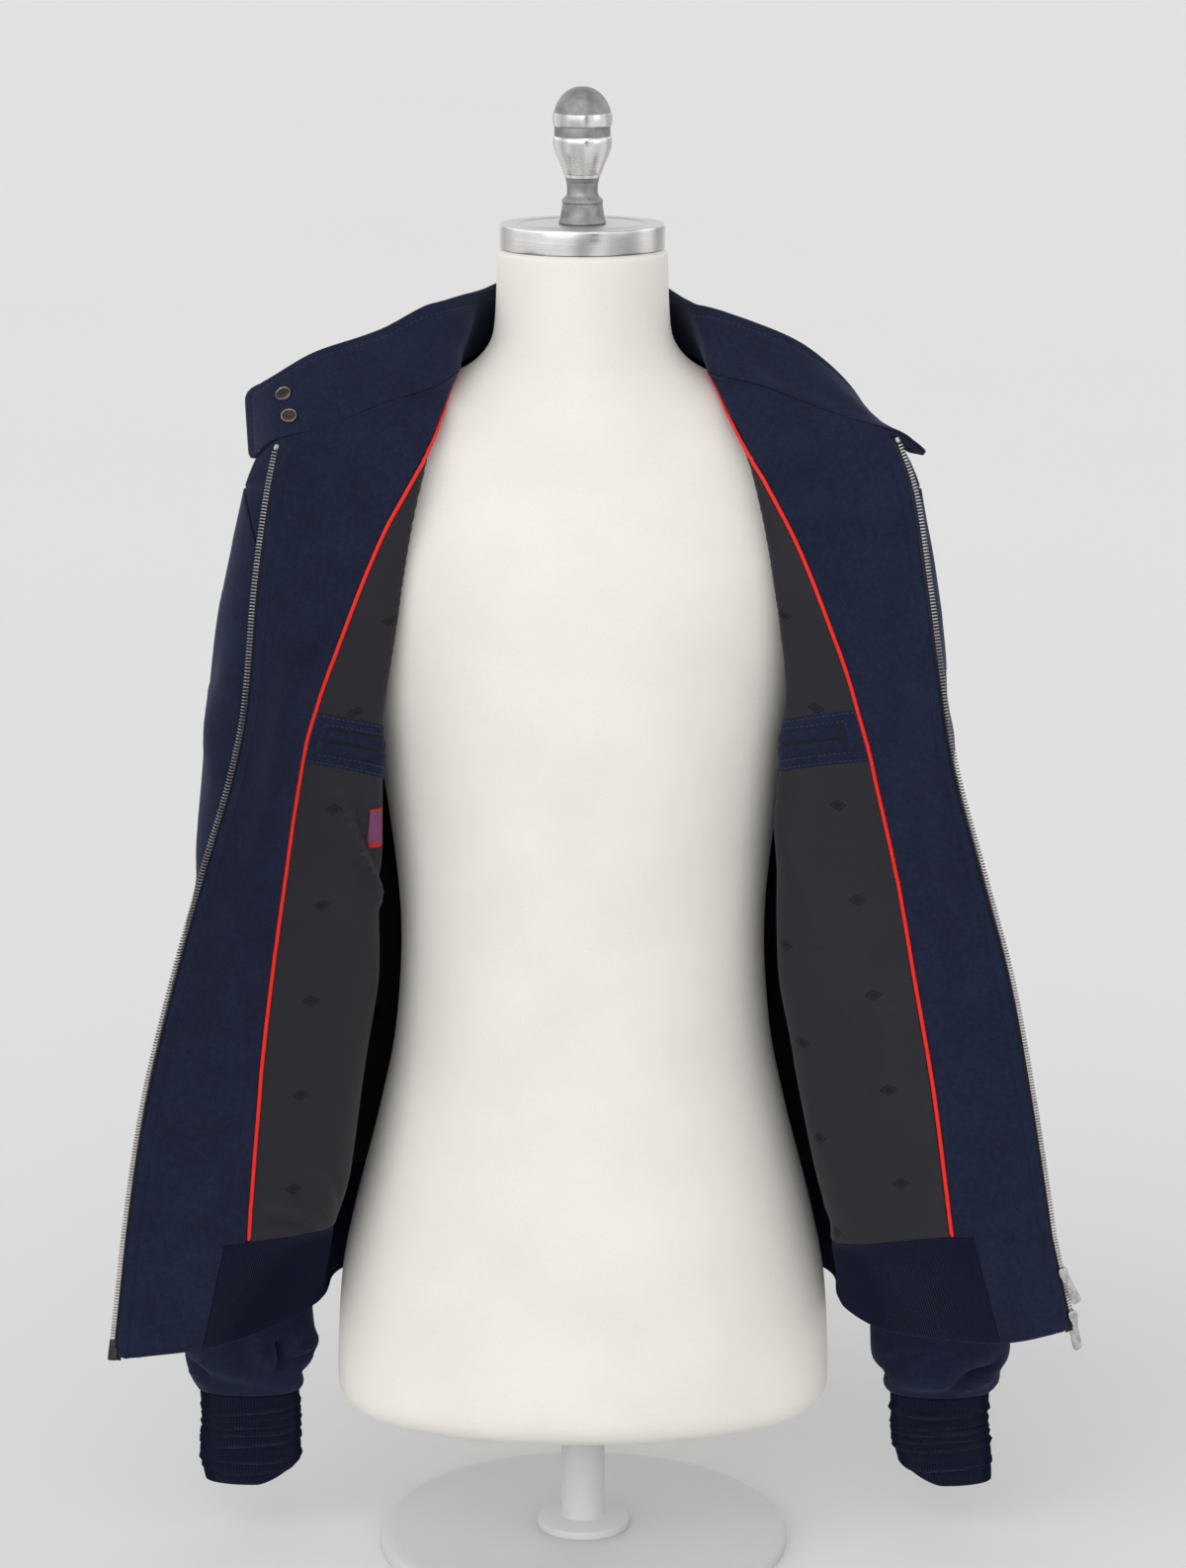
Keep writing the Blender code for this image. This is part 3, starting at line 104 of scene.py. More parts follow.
# ---- neckline and collar: one row for each station, from the centre back to the tab's end ----
CollarRow = namedtuple("CollarRow", "place seam_out seam_y seam_z top_out top_y top_z")
COLLAR_RIGHT = table(
    CollarRow, ("centre back", 0, 84, 884, 0, 71, 936), ("back", 52, 70, 880, 44, 58, 928),
    ("shoulder", 88, 20, 870, 70, 12, 922), ("side of neck", 86, -28, 873, 79, -4, 922),
    ("wing start", 100, -56, 865, 103, -38, 919), ("wing", 136, -75, 855, 141, -45, 900.5),
    ("wing end", 176, -95, 841, 180, -63, 889.5), ("zip", 206, -105, 835, 211, -65, 871.5),
    ("tab end", 226, -89, 816, 231.5, -53, 859.5),
)
COLLAR_LEFT = table(
    CollarRow, ("centre back", 0, 84, 884, 0, 71, 936), ("back", 52, 70, 880, 44, 58, 927),
    ("shoulder", 88, 20, 870, 70, 12, 916), ("side of neck", 88, -30, 871, 80, -4, 914),
    ("wing start", 119, -58, 866, 118, -16, 903), ("wing", 150, -68, 855, 149, -25, 890.5),
    ("wing end", 190, -87, 843, 179, -37.5, 866.5), ("zip", 212, -99, 839, 202, -44, 837),
    ("tab end", 235, -88, 822, 227, -33, 816),
)
SHOULDER_STATION = 2  # the collar row where the shoulder seam meets the neckline
FRONT_STATION = 3.3  # where the neckline leaves the front's first row
ZIP_STATION = 7
TAB_END = 8

# ---- lines along the coat: distance out from the centre plane and depth, at each height ----
LineRow = namedtuple("LineRow", "z out y")
SHOULDER_SEAM = table(
    LineRow, (870, 88, 20), (861, 125, 14), (849, 165, 11), (828, 205, 10), (805, 226, 10),
    (ARMHOLE_TOP, 236, 10),
)
SIDE_SEAM = table(LineRow, (UNDERARM, 174, 22), (480, 170, 26), (380, 178, 26), (BAND_TOP, 190, 22))
RIDGE_RIGHT = table(
    LineRow, (872, 87, -22), (850, 97, -52), (830, 103, -72), (806, 110, -80), (780, 116, -85),
    (700, 129, -81), (620, 140, -73), (540, 141, -67), (460, 143, -63), (380, 155, -62), (300, 167, -62),
    (BAND_TOP, 178, -63),
)
RIDGE_LEFT = table(
    LineRow, (872, 88, -22), (850, 100, -52), (830, 110, -72), (806, 118, -80), (780, 124, -85),
    (700, 137, -81), (655, 142, -76), (620, 139, -73), (540, 136, -67), (460, 138, -63), (380, 152, -62),
    (300, 168, -64), (BAND_TOP, 178, -68),
)
MIDDLE_RIGHT = table(
    LineRow, (830, 158, -86), (780, 166, -98), (700, 178, -108), (620, 193, -106), (540, 206, -106),
    (460, 217, -106), (380, 227, -107), (BAND_TOP, 236, -109),
)
MIDDLE_LEFT = table(
    LineRow, (830, 163, -86), (780, 174, -98), (700, 186, -109), (620, 199, -106), (540, 217, -107),
    (460, 232, -110), (380, 246, -115), (BAND_TOP, 261, -121),
)
EDGE_RIGHT = table(
    LineRow, (835, 206, -105), (800, 213, -118), (740, 221, -137), (660, 228, -154), (620, 236, -158),
    (540, 260, -158), (460, 283, -152), (380, 303, -144), (300, 317, -134), (HEM_CORNER_RIGHT, 332, -126),
)
EDGE_LEFT = table(
    LineRow, (839, 212, -99), (800, 226, -112), (740, 235, -131), (660, 246, -146), (620, 253, -147),
    (540, 275, -142), (460, 297, -132), (380, 313, -121), (300, 327, -108), (240, 337, -103),
    (HEM_CORNER_LEFT, 349, -98),
)
BACK_CENTRE = table(
    LineRow, (884, 0, 84), (860, 0, 100), (810, 0, 117), (720, 0, 128), (640, 0, 128), (540, 0, 122),
    (460, 0, 120), (340, 0, 128), (BAND_TOP, 0, 131),
)
# Where the piping crosses the front, counted along its guides: 2 is the ridge, 3 the middle line.
PipingRow = namedtuple("PipingRow", "z guide")
PIPING = table(
    PipingRow, (872, 1.8), (835, 1.98), (822, 2.15), (800, 2.31), (780, 2.44), (740, 2.63), (700, 2.78),
    (655, 2.92), (610, 3.0), (BAND_TOP, 3.0),
)
# Waistband and hem tab from the side seam to the zip: height of the upper seam, then the lower edge.
HemRow = namedtuple("HemRow", "place guide top out y z")
HEM_RIGHT = table(
    HemRow, ("side seam", 0.0, BAND_TOP, 187, 24, 190), ("under the first leg", 1.0, 266, 188, 6, 190),
    ("ridge", 2.0, 265, 192, -16, 191), ("inner front", 2.5, 266, 212, -62, 192),
    ("tab seam", 3.2, 266, 269, -115, 188.5), ("zip", 4.0, 266, 332, -126, HEM_CORNER_RIGHT),
)
HEM_LEFT = table(
    HemRow, ("side seam", 0.0, BAND_TOP, 187, 24, 190), ("under the first leg", 1.0, 262, 186, 4, 190),
    ("ridge", 2.0, 255, 189, -24, 190), ("inner front", 2.5, 264, 213, -78, 191),
    ("tab seam", 3.2, 275, 295, -120, 195), ("zip", 4.0, 270, 348.5, -98, HEM_CORNER_LEFT),
)
BULGE_FRONT, BULGE_SIDE = 9, 10  # how far the hidden first leg swells outward

# ---- sleeves and cuffs: one row for each ring ----
SleeveRow = namedtuple("SleeveRow", "z out y half_width half_depth")
SLEEVE_RIGHT = table(
    SleeveRow, (545, 228, 16, 46, 52), (480, 232, 16, 49, 48), (400, 237, 15, 50, 44),
    (320, 242, 14, 48, 40), (240, 245, 14, 46, 35), (180, 246, 15, 46, 30), (145, 245, 15, 47, 27),
    (124, 245, 15, 43, 23), (112, 246, 15, 35.5, 16.5),
)
SLEEVE_LEFT = table(
    SleeveRow, (545, 222, 18, 43, 52), (480, 230, 18, 46, 48), (400, 241, 18, 47, 44),
    (320, 251, 18, 48, 40), (240, 258, 18, 50, 35), (180, 262, 18, 50, 30), (145, 263, 17, 50, 27),
    (122, 263, 16, 45, 23), (110, 263, 15, 35, 16.5),
)
CUFF_RIGHT = table(
    SleeveRow, (112, 246, 15, 34.2, 15.5), (92, 245, 15, 34, 16), (64, 246, 15, 35, 16),
    (42, 244, 15, 33, 15),
)
CUFF_LEFT = table(
    SleeveRow, (110, 263, 15, 34.2, 15.5), (88, 263, 15, 33.5, 16), (62, 266, 15, 33.5, 16),
    (41, 268, 15, 32, 15),
)
HEAD_RINGS = 4  # rings between the armhole and the first sleeve row
HEAD_SWELL = 6

Side = namedtuple("Side", "name sign collar ridge middle edge hem sleeve cuff")
RIGHT = Side(
    "right", -1, COLLAR_RIGHT, RIDGE_RIGHT, MIDDLE_RIGHT, EDGE_RIGHT, HEM_RIGHT, SLEEVE_RIGHT, CUFF_RIGHT
)
LEFT = Side("left", 1, COLLAR_LEFT, RIDGE_LEFT, MIDDLE_LEFT, EDGE_LEFT, HEM_LEFT, SLEEVE_LEFT, CUFF_LEFT)
SIDES = (RIGHT, LEFT)

# ---- folds, laid one by one ----
# Each runs between two places on a panel: a share across it and a height. It bows sideways by
# bow and has that half width; a positive height swells to the coat's outside.
Fold = namedtuple("Fold", "from_share from_z to_share to_z bow width height")
FRONT_FOLDS = {
    "right": table(Fold,
        (0.83, 800, 0.72, 610, 9, 24, 2.4), (0.93, 700, 0.90, 520, -7, 15, -1.7),
        (0.66, 700, 0.74, 470, 12, 26, -1.8), (0.86, 560, 0.80, 330, -10, 26, 2.2),
        (0.64, 420, 0.72, 290, 6, 20, -1.5), (0.56, 592, 0.36, 498, 7, 5.5, -7.5),
        (0.63, 585, 0.44, 486, 7, 10, 2.4), (0.30, 560, 0.40, 400, 8, 16, 2.6),
        (0.52, 470, 0.44, 300, -8, 18, -1.8), (0.40, 272, 0.66, 297, 4, 4.2, 2.4),
        (0.42, 270, 0.62, 284, 2, 3.8, -2.4), (0.39, 276, 0.56, 311, 4, 4.4, -2.0),
        (0.44, 269, 0.64, 276, 2, 3.4, 1.8), (0.37, 280, 0.48, 318, 3, 5.0, 1.8),
        (0.20, 297, 0.34, 280, 2, 5, 1.6), (0.08, 560, 0.20, 420, 8, 16, 2.4),
        (0.16, 700, 0.10, 590, -6, 14, -2.2), (0.60, 822, 0.82, 800, 6, 14, 1.6),
    ),
    "left": table(Fold,
        (0.80, 805, 0.74, 640, -9, 22, 2.2), (0.92, 660, 0.88, 480, 8, 16, -1.8),
        (0.68, 690, 0.72, 520, -10, 24, -1.6), (0.84, 520, 0.82, 320, 10, 24, 2.4),
        (0.66, 440, 0.56, 332, 5, 9, -2.4), (0.34, 590, 0.50, 470, 8, 15, -2.2),
        (0.52, 430, 0.46, 310, -7, 17, 1.9), (0.26, 545, 0.32, 380, -8, 16, 2.4),
        (0.34, 298, 0.50, 288, 2, 4.5, 1.2), (0.24, 292, 0.36, 276, -2, 5, -1.5),
        (0.09, 540, 0.18, 390, -8, 16, 2.6), (0.15, 690, 0.11, 585, 6, 14, -2.0),
        (0.62, 818, 0.80, 792, -5, 13, 1.5),
    ),
}
BACK_FOLDS = table(
    Fold, (0.10, 600, 0.26, 470, 10, 16, 3.6), (0.07, 560, 0.20, 410, 8, 13, -3.0),
    (0.90, 590, 0.75, 455, -10, 16, 3.4), (0.93, 545, 0.80, 400, -8, 13, -2.8),
    (0.22, 780, 0.16, 640, 8, 15, -2.4), (0.79, 785, 0.85, 650, -8, 15, -2.2),
    (0.34, 700, 0.38, 420, 14, 24, 2.4), (0.63, 690, 0.60, 400, -12, 24, -2.2),
    (0.48, 500, 0.52, 320, 10, 20, 2.2), (0.30, 345, 0.46, 292, -6, 9, 3.0),
    (0.54, 330, 0.72, 288, 6, 9, 2.8), (0.12, 325, 0.26, 290, 5, 8, 2.6),
    (0.76, 318, 0.88, 286, -4, 8, 2.4), (0.40, 302, 0.62, 284, 3, 6, -1.8),
    (0.36, 868, 0.62, 858, -4, 9, 1.2),
)
SLEEVE_FOLDS = {
    "right": table(Fold,
        (0.98, 640, 1.16, 560, 8, 15, 2.8), (0.10, 700, 0.02, 600, -6, 14, -2.4),
        (0.92, 520, 1.10, 440, 10, 17, -3.0), (0.96, 470, 1.14, 395, 8, 14, 3.2),
        (0.58, 500, 0.80, 430, -9, 16, 3.2), (0.62, 420, 0.84, 355, -8, 14, -2.8),
        (0.20, 400, 0.40, 330, 8, 15, 2.6), (0.95, 300, 1.12, 245, 6, 13, 2.8),
        (0.60, 290, 0.76, 225, -6, 13, 2.8), (0.12, 236, 0.34, 196, 5, 9, 2.6),
        (0.88, 206, 1.08, 172, 5, 8, 2.6), (0.52, 196, 0.74, 166, -5, 8, 2.4),
        (0.318, 160, 0.335, 134, 1, 5.0, -10.5), (0.320, 157, 0.334, 137, 1, 2.2, -5.0),
        (0.34, 141, 0.48, 144, 0, 2.6, -4.5), (0.44, 150, 0.58, 148, 0, 6, 2.6),
        (0.285, 166, 0.29, 136, -2, 7, 4.5), (0.37, 168, 0.385, 150, 0, 6, 3.5),
        (0.36, 143, 0.47, 146, 1, 4, 2.4), (0.40, 124, 0.62, 122, 0, 8, -9.5),
        (0.03, 136, 0.15, 128, 1, 4, -6.0), (0.10, 140, 0.31, 128, 3, 8, 5.0),
        (0.20, 176, 0.34, 158, 4, 7, 2.6),
    ),
    "left": table(Fold,
        (0.97, 650, 1.14, 570, 8, 15, -2.6), (0.12, 690, 0.03, 590, 6, 14, 2.6),
        (0.93, 510, 1.12, 432, -10, 16, 3.2), (0.98, 450, 1.16, 380, 8, 14, -2.8),
        (0.60, 510, 0.82, 436, 9, 16, -3.0), (0.63, 410, 0.85, 350, -8, 14, 3.0),
        (0.22, 390, 0.42, 322, -8, 15, -2.6), (0.94, 310, 1.10, 250, -6, 13, 2.6),
        (0.58, 280, 0.78, 220, 6, 13, -2.6), (0.14, 226, 0.36, 190, -5, 9, 2.6),
        (0.86, 200, 1.04, 168, 5, 8, -2.6), (0.50, 190, 0.72, 160, 5, 8, 2.6),
        (0.08, 133, 0.23, 124, 2, 4, -8.5), (0.08, 149, 0.26, 139, 2, 7, 4.0),
        (0.36, 132, 0.18, 130, 3, 7, 3.5), (0.88, 128, 1.12, 124, 0, 8, -4.0),
        (0.40, 124, 0.60, 122, 0, 8, -8.0), (0.20, 130, 0.40, 126, -3, 7, 3.6),
        (0.34, 150, 0.46, 140, 2, 5, 2.4), (0.16, 182, 0.36, 166, 4, 8, -2.4),
    ),
}
# Collar folds: the shares run from the right tab's end to the left one's, and z is the rise in mm.
COLLAR_FOLDS = table(
    Fold, (0.10, 44, 0.21, 12, -6, 11, -2.2), (0.17, 40, 0.30, 8, 5, 13, 2.2),
    (0.24, 50, 0.33, 26, -4, 10, -1.8), (0.40, 44, 0.47, 10, 4, 14, 1.8), (0.57, 40, 0.52, 12, -4, 14, 1.6),
    (0.70, 46, 0.78, 14, 6, 11, -2.4), (0.75, 40, 0.87, 10, -6, 11, 2.4), (0.84, 34, 0.93, 12, 4, 9, -2.0),
)


# ---- curves through table rows ----
def lerp(a, b, t):
    return a + (b - a) * t


def smooth(t):
    t = np.clip(t, 0, 1)
    return t * t * (3 - 2 * t)


def unit(vectors):
    return vectors / np.maximum(np.linalg.norm(vectors, axis=-1, keepdims=True), 1e-9)


def hermite(a, b, leave, arrive, t):
    """Curve from a to b that leaves and arrives along those slopes."""
    return (
        (2 * t**3 - 3 * t**2 + 1) * a
        + (t**3 - 2 * t**2 + t) * leave
        + (3 * t**2 - 2 * t**3) * b
        + (t**3 - t**2) * arrive
    )


def along(places, values, at):
    """Values at some places of the smooth curve through a table's rows; it never overshoots a row."""
    places = np.asarray(places, float)
    values = np.asarray(values, float)
    at = np.clip(np.asarray(at, float), places[0], places[-1])
    i = np.clip(np.searchsorted(places, at, side="right") - 1, 0, len(places) - 2)
    rises = np.diff(values, axis=0) / np.diff(places)[:, None]
    product = rises[:-1] * rises[1:]
    total = np.where(product > 0, rises[:-1] + rises[1:], 1.0)
    inner = np.where(product > 0, 2 * product / total, 0.0)
    slope = np.vstack([rises[:1], inner, rises[-1:]])
    span = np.asarray(places[i + 1] - places[i])[..., None]
    t = np.asarray(at - places[i])[..., None] / span
    return hermite(values[i], values[i + 1], slope[i] * span, slope[i + 1] * span, t)


def at_height(table, z):
    """The other columns of a table whose first column is the height."""
    rows = np.array([row[:] for row in table], float)[::-1]
    return along(rows[:, 0], rows[:, 1:], z)


def line_point(side, table, z):
    out, y = at_height(table, z)
    return np.array([side.sign * out, y, z])


def row_lengths(points):
    """How far along its own row each point of a grid lies."""
    steps = np.linalg.norm(np.diff(points[..., :3], axis=1), axis=2)
    return np.hstack([np.zeros((len(points), 1)), np.cumsum(steps, axis=1)])


def mean_drops(points):
    """How far down a grid each row lies, on average."""
    return np.append(0, np.cumsum(np.linalg.norm(np.diff(points, axis=0), axis=2).mean(axis=1)))


def through(points, at):
    """Points on a rounded curve through a few points; whole numbers are the points themselves."""
    chords = np.linalg.norm(np.diff(points, axis=0), axis=1)
    run = np.diff(points, axis=0) / chords[:, None]
    turned = run[:-1] * chords[1:, None] + run[1:] * chords[:-1, None]
    tangents = np.vstack([run[:1], turned / (chords[:-1] + chords[1:])[:, None], run[-1:]])
    i = np.clip(at.astype(int), 0, len(points) - 2)
    span = chords[i][:, None]
    return hermite(points[i], points[i + 1], span * tangents[i], span * tangents[i + 1], (at - i)[:, None])


# ---- the coat's own lines ----
def collar_point(side, station, top=0.0):
    """Points on the collar: station counts the table's rows, top is 0 at the seam and 1 at the edge."""
    right = [(-r.seam_out, r.seam_y, r.seam_z, -r.top_out, r.top_y, r.top_z) for r in COLLAR_RIGHT[:0:-1]]
    values = along(range(-TAB_END, TAB_END + 1), right + [r[1:] for r in COLLAR_LEFT], station * side.sign)
    return lerp(values[..., :3], values[..., 3:], np.asarray(top, float)[..., None])


def armhole_point(side, turn, branch):
    """Point on the armhole: turn is 0 at the shoulder and pi at the underarm, branch -1 front, 1 back."""
    top = line_point(side, SHOULDER_SEAM, ARMHOLE_TOP)
    bottom = line_point(side, SIDE_SEAM, UNDERARM)
    point = lerp(top, bottom, (1 - math.cos(turn)) / 2)
    return point + np.array([0, branch * ARMHOLE_DEPTH * math.sin(turn), 0])


def seam_point(side, row, branch):
    """The edge that front and back share: shoulder seam, armhole, then side seam."""
    if row <= SHOULDER_END:
        z = lerp(SHOULDER_SEAM[0].z, ARMHOLE_TOP, row / SHOULDER_END)
        return line_point(side, SHOULDER_SEAM, z)
    if row <= ARMHOLE_END:
        turn = math.pi * (row - SHOULDER_END) / (ARMHOLE_END - SHOULDER_END)
        return armhole_point(side, turn, branch)
    down = (row - ARMHOLE_END) / (BAND_START - ARMHOLE_END)
    return line_point(side, SIDE_SEAM, lerp(UNDERARM, BAND_TOP, down))


def row_height(row, start, end=BAND_TOP):
    """Height of a line at one row: level with the side seam at the underarm, end at the waistband."""
    if row <= ARMHOLE_END:
        return lerp(start, UNDERARM, (row - SHOULDER_END) / (ARMHOLE_END - SHOULDER_END))
    return lerp(UNDERARM, end, (row - ARMHOLE_END) / (BAND_START - ARMHOLE_END))


def at_hem(side, guide):
    """The hem table's columns at one guide: height of the seam above, then out, y and z below."""
    rows = np.array([row[1:] for row in side.hem], float)
    return along(rows[:, 0], rows[:, 1:], guide)


def front_guides(side, row):
    """The five points that one row of a front passes: seam, first leg, ridge, middle, edge."""
    seam = seam_point(side, row, -1)
    below = smooth(row - SHOULDER_END)
    if row <= SHOULDER_END:
        down = row / SHOULDER_END
        edge = collar_point(side, lerp(FRONT_STATION, ZIP_STATION, down))
        ridge = line_point(side, side.ridge, lerp(side.ridge[0].z, 806, down))
        middle = (ridge + edge) / 2
    else:
        ends = [at_hem(side, guide)[0] for guide in (2, 3, 4)]
        ridge = line_point(side, side.ridge, row_height(row, 806, ends[0]))
        edge = line_point(side, side.edge, row_height(row, side.edge[0].z, ends[2]))
        middle = line_point(side, side.middle, row_height(row, 822, ends[1]))
        middle = lerp((ridge + edge) / 2, middle, below)
    run = ridge - seam
    outward = unit(np.array([side.sign * abs(run[1]), -abs(run[0]), 0.0]))
    share = max(0.0, (row - SHOULDER_END) / (BAND_START - SHOULDER_END))
    lift = np.array([side.sign * 0.45, -0.55, 0.7]) * BULGE_FRONT * min(1, row / 2)
    leg = (seam + ridge) / 2 + lerp(lift, outward * lerp(2, BULGE_SIDE, share), below)
    return np.array([seam, leg, ridge, middle, edge])


def front_guide_of(row, columns):
    """Guide number of each column: the lining's columns, then the facing's from the piping to the edge."""
    if row <= SHOULDER_END:
        piping = at_height(PIPING, lerp(PIPING[0].z, 822, row / SHOULDER_END))[0]
    else:
        piping = at_height(PIPING, row_height(row, 822))[0]
    facing = lerp(piping, 4, (columns - LINING_END) / (EDGE - LINING_END))
    return np.where(columns <= LINING_END, piping * columns / LINING_END, facing)


def front_row(side, row, columns):
    if row >= 1:
        return through(front_guides(side, row), front_guide_of(row, columns))
    seam = collar_point(side, lerp(SHOULDER_STATION, FRONT_STATION, columns / EDGE))
    first, beyond = front_row(side, 1, columns), front_row(side, 1.05, columns)
    points = hermite(seam, first, first - seam, (beyond - first) / 0.05, row)
    to_edge = collar_point(side, lerp(FRONT_STATION, ZIP_STATION, row / SHOULDER_END)) - points[-1]
    to_seam = seam_point(side, row, -1) - points[0]
    near_edge, near_seam = smooth((columns - 8) / 3)[:, None], smooth((3 - columns) / 3)[:, None]
    return points + to_edge * near_edge + to_seam * near_seam


def back_row(row, shares):
    """One row of the back, from the right seam round to the left one."""
    turn = math.pi * (shares - 0.5)
    right, left = seam_point(RIGHT, row, 1), seam_point(LEFT, row, 1)
    seam = np.where(turn[:, None] > 0, left, right)
    share = (np.cos(turn).clip(0) ** 0.85)[:, None]
    start = BACK_CENTRE[0].z
    centre_z = lerp(start, 812, row / SHOULDER_END) if row <= SHOULDER_END else row_height(row, 812)
    centre = np.array([0, at_height(BACK_CENTRE, centre_z)[1], centre_z])
    points = lerp(seam, centre, share)
    points[:, 0] = np.abs(np.sin(turn)) * seam[:, 0]
    if row >= 1:
        return points
    station = np.abs(shares - 0.5) * 2 * SHOULDER_STATION
    neck = np.where(turn[:, None] > 0, collar_point(LEFT, station), collar_point(RIGHT, station))
    first, beyond = back_row(1, shares), back_row(1.05, shares)
    points = hermite(neck, first, first - neck, (beyond - first) / 0.05, row)
    near_right, near_left = smooth(1 - shares / 0.3)[:, None], smooth((shares - 0.7) / 0.3)[:, None]
    return points + (right - points[0]) * near_right + (left - points[-1]) * near_left


# ---- panels ----
Panel = namedtuple("Panel", "points normals rows columns")


def grid_normals(points, closed=False):
    down = np.gradient(points, axis=0)
    if closed:
        across = (np.roll(points, -1, axis=1) - np.roll(points, 1, axis=1)) / 2
    else:
        across = np.gradient(points, axis=1)
    return unit(np.cross(across, down))


def relaxed(points, times, closed=False):
    """The grid with its inner points evened out; its borders stay."""
    for _ in range(times):
        moved = points.copy()
        moved[1:-1] = (points[:-2] + 2 * points[1:-1] + points[2:]) / 4
        evened = (np.roll(moved, 1, axis=1) + 2 * moved + np.roll(moved, -1, axis=1)) / 4
        inner = slice(None) if closed else slice(1, -1)
        moved[1:-1, inner] = evened[1:-1, inner]
        points = moved
    return points


def fold_lift(across, height, folds, size, turn=None):
    """How far the folds lift each place: across is its share of a row, size the panel's mean width."""
    lift = np.zeros(across.shape)
    for fold in folds:
        t = np.linspace(0, 1, 15)
        run = np.array([(fold.to_share - fold.from_share) * size, fold.to_z - fold.from_z])
        side = np.array([-run[1], run[0]]) / max(np.linalg.norm(run), 1e-6)
        middle = np.outer(t, run) + np.outer(np.sin(math.pi * t) * fold.bow, side)
        share = across - fold.from_share
        if turn:
            share = (share - (fold.to_share - fold.from_share) / 2 + turn / 2) % turn
            share = share + (fold.to_share - fold.from_share) / 2 - turn / 2
        u, v = share * size, height - fold.from_z
        reach = 3 * fold.width + abs(fold.bow)
        near = (u > min(0, run[0]) - reach) & (u < max(0, run[0]) + reach)
        near &= (v > min(0, run[1]) - reach) & (v < max(0, run[1]) + reach)
        if not near.any():
            continue
        place = np.stack([u[near], v[near]], axis=-1)[:, None, :]
        gaps = np.linalg.norm(place - middle[None], axis=2)
        closest = gaps.argmin(axis=1)
        offset = (place[:, 0] - middle[closest]) @ side / fold.width
        gap = gaps.min(axis=1) / fold.width
        taper = np.sin(math.pi * t[closest]) ** 0.7
        swell = np.exp(-(gap**2)) - 0.4 * np.exp(-((offset + 1.7) ** 2)) * np.exp(-((gap - abs(offset)) ** 2))
        lift[near] += fold.height * taper * swell
    return lift


def unevenness(points, strength, size):
    """Small soft lumps, the same on every layer that passes through a place."""
    flat = points.reshape(-1, 3) / size
    lumps = [noise.noise(Vector(p)) + 0.4 * noise.noise(Vector(p * 2.3 + 7)) for p in flat]
    return np.array(lumps).reshape(points.shape[:-1]) * strength


HELD = 14  # how far from a sewn border the folds fade out


def folded(points, outside, folds, width, turn=None):
    """A panel's points lifted by its folds and by slight unevenness, with its normals."""
    closed = turn is not None
    normals = grid_normals(points, closed) * outside
    run = row_lengths(points)
    shares = run / run[:, -1:]
    if closed:
        shares = np.broadcast_to(np.arange(points.shape[1]) / points.shape[1], run.shape)
    strength = bpy.context.scene.coat_cloth.fold_strength
    lift = fold_lift(shares, points[..., 2], folds, width, turn) * strength
    lift += unevenness(points, 0.45 * strength, 42)
    drop = mean_drops(points)[:, None] + np.zeros(run.shape)
    if not closed:
        lift *= smooth(run / HELD) * smooth((run[:, -1:] - run) / HELD)
    lift *= smooth(drop / HELD) * smooth((drop[-1] - drop) / HELD)
    points = points + normals * lift[..., None]
    return points, grid_normals(points, closed) * outside


def finder(points):
    """Search tree for the nearest of some points."""
    tree = kdtree.KDTree(len(points))
    for i, point in enumerate(points):
        tree.insert(point, i)
    tree.balance()
    return tree


def meet(panel, other_points, other_normals, reach=12):
    """Turn a panel's normals towards its neighbour's near the line that they share."""
    tree = finder(other_points)
    low, high = other_points.min(axis=0) - reach, other_points.max(axis=0) + reach
    inside = ((panel.points > low) & (panel.points < high)).all(axis=-1)
    for r, c in np.argwhere(inside):
        _, i, gap = tree.find(panel.points[r, c])
        if gap > reach:
            continue
        own = panel.normals[r, c]
        agree = max(0.0, float(own @ other_normals[i]))
        share = (1 - gap / reach) ** 2 * agree
        panel.normals[r, c] = unit(own + other_normals[i] * share)


def spaced(*stretches):
    """Even numbers over one or more (start, end, count) stretches that meet."""
    return np.concatenate([np.linspace(*stretch)[k > 0 :] for k, stretch in enumerate(stretches)])


def with_band(points, rows, bottom):
    """A panel's points and rows carried straight on down to the hem."""
    band = np.linspace(0, 1, 27)[1:]
    points = np.concatenate([points, lerp(points[-1], bottom, band[:, None, None])])
    return points, np.append(rows, lerp(BAND_START, HEM, band))


def front_panel(side):
    """Front from the shoulder to the hem, from the side seam to the zip."""
    rows = spaced((0, 4, 33), (4, 10, 97), (10, BAND_START, 141))
    columns = spaced((0, LINING_END, 97), (LINING_END, EDGE, 56))
    points = np.array([front_row(side, row, columns) for row in rows])
    bottom = at_hem(side, front_guide_of(BAND_START, columns))[:, 1:] * np.array([side.sign, 1, 1])
    points, rows = with_band(relaxed(points, 5), rows, bottom)
    points, normals = folded(points, side.sign, FRONT_FOLDS[side.name], 330)
    return Panel(points, normals, rows, columns)


def back_panel():
    rows = spaced((0, 4, 29), (4, 10, 85), (10, BAND_START, 106))
    shares = np.linspace(0, 1, 161)
    points = relaxed(np.array([back_row(row, shares) for row in rows]), 4)
    turn = math.pi * (shares - 0.5)
    seam = np.where(turn[:, None] > 0, at_hem(LEFT, 0)[1:], at_hem(RIGHT, 0)[1:] * np.array([-1, 1, 1]))
    share = (np.cos(turn).clip(0) ** 0.85)[:, None]
    bottom = lerp(seam, np.array([0, 124, HEM_HEIGHT]), share)
    bottom[:, 0] = np.abs(np.sin(turn)) * seam[:, 0]
    points, rows = with_band(points, rows, bottom)
    points, normals = folded(points, 1, BACK_FOLDS, 480)
    return Panel(points, normals, rows, shares)


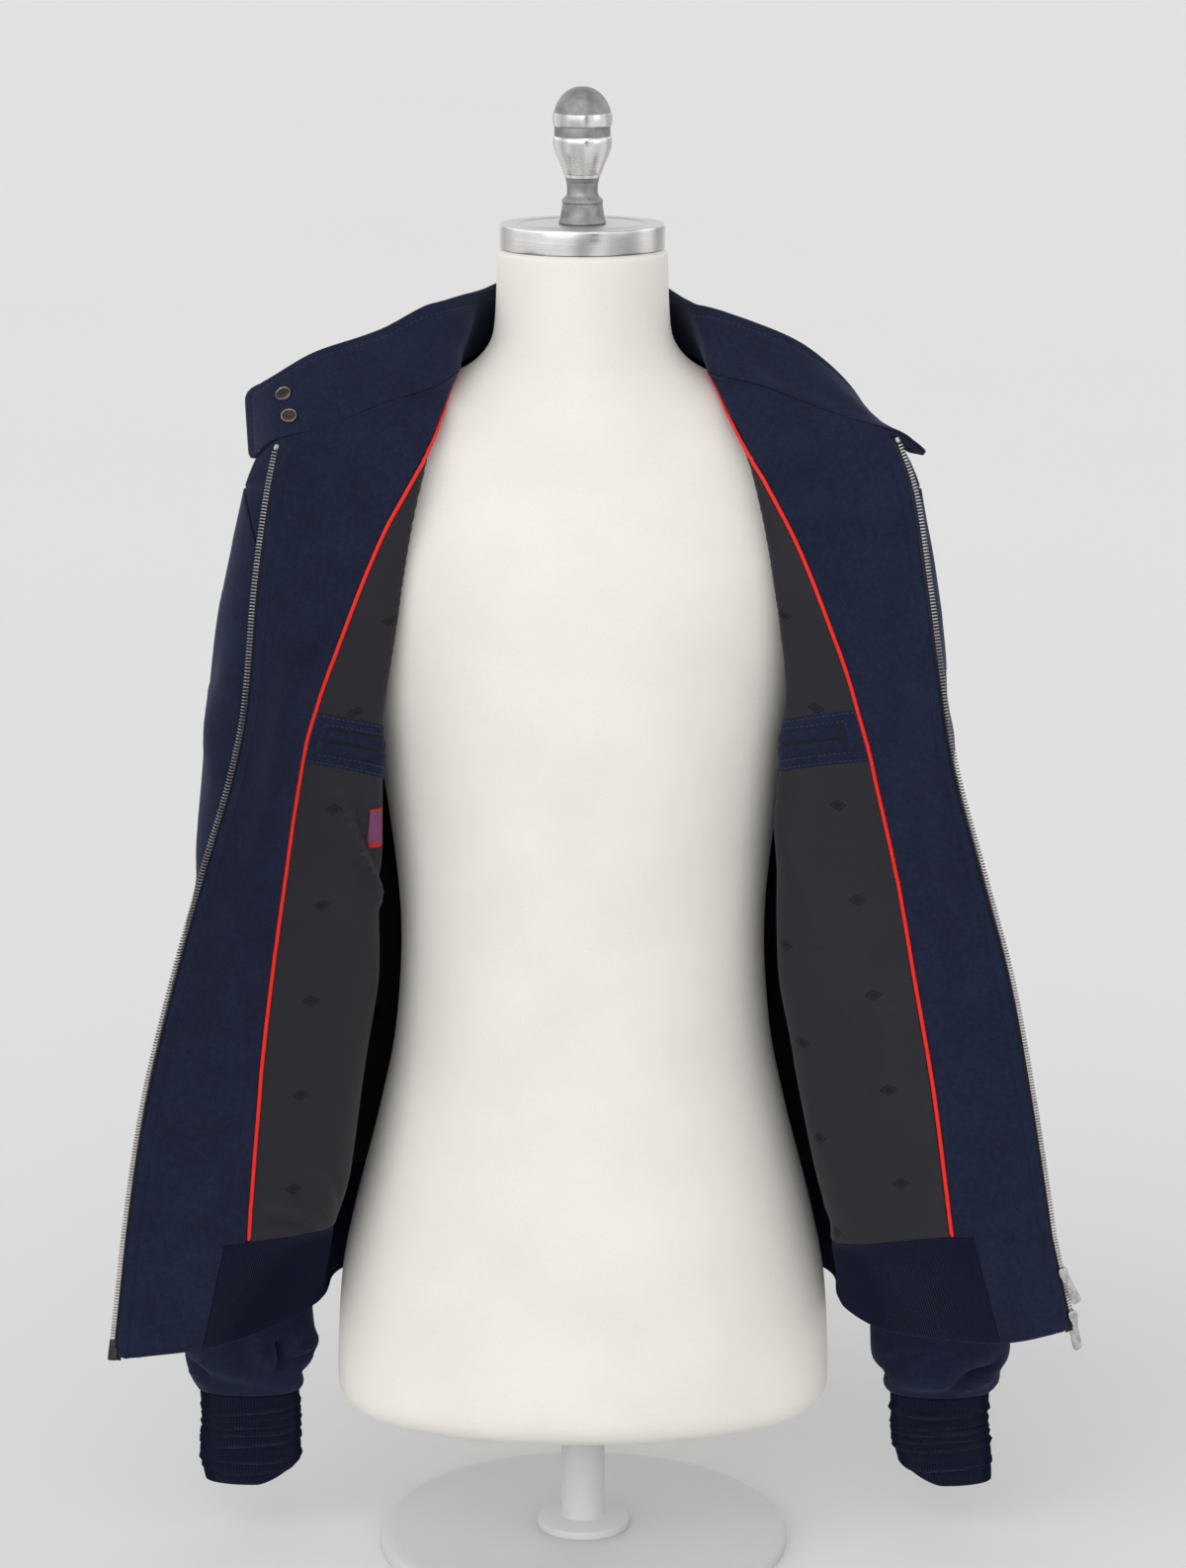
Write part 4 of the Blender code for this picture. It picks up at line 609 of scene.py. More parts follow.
def collar_panel():
    """The collar from the right tab's end round the neck to the left tab's end, top edge first."""
    station = np.linspace(-TAB_END, TAB_END, 241)
    rises = np.linspace(1, 0, 22)
    rows = []
    for rise in rises:
        right = collar_point(RIGHT, -station, rise)
        left = collar_point(LEFT, station, rise)
        rows.append(np.where(station[:, None] < 0, right, left))
    points = relaxed(np.array(rows), 3)
    normals = grid_normals(points)
    run = row_lengths(points)
    height = np.linalg.norm(points - points[-1], axis=2)
    strength = bpy.context.scene.coat_cloth.fold_strength
    lift = fold_lift(run / run[:, -1:], height, COLLAR_FOLDS, 660) * strength
    lift += unevenness(points, 0.4 * strength, 36)
    lift *= smooth(height / 12) * smooth(run / 30) * smooth((run[:, -1:] - run) / 30)
    points = points + normals * lift[..., None]
    return Panel(points, grid_normals(points), rises, station)


def ring(row, turns, sign):
    """Level ring of a sleeve: it starts outside, then goes forward, inside and behind."""
    return np.stack(
        [
            sign * (row.out + row.half_width * np.cos(turns)),
            row.y - row.half_depth * np.sin(turns),
            np.full(len(turns), float(row.z)),
        ],
        axis=1,
    )


def sleeve_panel(side):
    turns = np.linspace(0, 2 * math.pi, 108, endpoint=False)
    head = []
    for turn in turns:
        branch = -1 if turn <= math.pi else 1
        point = armhole_point(side, turn if turn <= math.pi else 2 * math.pi - turn, branch)
        point[0] += side.sign * (0.7 + 4.4 * max(0.0, -math.cos(turn)))
        head.append(point)
    head = np.array(head)
    first = ring(side.sleeve[0], turns, side.sign)
    rings = []
    for k in range(HEAD_RINGS):
        down = k / HEAD_RINGS
        swell = HEAD_SWELL * math.sin(math.pi * down) * smooth((head[:, 2] - 640) / 80)
        rings.append(lerp(head, first, down) + np.outer(swell, [side.sign, 0, 0]))
    rings += [ring(row, turns, side.sign) for row in side.sleeve]
    rings = np.array(rings)
    places = np.linspace(0, len(rings) - 1, 241)
    points = along(range(len(rings)), rings.reshape(len(rings), -1), places)
    points = relaxed(points.reshape(len(places), len(turns), 3), 5, closed=True)
    points, normals = folded(points, side.sign, SLEEVE_FOLDS[side.name], 300, turn=1.0)
    return Panel(points, normals, places, turns)


PANELS = {}
SEWN = {  # the panels that each one is sewn to
    "collar": ("front_right", "front_left", "back"),
    "back": ("front_right", "front_left", "collar", "sleeve_right", "sleeve_left"),
    "front_right": ("back", "collar", "sleeve_right"), "front_left": ("back", "collar", "sleeve_left"),
    "sleeve_right": ("front_right", "back"), "sleeve_left": ("front_left", "back")
}


def sewn_borders(name, panel):
    """Points and normals along the borders of a panel that are sewn to others."""
    everything = slice(None)
    borders = {
        "front": [(everything, 0), (0, everything), (panel.rows <= SHOULDER_END, -1)],
        "back": [(everything, 0), (everything, -1), (0, everything)],
        "collar": [(-1, everything)], "sleeve": [(0, everything)],
    }[name.split("_")[0]]
    both = (panel.points, panel.normals)
    return [np.concatenate([values[border] for border in borders]) for values in both]


def panels():
    """All the coat's panels, made once, with their normals joined along the seams."""
    if not PANELS:
        PANELS.update({f"front_{side.name}": front_panel(side) for side in SIDES})
        PANELS.update(back=back_panel(), collar=collar_panel())
        PANELS.update({f"sleeve_{side.name}": sleeve_panel(side) for side in SIDES})
        borders = {name: sewn_borders(name, panel) for name, panel in PANELS.items()}
        for name, others in SEWN.items():
            for other in others:
                meet(PANELS[name], *borders[other])
    return PANELS


# ---- stretches of a panel ----
# A Cut is a grid of points with normals, the panel's row and column numbers and flat lengths.
Cut = namedtuple("Cut", "points normals rows columns u v")


def spread(lengths, start, end, step, first, last):
    """Places along lines of these lengths: fixed ones near the two ends and even ones between."""
    start, end = np.asarray(start, float), np.asarray(end, float)
    room = lengths - first - last
    fit = np.minimum(1, 0.8 * room / (start[-1] + end[-1] + 1e-9))
    opening = np.asarray(first)[:, None] + np.outer(fit, start)
    closing = (lengths - last)[:, None] - np.outer(fit, end)[:, ::-1]
    count = max(1, math.ceil((room.max() - start[-1] - end[-1]) / step))
    shares = np.linspace(0, 1, count + 1)
    middle = opening[:, -1:] + (closing[:, :1] - opening[:, -1:]) * shares
    return np.concatenate([opening[:, :-1], middle, closing[:, 1:]], axis=1)


def resampled(lines, breaks, start, end, step, first=0.0, last=0.0):
    """Lines of points resampled along their length, with lines kept at each break."""
    run = row_lengths(lines)
    first, last = (np.broadcast_to(np.asarray(x, float), len(lines)) for x in (first, last))
    none = np.zeros(len(lines))
    parts = []
    for k, (a, b) in enumerate(zip(breaks[:-1], breaks[1:])):
        is_first, is_last = k == 0, k == len(breaks) - 2
        part = run[:, [a]] + spread(
            run[:, b] - run[:, a],
            start if is_first else RIM,
            end if is_last else RIM,
            step,
            first if is_first else none,
            last if is_last else none,
        )
        parts.append(part if is_first else part[:, 1:])
    at = np.concatenate(parts, axis=1)
    made = np.empty((len(lines), at.shape[1], lines.shape[2]))
    for i, line in enumerate(lines):
        for k in range(lines.shape[2]):
            made[i, :, k] = np.interp(at[i], run[i], line[:, k])
    return made


def nearest(numbers, wanted):
    return int(np.abs(numbers - wanted).argmin())


def cut(panel, rows, columns, step, near=RIM, far=RIM, top=RIM, inset=(0, 0, 0, 0), ribbed=None):
    """The stretch of a panel between some of its rows and columns, inset from its four borders.

    near, far and top are the distances of the grid lines close to those borders, and inset how far
    each border is drawn in: first column, last column, top row, bottom row. With a step for its
    rows, ribbed, all rows share one set of flat places.
    """
    r = [nearest(panel.rows, row) for row in rows]
    c = [nearest(panel.columns, column) for column in columns]
    grid = stacked(panel)[r[0] : r[-1] + 1, c[0] : c[-1] + 1]
    first, last = (x(grid[:, 0, 6]) if callable(x) else x for x in inset[:2])
    grid = resampled(grid, [k - c[0] for k in c], near, far, step, first, last)
    return down_rows(grid, [k - r[0] for k in r], top, ribbed or step, inset[2:], ribbed is not None)


def stacked(panel):
    """A panel's points, normals, row numbers and column numbers in one array."""
    numbers = np.meshgrid(panel.rows, panel.columns, indexing="ij")
    return np.concatenate([panel.points, panel.normals, np.stack(numbers, axis=-1)], axis=2)


def down_rows(grid, breaks, top, step, inset, ribbed=False):
    """The Cut of a grid resampled down its columns."""
    made = resampled(np.swapaxes(grid, 0, 1), breaks, top, RIM, step, *inset)
    return laid(np.swapaxes(made, 0, 1), ribbed)


def laid(grid, ribbed=False):
    """A Cut from a grid of points, normals, row and column numbers."""
    points, normals = grid[..., :3], unit(grid[..., 3:6])
    u = row_lengths(points)
    v = mean_drops(points)[:, None] + np.zeros_like(u)
    u = np.broadcast_to(u.mean(axis=0), u.shape) if ribbed else u - u[:, -1:]
    return Cut(points, normals, grid[..., 6], grid[..., 7], u * MM, v * MM)


# ---- cloth shells ----
SHEETS = {}  # what each cloth piece is declared with, by its name


def turned_edge(piece, radius, closed=False, kept=None):
    """1 inside a piece, falling in a quarter circle to almost 0 along its edges."""
    rows, columns = piece.points.shape[:2]
    if kept is None:
        kept = np.ones((rows - 1, columns if closed else columns - 1), bool)
    cells = np.zeros((rows + 1, columns + 1), bool)
    cells[1:rows, 1 : kept.shape[1] + 1] = kept
    if closed:
        cells[:, 0] = cells[:, columns]
    around = np.stack([cells[:-1, :-1], cells[:-1, 1:], cells[1:, :-1], cells[1:, 1:]])
    border = around.any(axis=0) & ~around.all(axis=0)
    tree = finder(piece.points[border])
    gap = np.array([tree.find(p)[2] for p in piece.points.reshape(-1, 3)]).reshape(rows, columns)
    inward = 1 - np.clip(gap / radius, 0, 1)
    return np.maximum(np.sqrt(np.clip(1 - inward**2, 0, 1)), 0.1)


def linked(name, data):
    """New object in the scene."""
    obj = bpy.data.objects.new(name, data)
    bpy.context.scene.collection.objects.link(obj)
    return obj


def shaded(name, mesh, smooth_angle=35):
    """New object with smooth faces and sharp edges over an angle."""
    mesh.shade_smooth()
    mesh.set_sharp_from_angle(angle=math.radians(smooth_angle))
    return linked(name, mesh)


def add_mesh(name, points, faces, material, uv=None, smooth_angle=40):
    mesh = bpy.data.meshes.new(name)
    mesh.from_pydata((np.asarray(points, float) * MM).tolist(), [], faces)
    if uv is not None:
        layer = mesh.uv_layers.new(name="cloth")
        layer.data.foreach_set("uv", np.asarray(uv, np.float32).ravel())
    mesh.materials.append(material)
    return shaded(name, mesh, smooth_angle)


def shell(name, piece, inner, outer, material, closed=False, kept=None):
    """Closed cloth wall between two offsets along a stretch's normals."""
    rows, columns = piece.points.shape[:2]
    across = columns if closed else columns - 1
    if kept is None:
        kept = np.ones((rows - 1, across), bool)
    inner, outer = (np.broadcast_to(x, (rows, columns))[..., None] for x in (inner, outer))
    walls = [piece.points + piece.normals * offset for offset in (inner, outer)]
    a, b = piece.points[0, 1] - piece.points[0, 0], piece.points[1, 0] - piece.points[0, 0]
    ahead = float(np.cross(a, b) @ piece.normals[0, 0]) > 0
    u, v = piece.u, piece.v
    if closed:
        u = np.hstack([u, u[:, -1:] + (u[:, 1:2] - u[:, :1])])
        v = np.hstack([v, v[:, -1:]])

    def corner(r, c, top):
        return np.stack([r * columns + c % columns + rows * columns * top, u[r, c], -v[r, c]], axis=-1)

    def quads(places):
        """Faces through four (rows, columns, layers) places each, wound to face outward."""
        order = places if ahead else places[::-1]
        return np.stack([corner(*place) for place in order], axis=1)

    r, c = np.nonzero(kept)
    one, none = np.ones(len(r), int), np.zeros(len(r), int)
    made = [
        quads([(r, c, one), (r, c + 1, one), (r + 1, c + 1, one), (r + 1, c, one)]),
        quads([(r + 1, c, none), (r + 1, c + 1, none), (r, c + 1, none), (r, c, none)])
    ]
    padded = np.zeros((rows + 1, across + 2), bool)
    padded[1:rows, 1 : across + 1] = kept
    if closed:
        padded[:, 0], padded[:, -1] = padded[:, -2], padded[:, 1]
    sides = (
        (~padded[r, c + 1], (0, 0), (0, 1)), (~padded[r + 2, c + 1], (1, 1), (1, 0)),
        (~padded[r + 1, c], (1, 0), (0, 0)), (~padded[r + 1, c + 2], (0, 1), (1, 1))
    )
    for edge, start, end in sides:
        if edge.any():
            s = (r[edge] + start[0], c[edge] + start[1])
            e = (r[edge] + end[0], c[edge] + end[1])
            up, low = one[edge], none[edge]
            made.append(quads([(*e, up), (*s, up), (*s, low), (*e, low)]))
    made = np.concatenate(made)
    used, faces = np.unique(made[..., 0].astype(int), return_inverse=True)
    points = np.concatenate([wall.reshape(-1, 3) for wall in walls])[used]
    return add_mesh(name, points, faces.reshape(-1, 4).tolist(), material, made[..., 1:])


def ring_closed(piece, closed):
    return np.hstack([piece.points, piece.points[:, :1]]) if closed else piece.points


def cell_area(piece, kept=None, closed=False):
    """Area of the stretch in square metres."""
    p = ring_closed(piece, closed)
    one = np.linalg.norm(np.cross(p[:-1, 1:] - p[:-1, :-1], p[1:, :-1] - p[:-1, :-1]), axis=2)
    two = np.linalg.norm(np.cross(p[1:, 1:] - p[:-1, 1:], p[1:, 1:] - p[1:, :-1]), axis=2)
    area = (one + two) / 2
    return float(area.sum() if kept is None else area[kept].sum()) * MM * MM


def flat_size(piece, closed=False):
    """Width and length of the stretch laid flat, in metres."""
    p = ring_closed(piece, closed)
    width = np.linalg.norm(np.diff(p, axis=1), axis=2).sum(axis=1).max()
    length = np.linalg.norm(np.diff(p, axis=0), axis=2).sum(axis=0).max()
    return float(width) * MM, float(length) * MM


def finish_cloth(obj, node, piece, held="hung", rests_on="form_torso_cover", closed=False, kept=None):
    """Cloth piece rides on the coat, stands for its solid and is declared as a sheet."""
    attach(obj, COAT)
    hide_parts(node)
    flat = flat_size(piece, closed)
    area = min(cell_area(piece, kept, closed), flat[0] * flat[1])
    SHEETS[obj.name] = {"flat": flat, "held": held, "rests_on": [rests_on], "area": area, "with_pieces": []}


def ride(obj, node=None, body=COAT, sheet=None):
    """Piece that isn't a sheet: what it rides on, what it stands for and the sheet it is listed with."""
    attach(obj, body)
    if node:
        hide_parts(node)
    if sheet:
        SHEETS[sheet]["with_pieces"].append(obj.name)


# ---- sewing thread ----
def line_lengths(points):
    return np.concatenate([[0], np.cumsum(np.linalg.norm(np.diff(points, axis=0), axis=1))])


def at_lengths(points, places):
    run = line_lengths(points)
    return np.stack([np.interp(places, run, points[:, k]) for k in range(points.shape[1])], axis=1)


def ring_faces(levels, count, base=0):
    """Faces between closed rings of vertices that follow one another from a base number on."""
    sides = [(k, (k + 1) % count) for k in range(count)]
    starts = range(base, base + (levels - 1) * count, count)
    return [[s + a, s + b, s + b + count, s + a + count] for s in starts for a, b in sides]


STITCH_RADIUS, STITCH_SIDES = 0.24, 6
StitchRow = namedtuple("StitchRow", "share swell lift")
STITCH = table(StitchRow, (-0.32, 0.8, -0.1), (0.0, 1.0, 0.55), (0.32, 0.8, -0.1))
STITCH_END, STITCH_DIVE = 0.5, -1.2  # where a stitch goes into the cloth, and how deep


def stitches(name, lines, material, sheet):
    """Rows of sewn stitches joined in one piece: each line is (points, outward normals)."""
    cloth = bpy.context.scene.coat_cloth
    length, pitch = cloth.stitch_length / MM, cloth.stitch_pitch / MM
    sides, radius = STITCH_SIDES, STITCH_RADIUS
    turns = [2 * math.pi * k / sides for k in range(sides)]
    vertices, faces = [], []
    for points, normals in lines:
        starts = np.arange(pitch / 2, line_lengths(points)[-1] - pitch / 2, pitch)
        if not len(starts):
            continue
        middle = at_lengths(points, starts)
        way = unit(at_lengths(points, starts + 0.5) - at_lengths(points, starts - 0.5))
        up = unit(at_lengths(np.hstack([points, normals]), starts)[:, 3:6])
        side = unit(np.cross(way, up))
        for place, forward, upward, sideways in zip(middle, way, up, side):
            base = len(vertices)
            spokes = [sideways * math.cos(turn) + upward * math.sin(turn) for turn in turns]
            for row in STITCH:
                centre = place + forward * row.share * length + upward * row.lift * radius
                vertices += [centre + spoke * radius * row.swell for spoke in spokes]
            for end in (-STITCH_END, STITCH_END):
                vertices.append(place + forward * end * length + upward * STITCH_DIVE * radius)
            faces += ring_faces(len(STITCH), sides, base)
            for k in range(sides):
                after, tip = (k + 1) % sides, base + 3 * sides
                faces.append([tip, base + after, base + k])
                faces.append([tip + 1, base + 2 * sides + k, base + 2 * sides + after])
    ride(outward_faces(add_mesh(name, vertices, faces, material)), sheet=sheet)


def outward_faces(obj):
    work = bmesh.new()
    work.from_mesh(obj.data)
    bmesh.ops.recalc_face_normals(work, faces=work.faces)
    work.to_mesh(obj.data)
    work.free()
    return obj


# ---- the coat's cloth pieces ----
ZIP_LINES = (*RIM, 4.2, 6.6, 7.2, 7.6, 8.0, 8.6)  # grid lines by the zip: the last ones hold the stitching
STITCH_IN = 7.6  # from the wool's edge to the row of stitches by the zip
STITCH_SINK = 0.42
VISIBLE_STEP, BACK_STEP, HIDDEN_STEP = 5.0, 6.0, 8.5
LINING_STEP, SLEEVE_STEP, CUFF_STEP, BAND_STEP = 3.5, 4.0, 1.6, 11.0
FREE = 0.0  # an edge that isn't sewn to anything


def zip_inset(rows):
    """How far a front's edge is drawn in: sewn to the collar at the top, then beside the zip."""
    return lerp(SEAM, EDGE_INSET, smooth((rows - 3.85) / 0.25))


def sunk(piece, distance, depth=STITCH_SINK, width=0.75, rows=None):
    """Groove that a row of stitches pulls in, at a distance from the last column."""
    groove = depth * np.exp(-(((-piece.u / MM - distance) / width) ** 2))
    return groove if rows is None else groove * smooth((piece.rows - rows) / 0.2)


def line_at(piece, distance, offset, start_row=None):
    """Line on a piece at a distance from its last column, moved along the normals."""
    line = []
    for points, normals, u, rows in zip(piece.points, piece.normals, piece.u, piece.rows):
        if start_row is not None and rows[-1] < start_row:
            continue
        values = np.hstack([points, normals])
        line.append([np.interp(-distance * MM, u, values[:, k]) for k in range(6)])
    line = np.array(line)
    normals = unit(line[:, 3:]) * np.sign(offset)
    return line[:, :3] + normals * abs(offset), normals


def pressed(piece, rim, top=False, bottom=False):
    """An edge's thickness kept up where it is sewn and pressed flat to its neighbour."""
    near = piece.v if top else piece.v[-1:] - piece.v
    return np.maximum(rim, 0.85 * smooth((2.4 - near / MM) / 0.8))


def make_front(side, material, thread):
    panel = panels()[f"front_{side.name}"]
    inset = (SEAM, zip_inset, NECK_GAP, SEAM)
    piece = cut(panel, (0, 4, BAND_START), (0, EDGE), VISIBLE_STEP, far=ZIP_LINES, inset=inset)
    name = f"front_{side.name}_cloth"
    rim = pressed(piece, turned_edge(piece, 1.6), top=True)
    outer = LAYER + WOOL * rim - sunk(piece, STITCH_IN, rows=4.1)
    obj = shell(name, piece, LAYER, outer, material)
    finish_cloth(obj, f"front_{side.name}", piece)
    line = line_at(piece, STITCH_IN, LAYER + WOOL - STITCH_SINK, start_row=4.15)
    stitches(f"front_{side.name}_stitching", [line], thread, name)


def make_hem_tab(side, material, thread):
    panel = panels()[f"front_{side.name}"]
    inset = (SEAM, EDGE_INSET, SEAM, FREE)
    piece = cut(panel, (BAND_START, HEM), (TAB_START, EDGE), VISIBLE_STEP, far=ZIP_LINES, inset=inset)
    piece = rounded_corner(piece)
    name = f"hem_tab_{side.name}_cloth"
    rim = turned_edge(piece, 1.6)
    outer = LAYER + WOOL * rim - sunk(piece, STITCH_IN)
    obj = shell(name, piece, LAYER, outer, material)
    finish_cloth(obj, f"hem_tab_{side.name}", piece)
    line = line_at(piece, STITCH_IN, LAYER + WOOL - STITCH_SINK)
    stitches(f"hem_tab_{side.name}_stitching", [line], thread, name)


def rounded_corner(piece, radius=8.0):
    """The stretch with its lowest rows drawn in towards a rounded corner by the zip."""
    points = piece.points.copy()
    below = (piece.v[-1, 0] - piece.v[:, 0]) / MM
    for i, drop in enumerate(below):
        if drop >= radius:
            continue
        inset = radius - math.sqrt(max(0.0, radius**2 - (radius - drop) ** 2))
        run = line_lengths(points[i])
        places = run * (1 - inset / run[-1] * smooth((run - run[-1] + 30) / 30))
        points[i] = at_lengths(points[i], places)
    return piece._replace(points=points)


def make_facing(side, material, thread):
    panel = panels()[f"front_{side.name}"]
    inset = (PIPING_RADIUS + 0.1, zip_inset, NECK_GAP, FREE)
    rows = (0, 4, BAND_START, HEM)
    piece = cut(panel, rows, (LINING_END, TAB_START, EDGE), VISIBLE_STEP, far=ZIP_LINES, inset=inset)
    piece = rounded_corner(piece)
    kept = (piece.rows[:-1, :-1] < BAND_START - 0.01) | (piece.columns[:-1, :-1] > TAB_START - 0.01)
    name = f"facing_{side.name}_cloth"
    rim = pressed(piece, turned_edge(piece, 1.6, kept=kept), top=True)
    depth = LAYER + FACING * rim - sunk(piece, STITCH_IN, rows=4.1)
    obj = shell(name, piece, -depth, -LAYER, material, kept=kept)
    finish_cloth(obj, f"facing_{side.name}", piece, kept=kept)
    line = line_at(piece, STITCH_IN, -(LAYER + FACING - STITCH_SINK), start_row=4.15)
    stitches(f"facing_{side.name}_stitching", [line], thread, name)


def make_lining(side, material):
    panel = panels()[f"front_{side.name}"]
    inset = (SEAM, PIPING_RADIUS + 0.1, SEAM, SEAM)
    piece = cut(panel, (0, BAND_START), (0, LINING_END), LINING_STEP, inset=inset)
    depth = LAYER + LINING * turned_edge(piece, 1.2)
    obj = shell(f"lining_{side.name}_cloth", piece, -depth, -LAYER, material)
    finish_cloth(obj, f"lining_{side.name}", piece)


def make_back(material, lining_material):
    panel = panels()["back"]
    inset = (SEAM, SEAM, SEAM, SEAM)
    piece = cut(panel, (0, BAND_START), (0, 1), BACK_STEP, inset=inset)
    obj = shell("back_cloth", piece, LAYER, LAYER + WOOL * turned_edge(piece, 1.6), material)
    finish_cloth(obj, "back", piece)
    piece = cut(panel, (0, BAND_START), (0, 1), HIDDEN_STEP, inset=inset)
    depth = LAYER + LINING * turned_edge(piece, 1.2)
    obj = shell("lining_back_cloth", piece, -depth, -LAYER, lining_material)
    finish_cloth(obj, "lining_back", piece)


def tube(name, line, radius, material, normals, depth, sides=12, ends=0.5):
    """Oval cord along a line, drawn in at both ends: its width across and its depth along the normals."""
    way = unit(np.gradient(line, axis=0))
    up = unit(normals - way * (normals * way).sum(axis=1)[:, None])
    side = np.cross(way, up)
    turns = np.linspace(0, 2 * math.pi, sides, endpoint=False)[None, :, None]
    thin = np.ones((len(line), 1, 1))
    thin[[0, -1]] = ends
    spokes = side[:, None] * radius * np.cos(turns) + up[:, None] * depth * np.sin(turns)
    girth = np.linspace(0, 2 * math.pi * radius, sides + 1)
    return loft(name, line[:, None] + thin * spokes, material, girth, line_lengths(line))


def make_piping(side, material):
    panel = panels()[f"front_{side.name}"]
    column, last = nearest(panel.columns, LINING_END), nearest(panel.rows, BAND_START)
    normals = panel.normals[: last + 1, column]
    line = np.hstack([panel.points[: last + 1, column] - normals * (LAYER + PIPING_DEPTH), normals])
    total = line_lengths(line[:, :3])[-1]
    line = at_lengths(line, np.arange(1.0, total - 0.4, 2.0))
    name = f"piping_{side.name}_cord"
    obj = tube(name, line[:, :3], PIPING_RADIUS, material, line[:, 3:], PIPING_DEPTH)
    ride(obj, f"piping_{side.name}")


# ---- collar ----
COLLAR_HEIGHT = 46
CORNER_RADIUS = 7.0
COLLAR_STITCH = 9.0


def tab_inset(rises):
    """How far a collar row is drawn in at the tabs' ends, for their rounded corners."""
    near = np.minimum(rises, 1 - rises) * COLLAR_HEIGHT
    short = np.clip(CORNER_RADIUS - near, 0, CORNER_RADIUS)
    return CORNER_RADIUS - np.sqrt(CORNER_RADIUS**2 - short**2)


def collar_line(piece, offset):
    """The row of stitches inside the collar's top edge and down both tab ends."""
    top = nearest(piece.v[:, 0], COLLAR_STITCH * MM)
    bottom = len(piece.points) - 2
    run = -piece.u / MM
    first = nearest(run[top, 0] - run[top], COLLAR_STITCH)
    last = nearest(run[top], COLLAR_STITCH)
    path = [(r, first) for r in range(bottom, top, -1)]
    path += [(top, c) for c in range(first, last)]
    path += [(r, last) for r in range(top, bottom)]
    rows, columns = np.array(path).T
    normals = piece.normals[rows, columns] * np.sign(offset)
    return piece.points[rows, columns] + normals * abs(offset), normals


def make_collar(material, thread):
    panel = panels()["collar"]
    lines = (*RIM, 4.4, 8.0, 8.6, 9.0, 9.4, 10.0)
    inset = (tab_inset, tab_inset, FREE, NECK_GAP)
    stations = (-TAB_END, TAB_END)
    piece = cut(panel, (1, 0), stations, 4.0, near=lines, far=lines, top=lines, inset=inset)
    rim = pressed(piece, turned_edge(piece, 1.6))
    down, run = piece.v / MM, -piece.u / MM
    ends = np.minimum(run, run[:, :1] - run)
    gap = np.where(ends < down, ends, down)
    sink = STITCH_SINK * np.exp(-(((gap - COLLAR_STITCH) / 0.6) ** 2))
    obj = shell("collar_outer_cloth", piece, LAYER, LAYER + WOOL * rim - sink, material)
    finish_cloth(obj, "collar_outer", piece)
    line = collar_line(piece, LAYER + WOOL - STITCH_SINK)
    stitches("collar_outer_stitching", [line], thread, "collar_outer_cloth")
    obj = shell("collar_inner_cloth", piece, -(LAYER + FACING * rim - sink), -LAYER, material)
    finish_cloth(obj, "collar_inner", piece)
    line = collar_line(piece, -(LAYER + FACING - STITCH_SINK))
    stitches("collar_inner_stitching", [line], thread, "collar_inner_cloth")


# ---- sleeves and cuffs ----
def make_sleeve(side, material):
    panel = panels()[f"sleeve_{side.name}"]
    piece = down_rows(stacked(panel), [0, len(panel.rows) - 1], RIM, SLEEVE_STEP, (0.0, 0.3))
    rim = turned_edge(piece, 1.6, closed=True)
    obj = shell(f"sleeve_{side.name}_cloth", piece, 0.0, WOOL * rim, material, closed=True)
    finish_cloth(obj, f"sleeve_{side.name}", piece, closed=True)


RidgeRow = namedtuple("RidgeRow", "z slant height width phase")
CUFF_RIDGES = {
    "right": table(RidgeRow,
        (101, 2.4, 1.5, 1.3, 4.2), (88.5, 1.6, 1.7, 1.2, 4.6), (82, 2.2, 1.5, 1.1, 5.0),
        (75, 1.8, 1.6, 1.2, 4.4), (61, 1.2, 1.3, 1.3, 5.6), (94.5, -1.6, 0.7, 1.2, 1.4),
        (54, 1.0, 0.8, 1.2, 3.9),
    ),
    "left": table(RidgeRow,
        (98, 1.2, 1.5, 1.3, 2.6), (88, -1.8, 1.4, 1.1, 5.0), (82.5, -1.4, 1.7, 1.2, 4.8),
        (76.5, 1.8, 1.3, 1.1, 1.4), (71, 1.6, 1.6, 1.2, 1.9), (56.5, -1.2, 1.4, 1.3, 5.3),
    ),
}
RIB_HEIGHT = 0.42
CUFF_RIBS = 98
CUFF_SLANT = 15.0  # how much higher the open end is on its inner side
TUCK = 2.9  # the bands run on this far behind the seam above them


def ribs(count):
    """Height of each line across ribbed cloth: four lines to a rib."""
    return RIB_HEIGHT * np.cos(np.arange(count) * math.pi / 2)


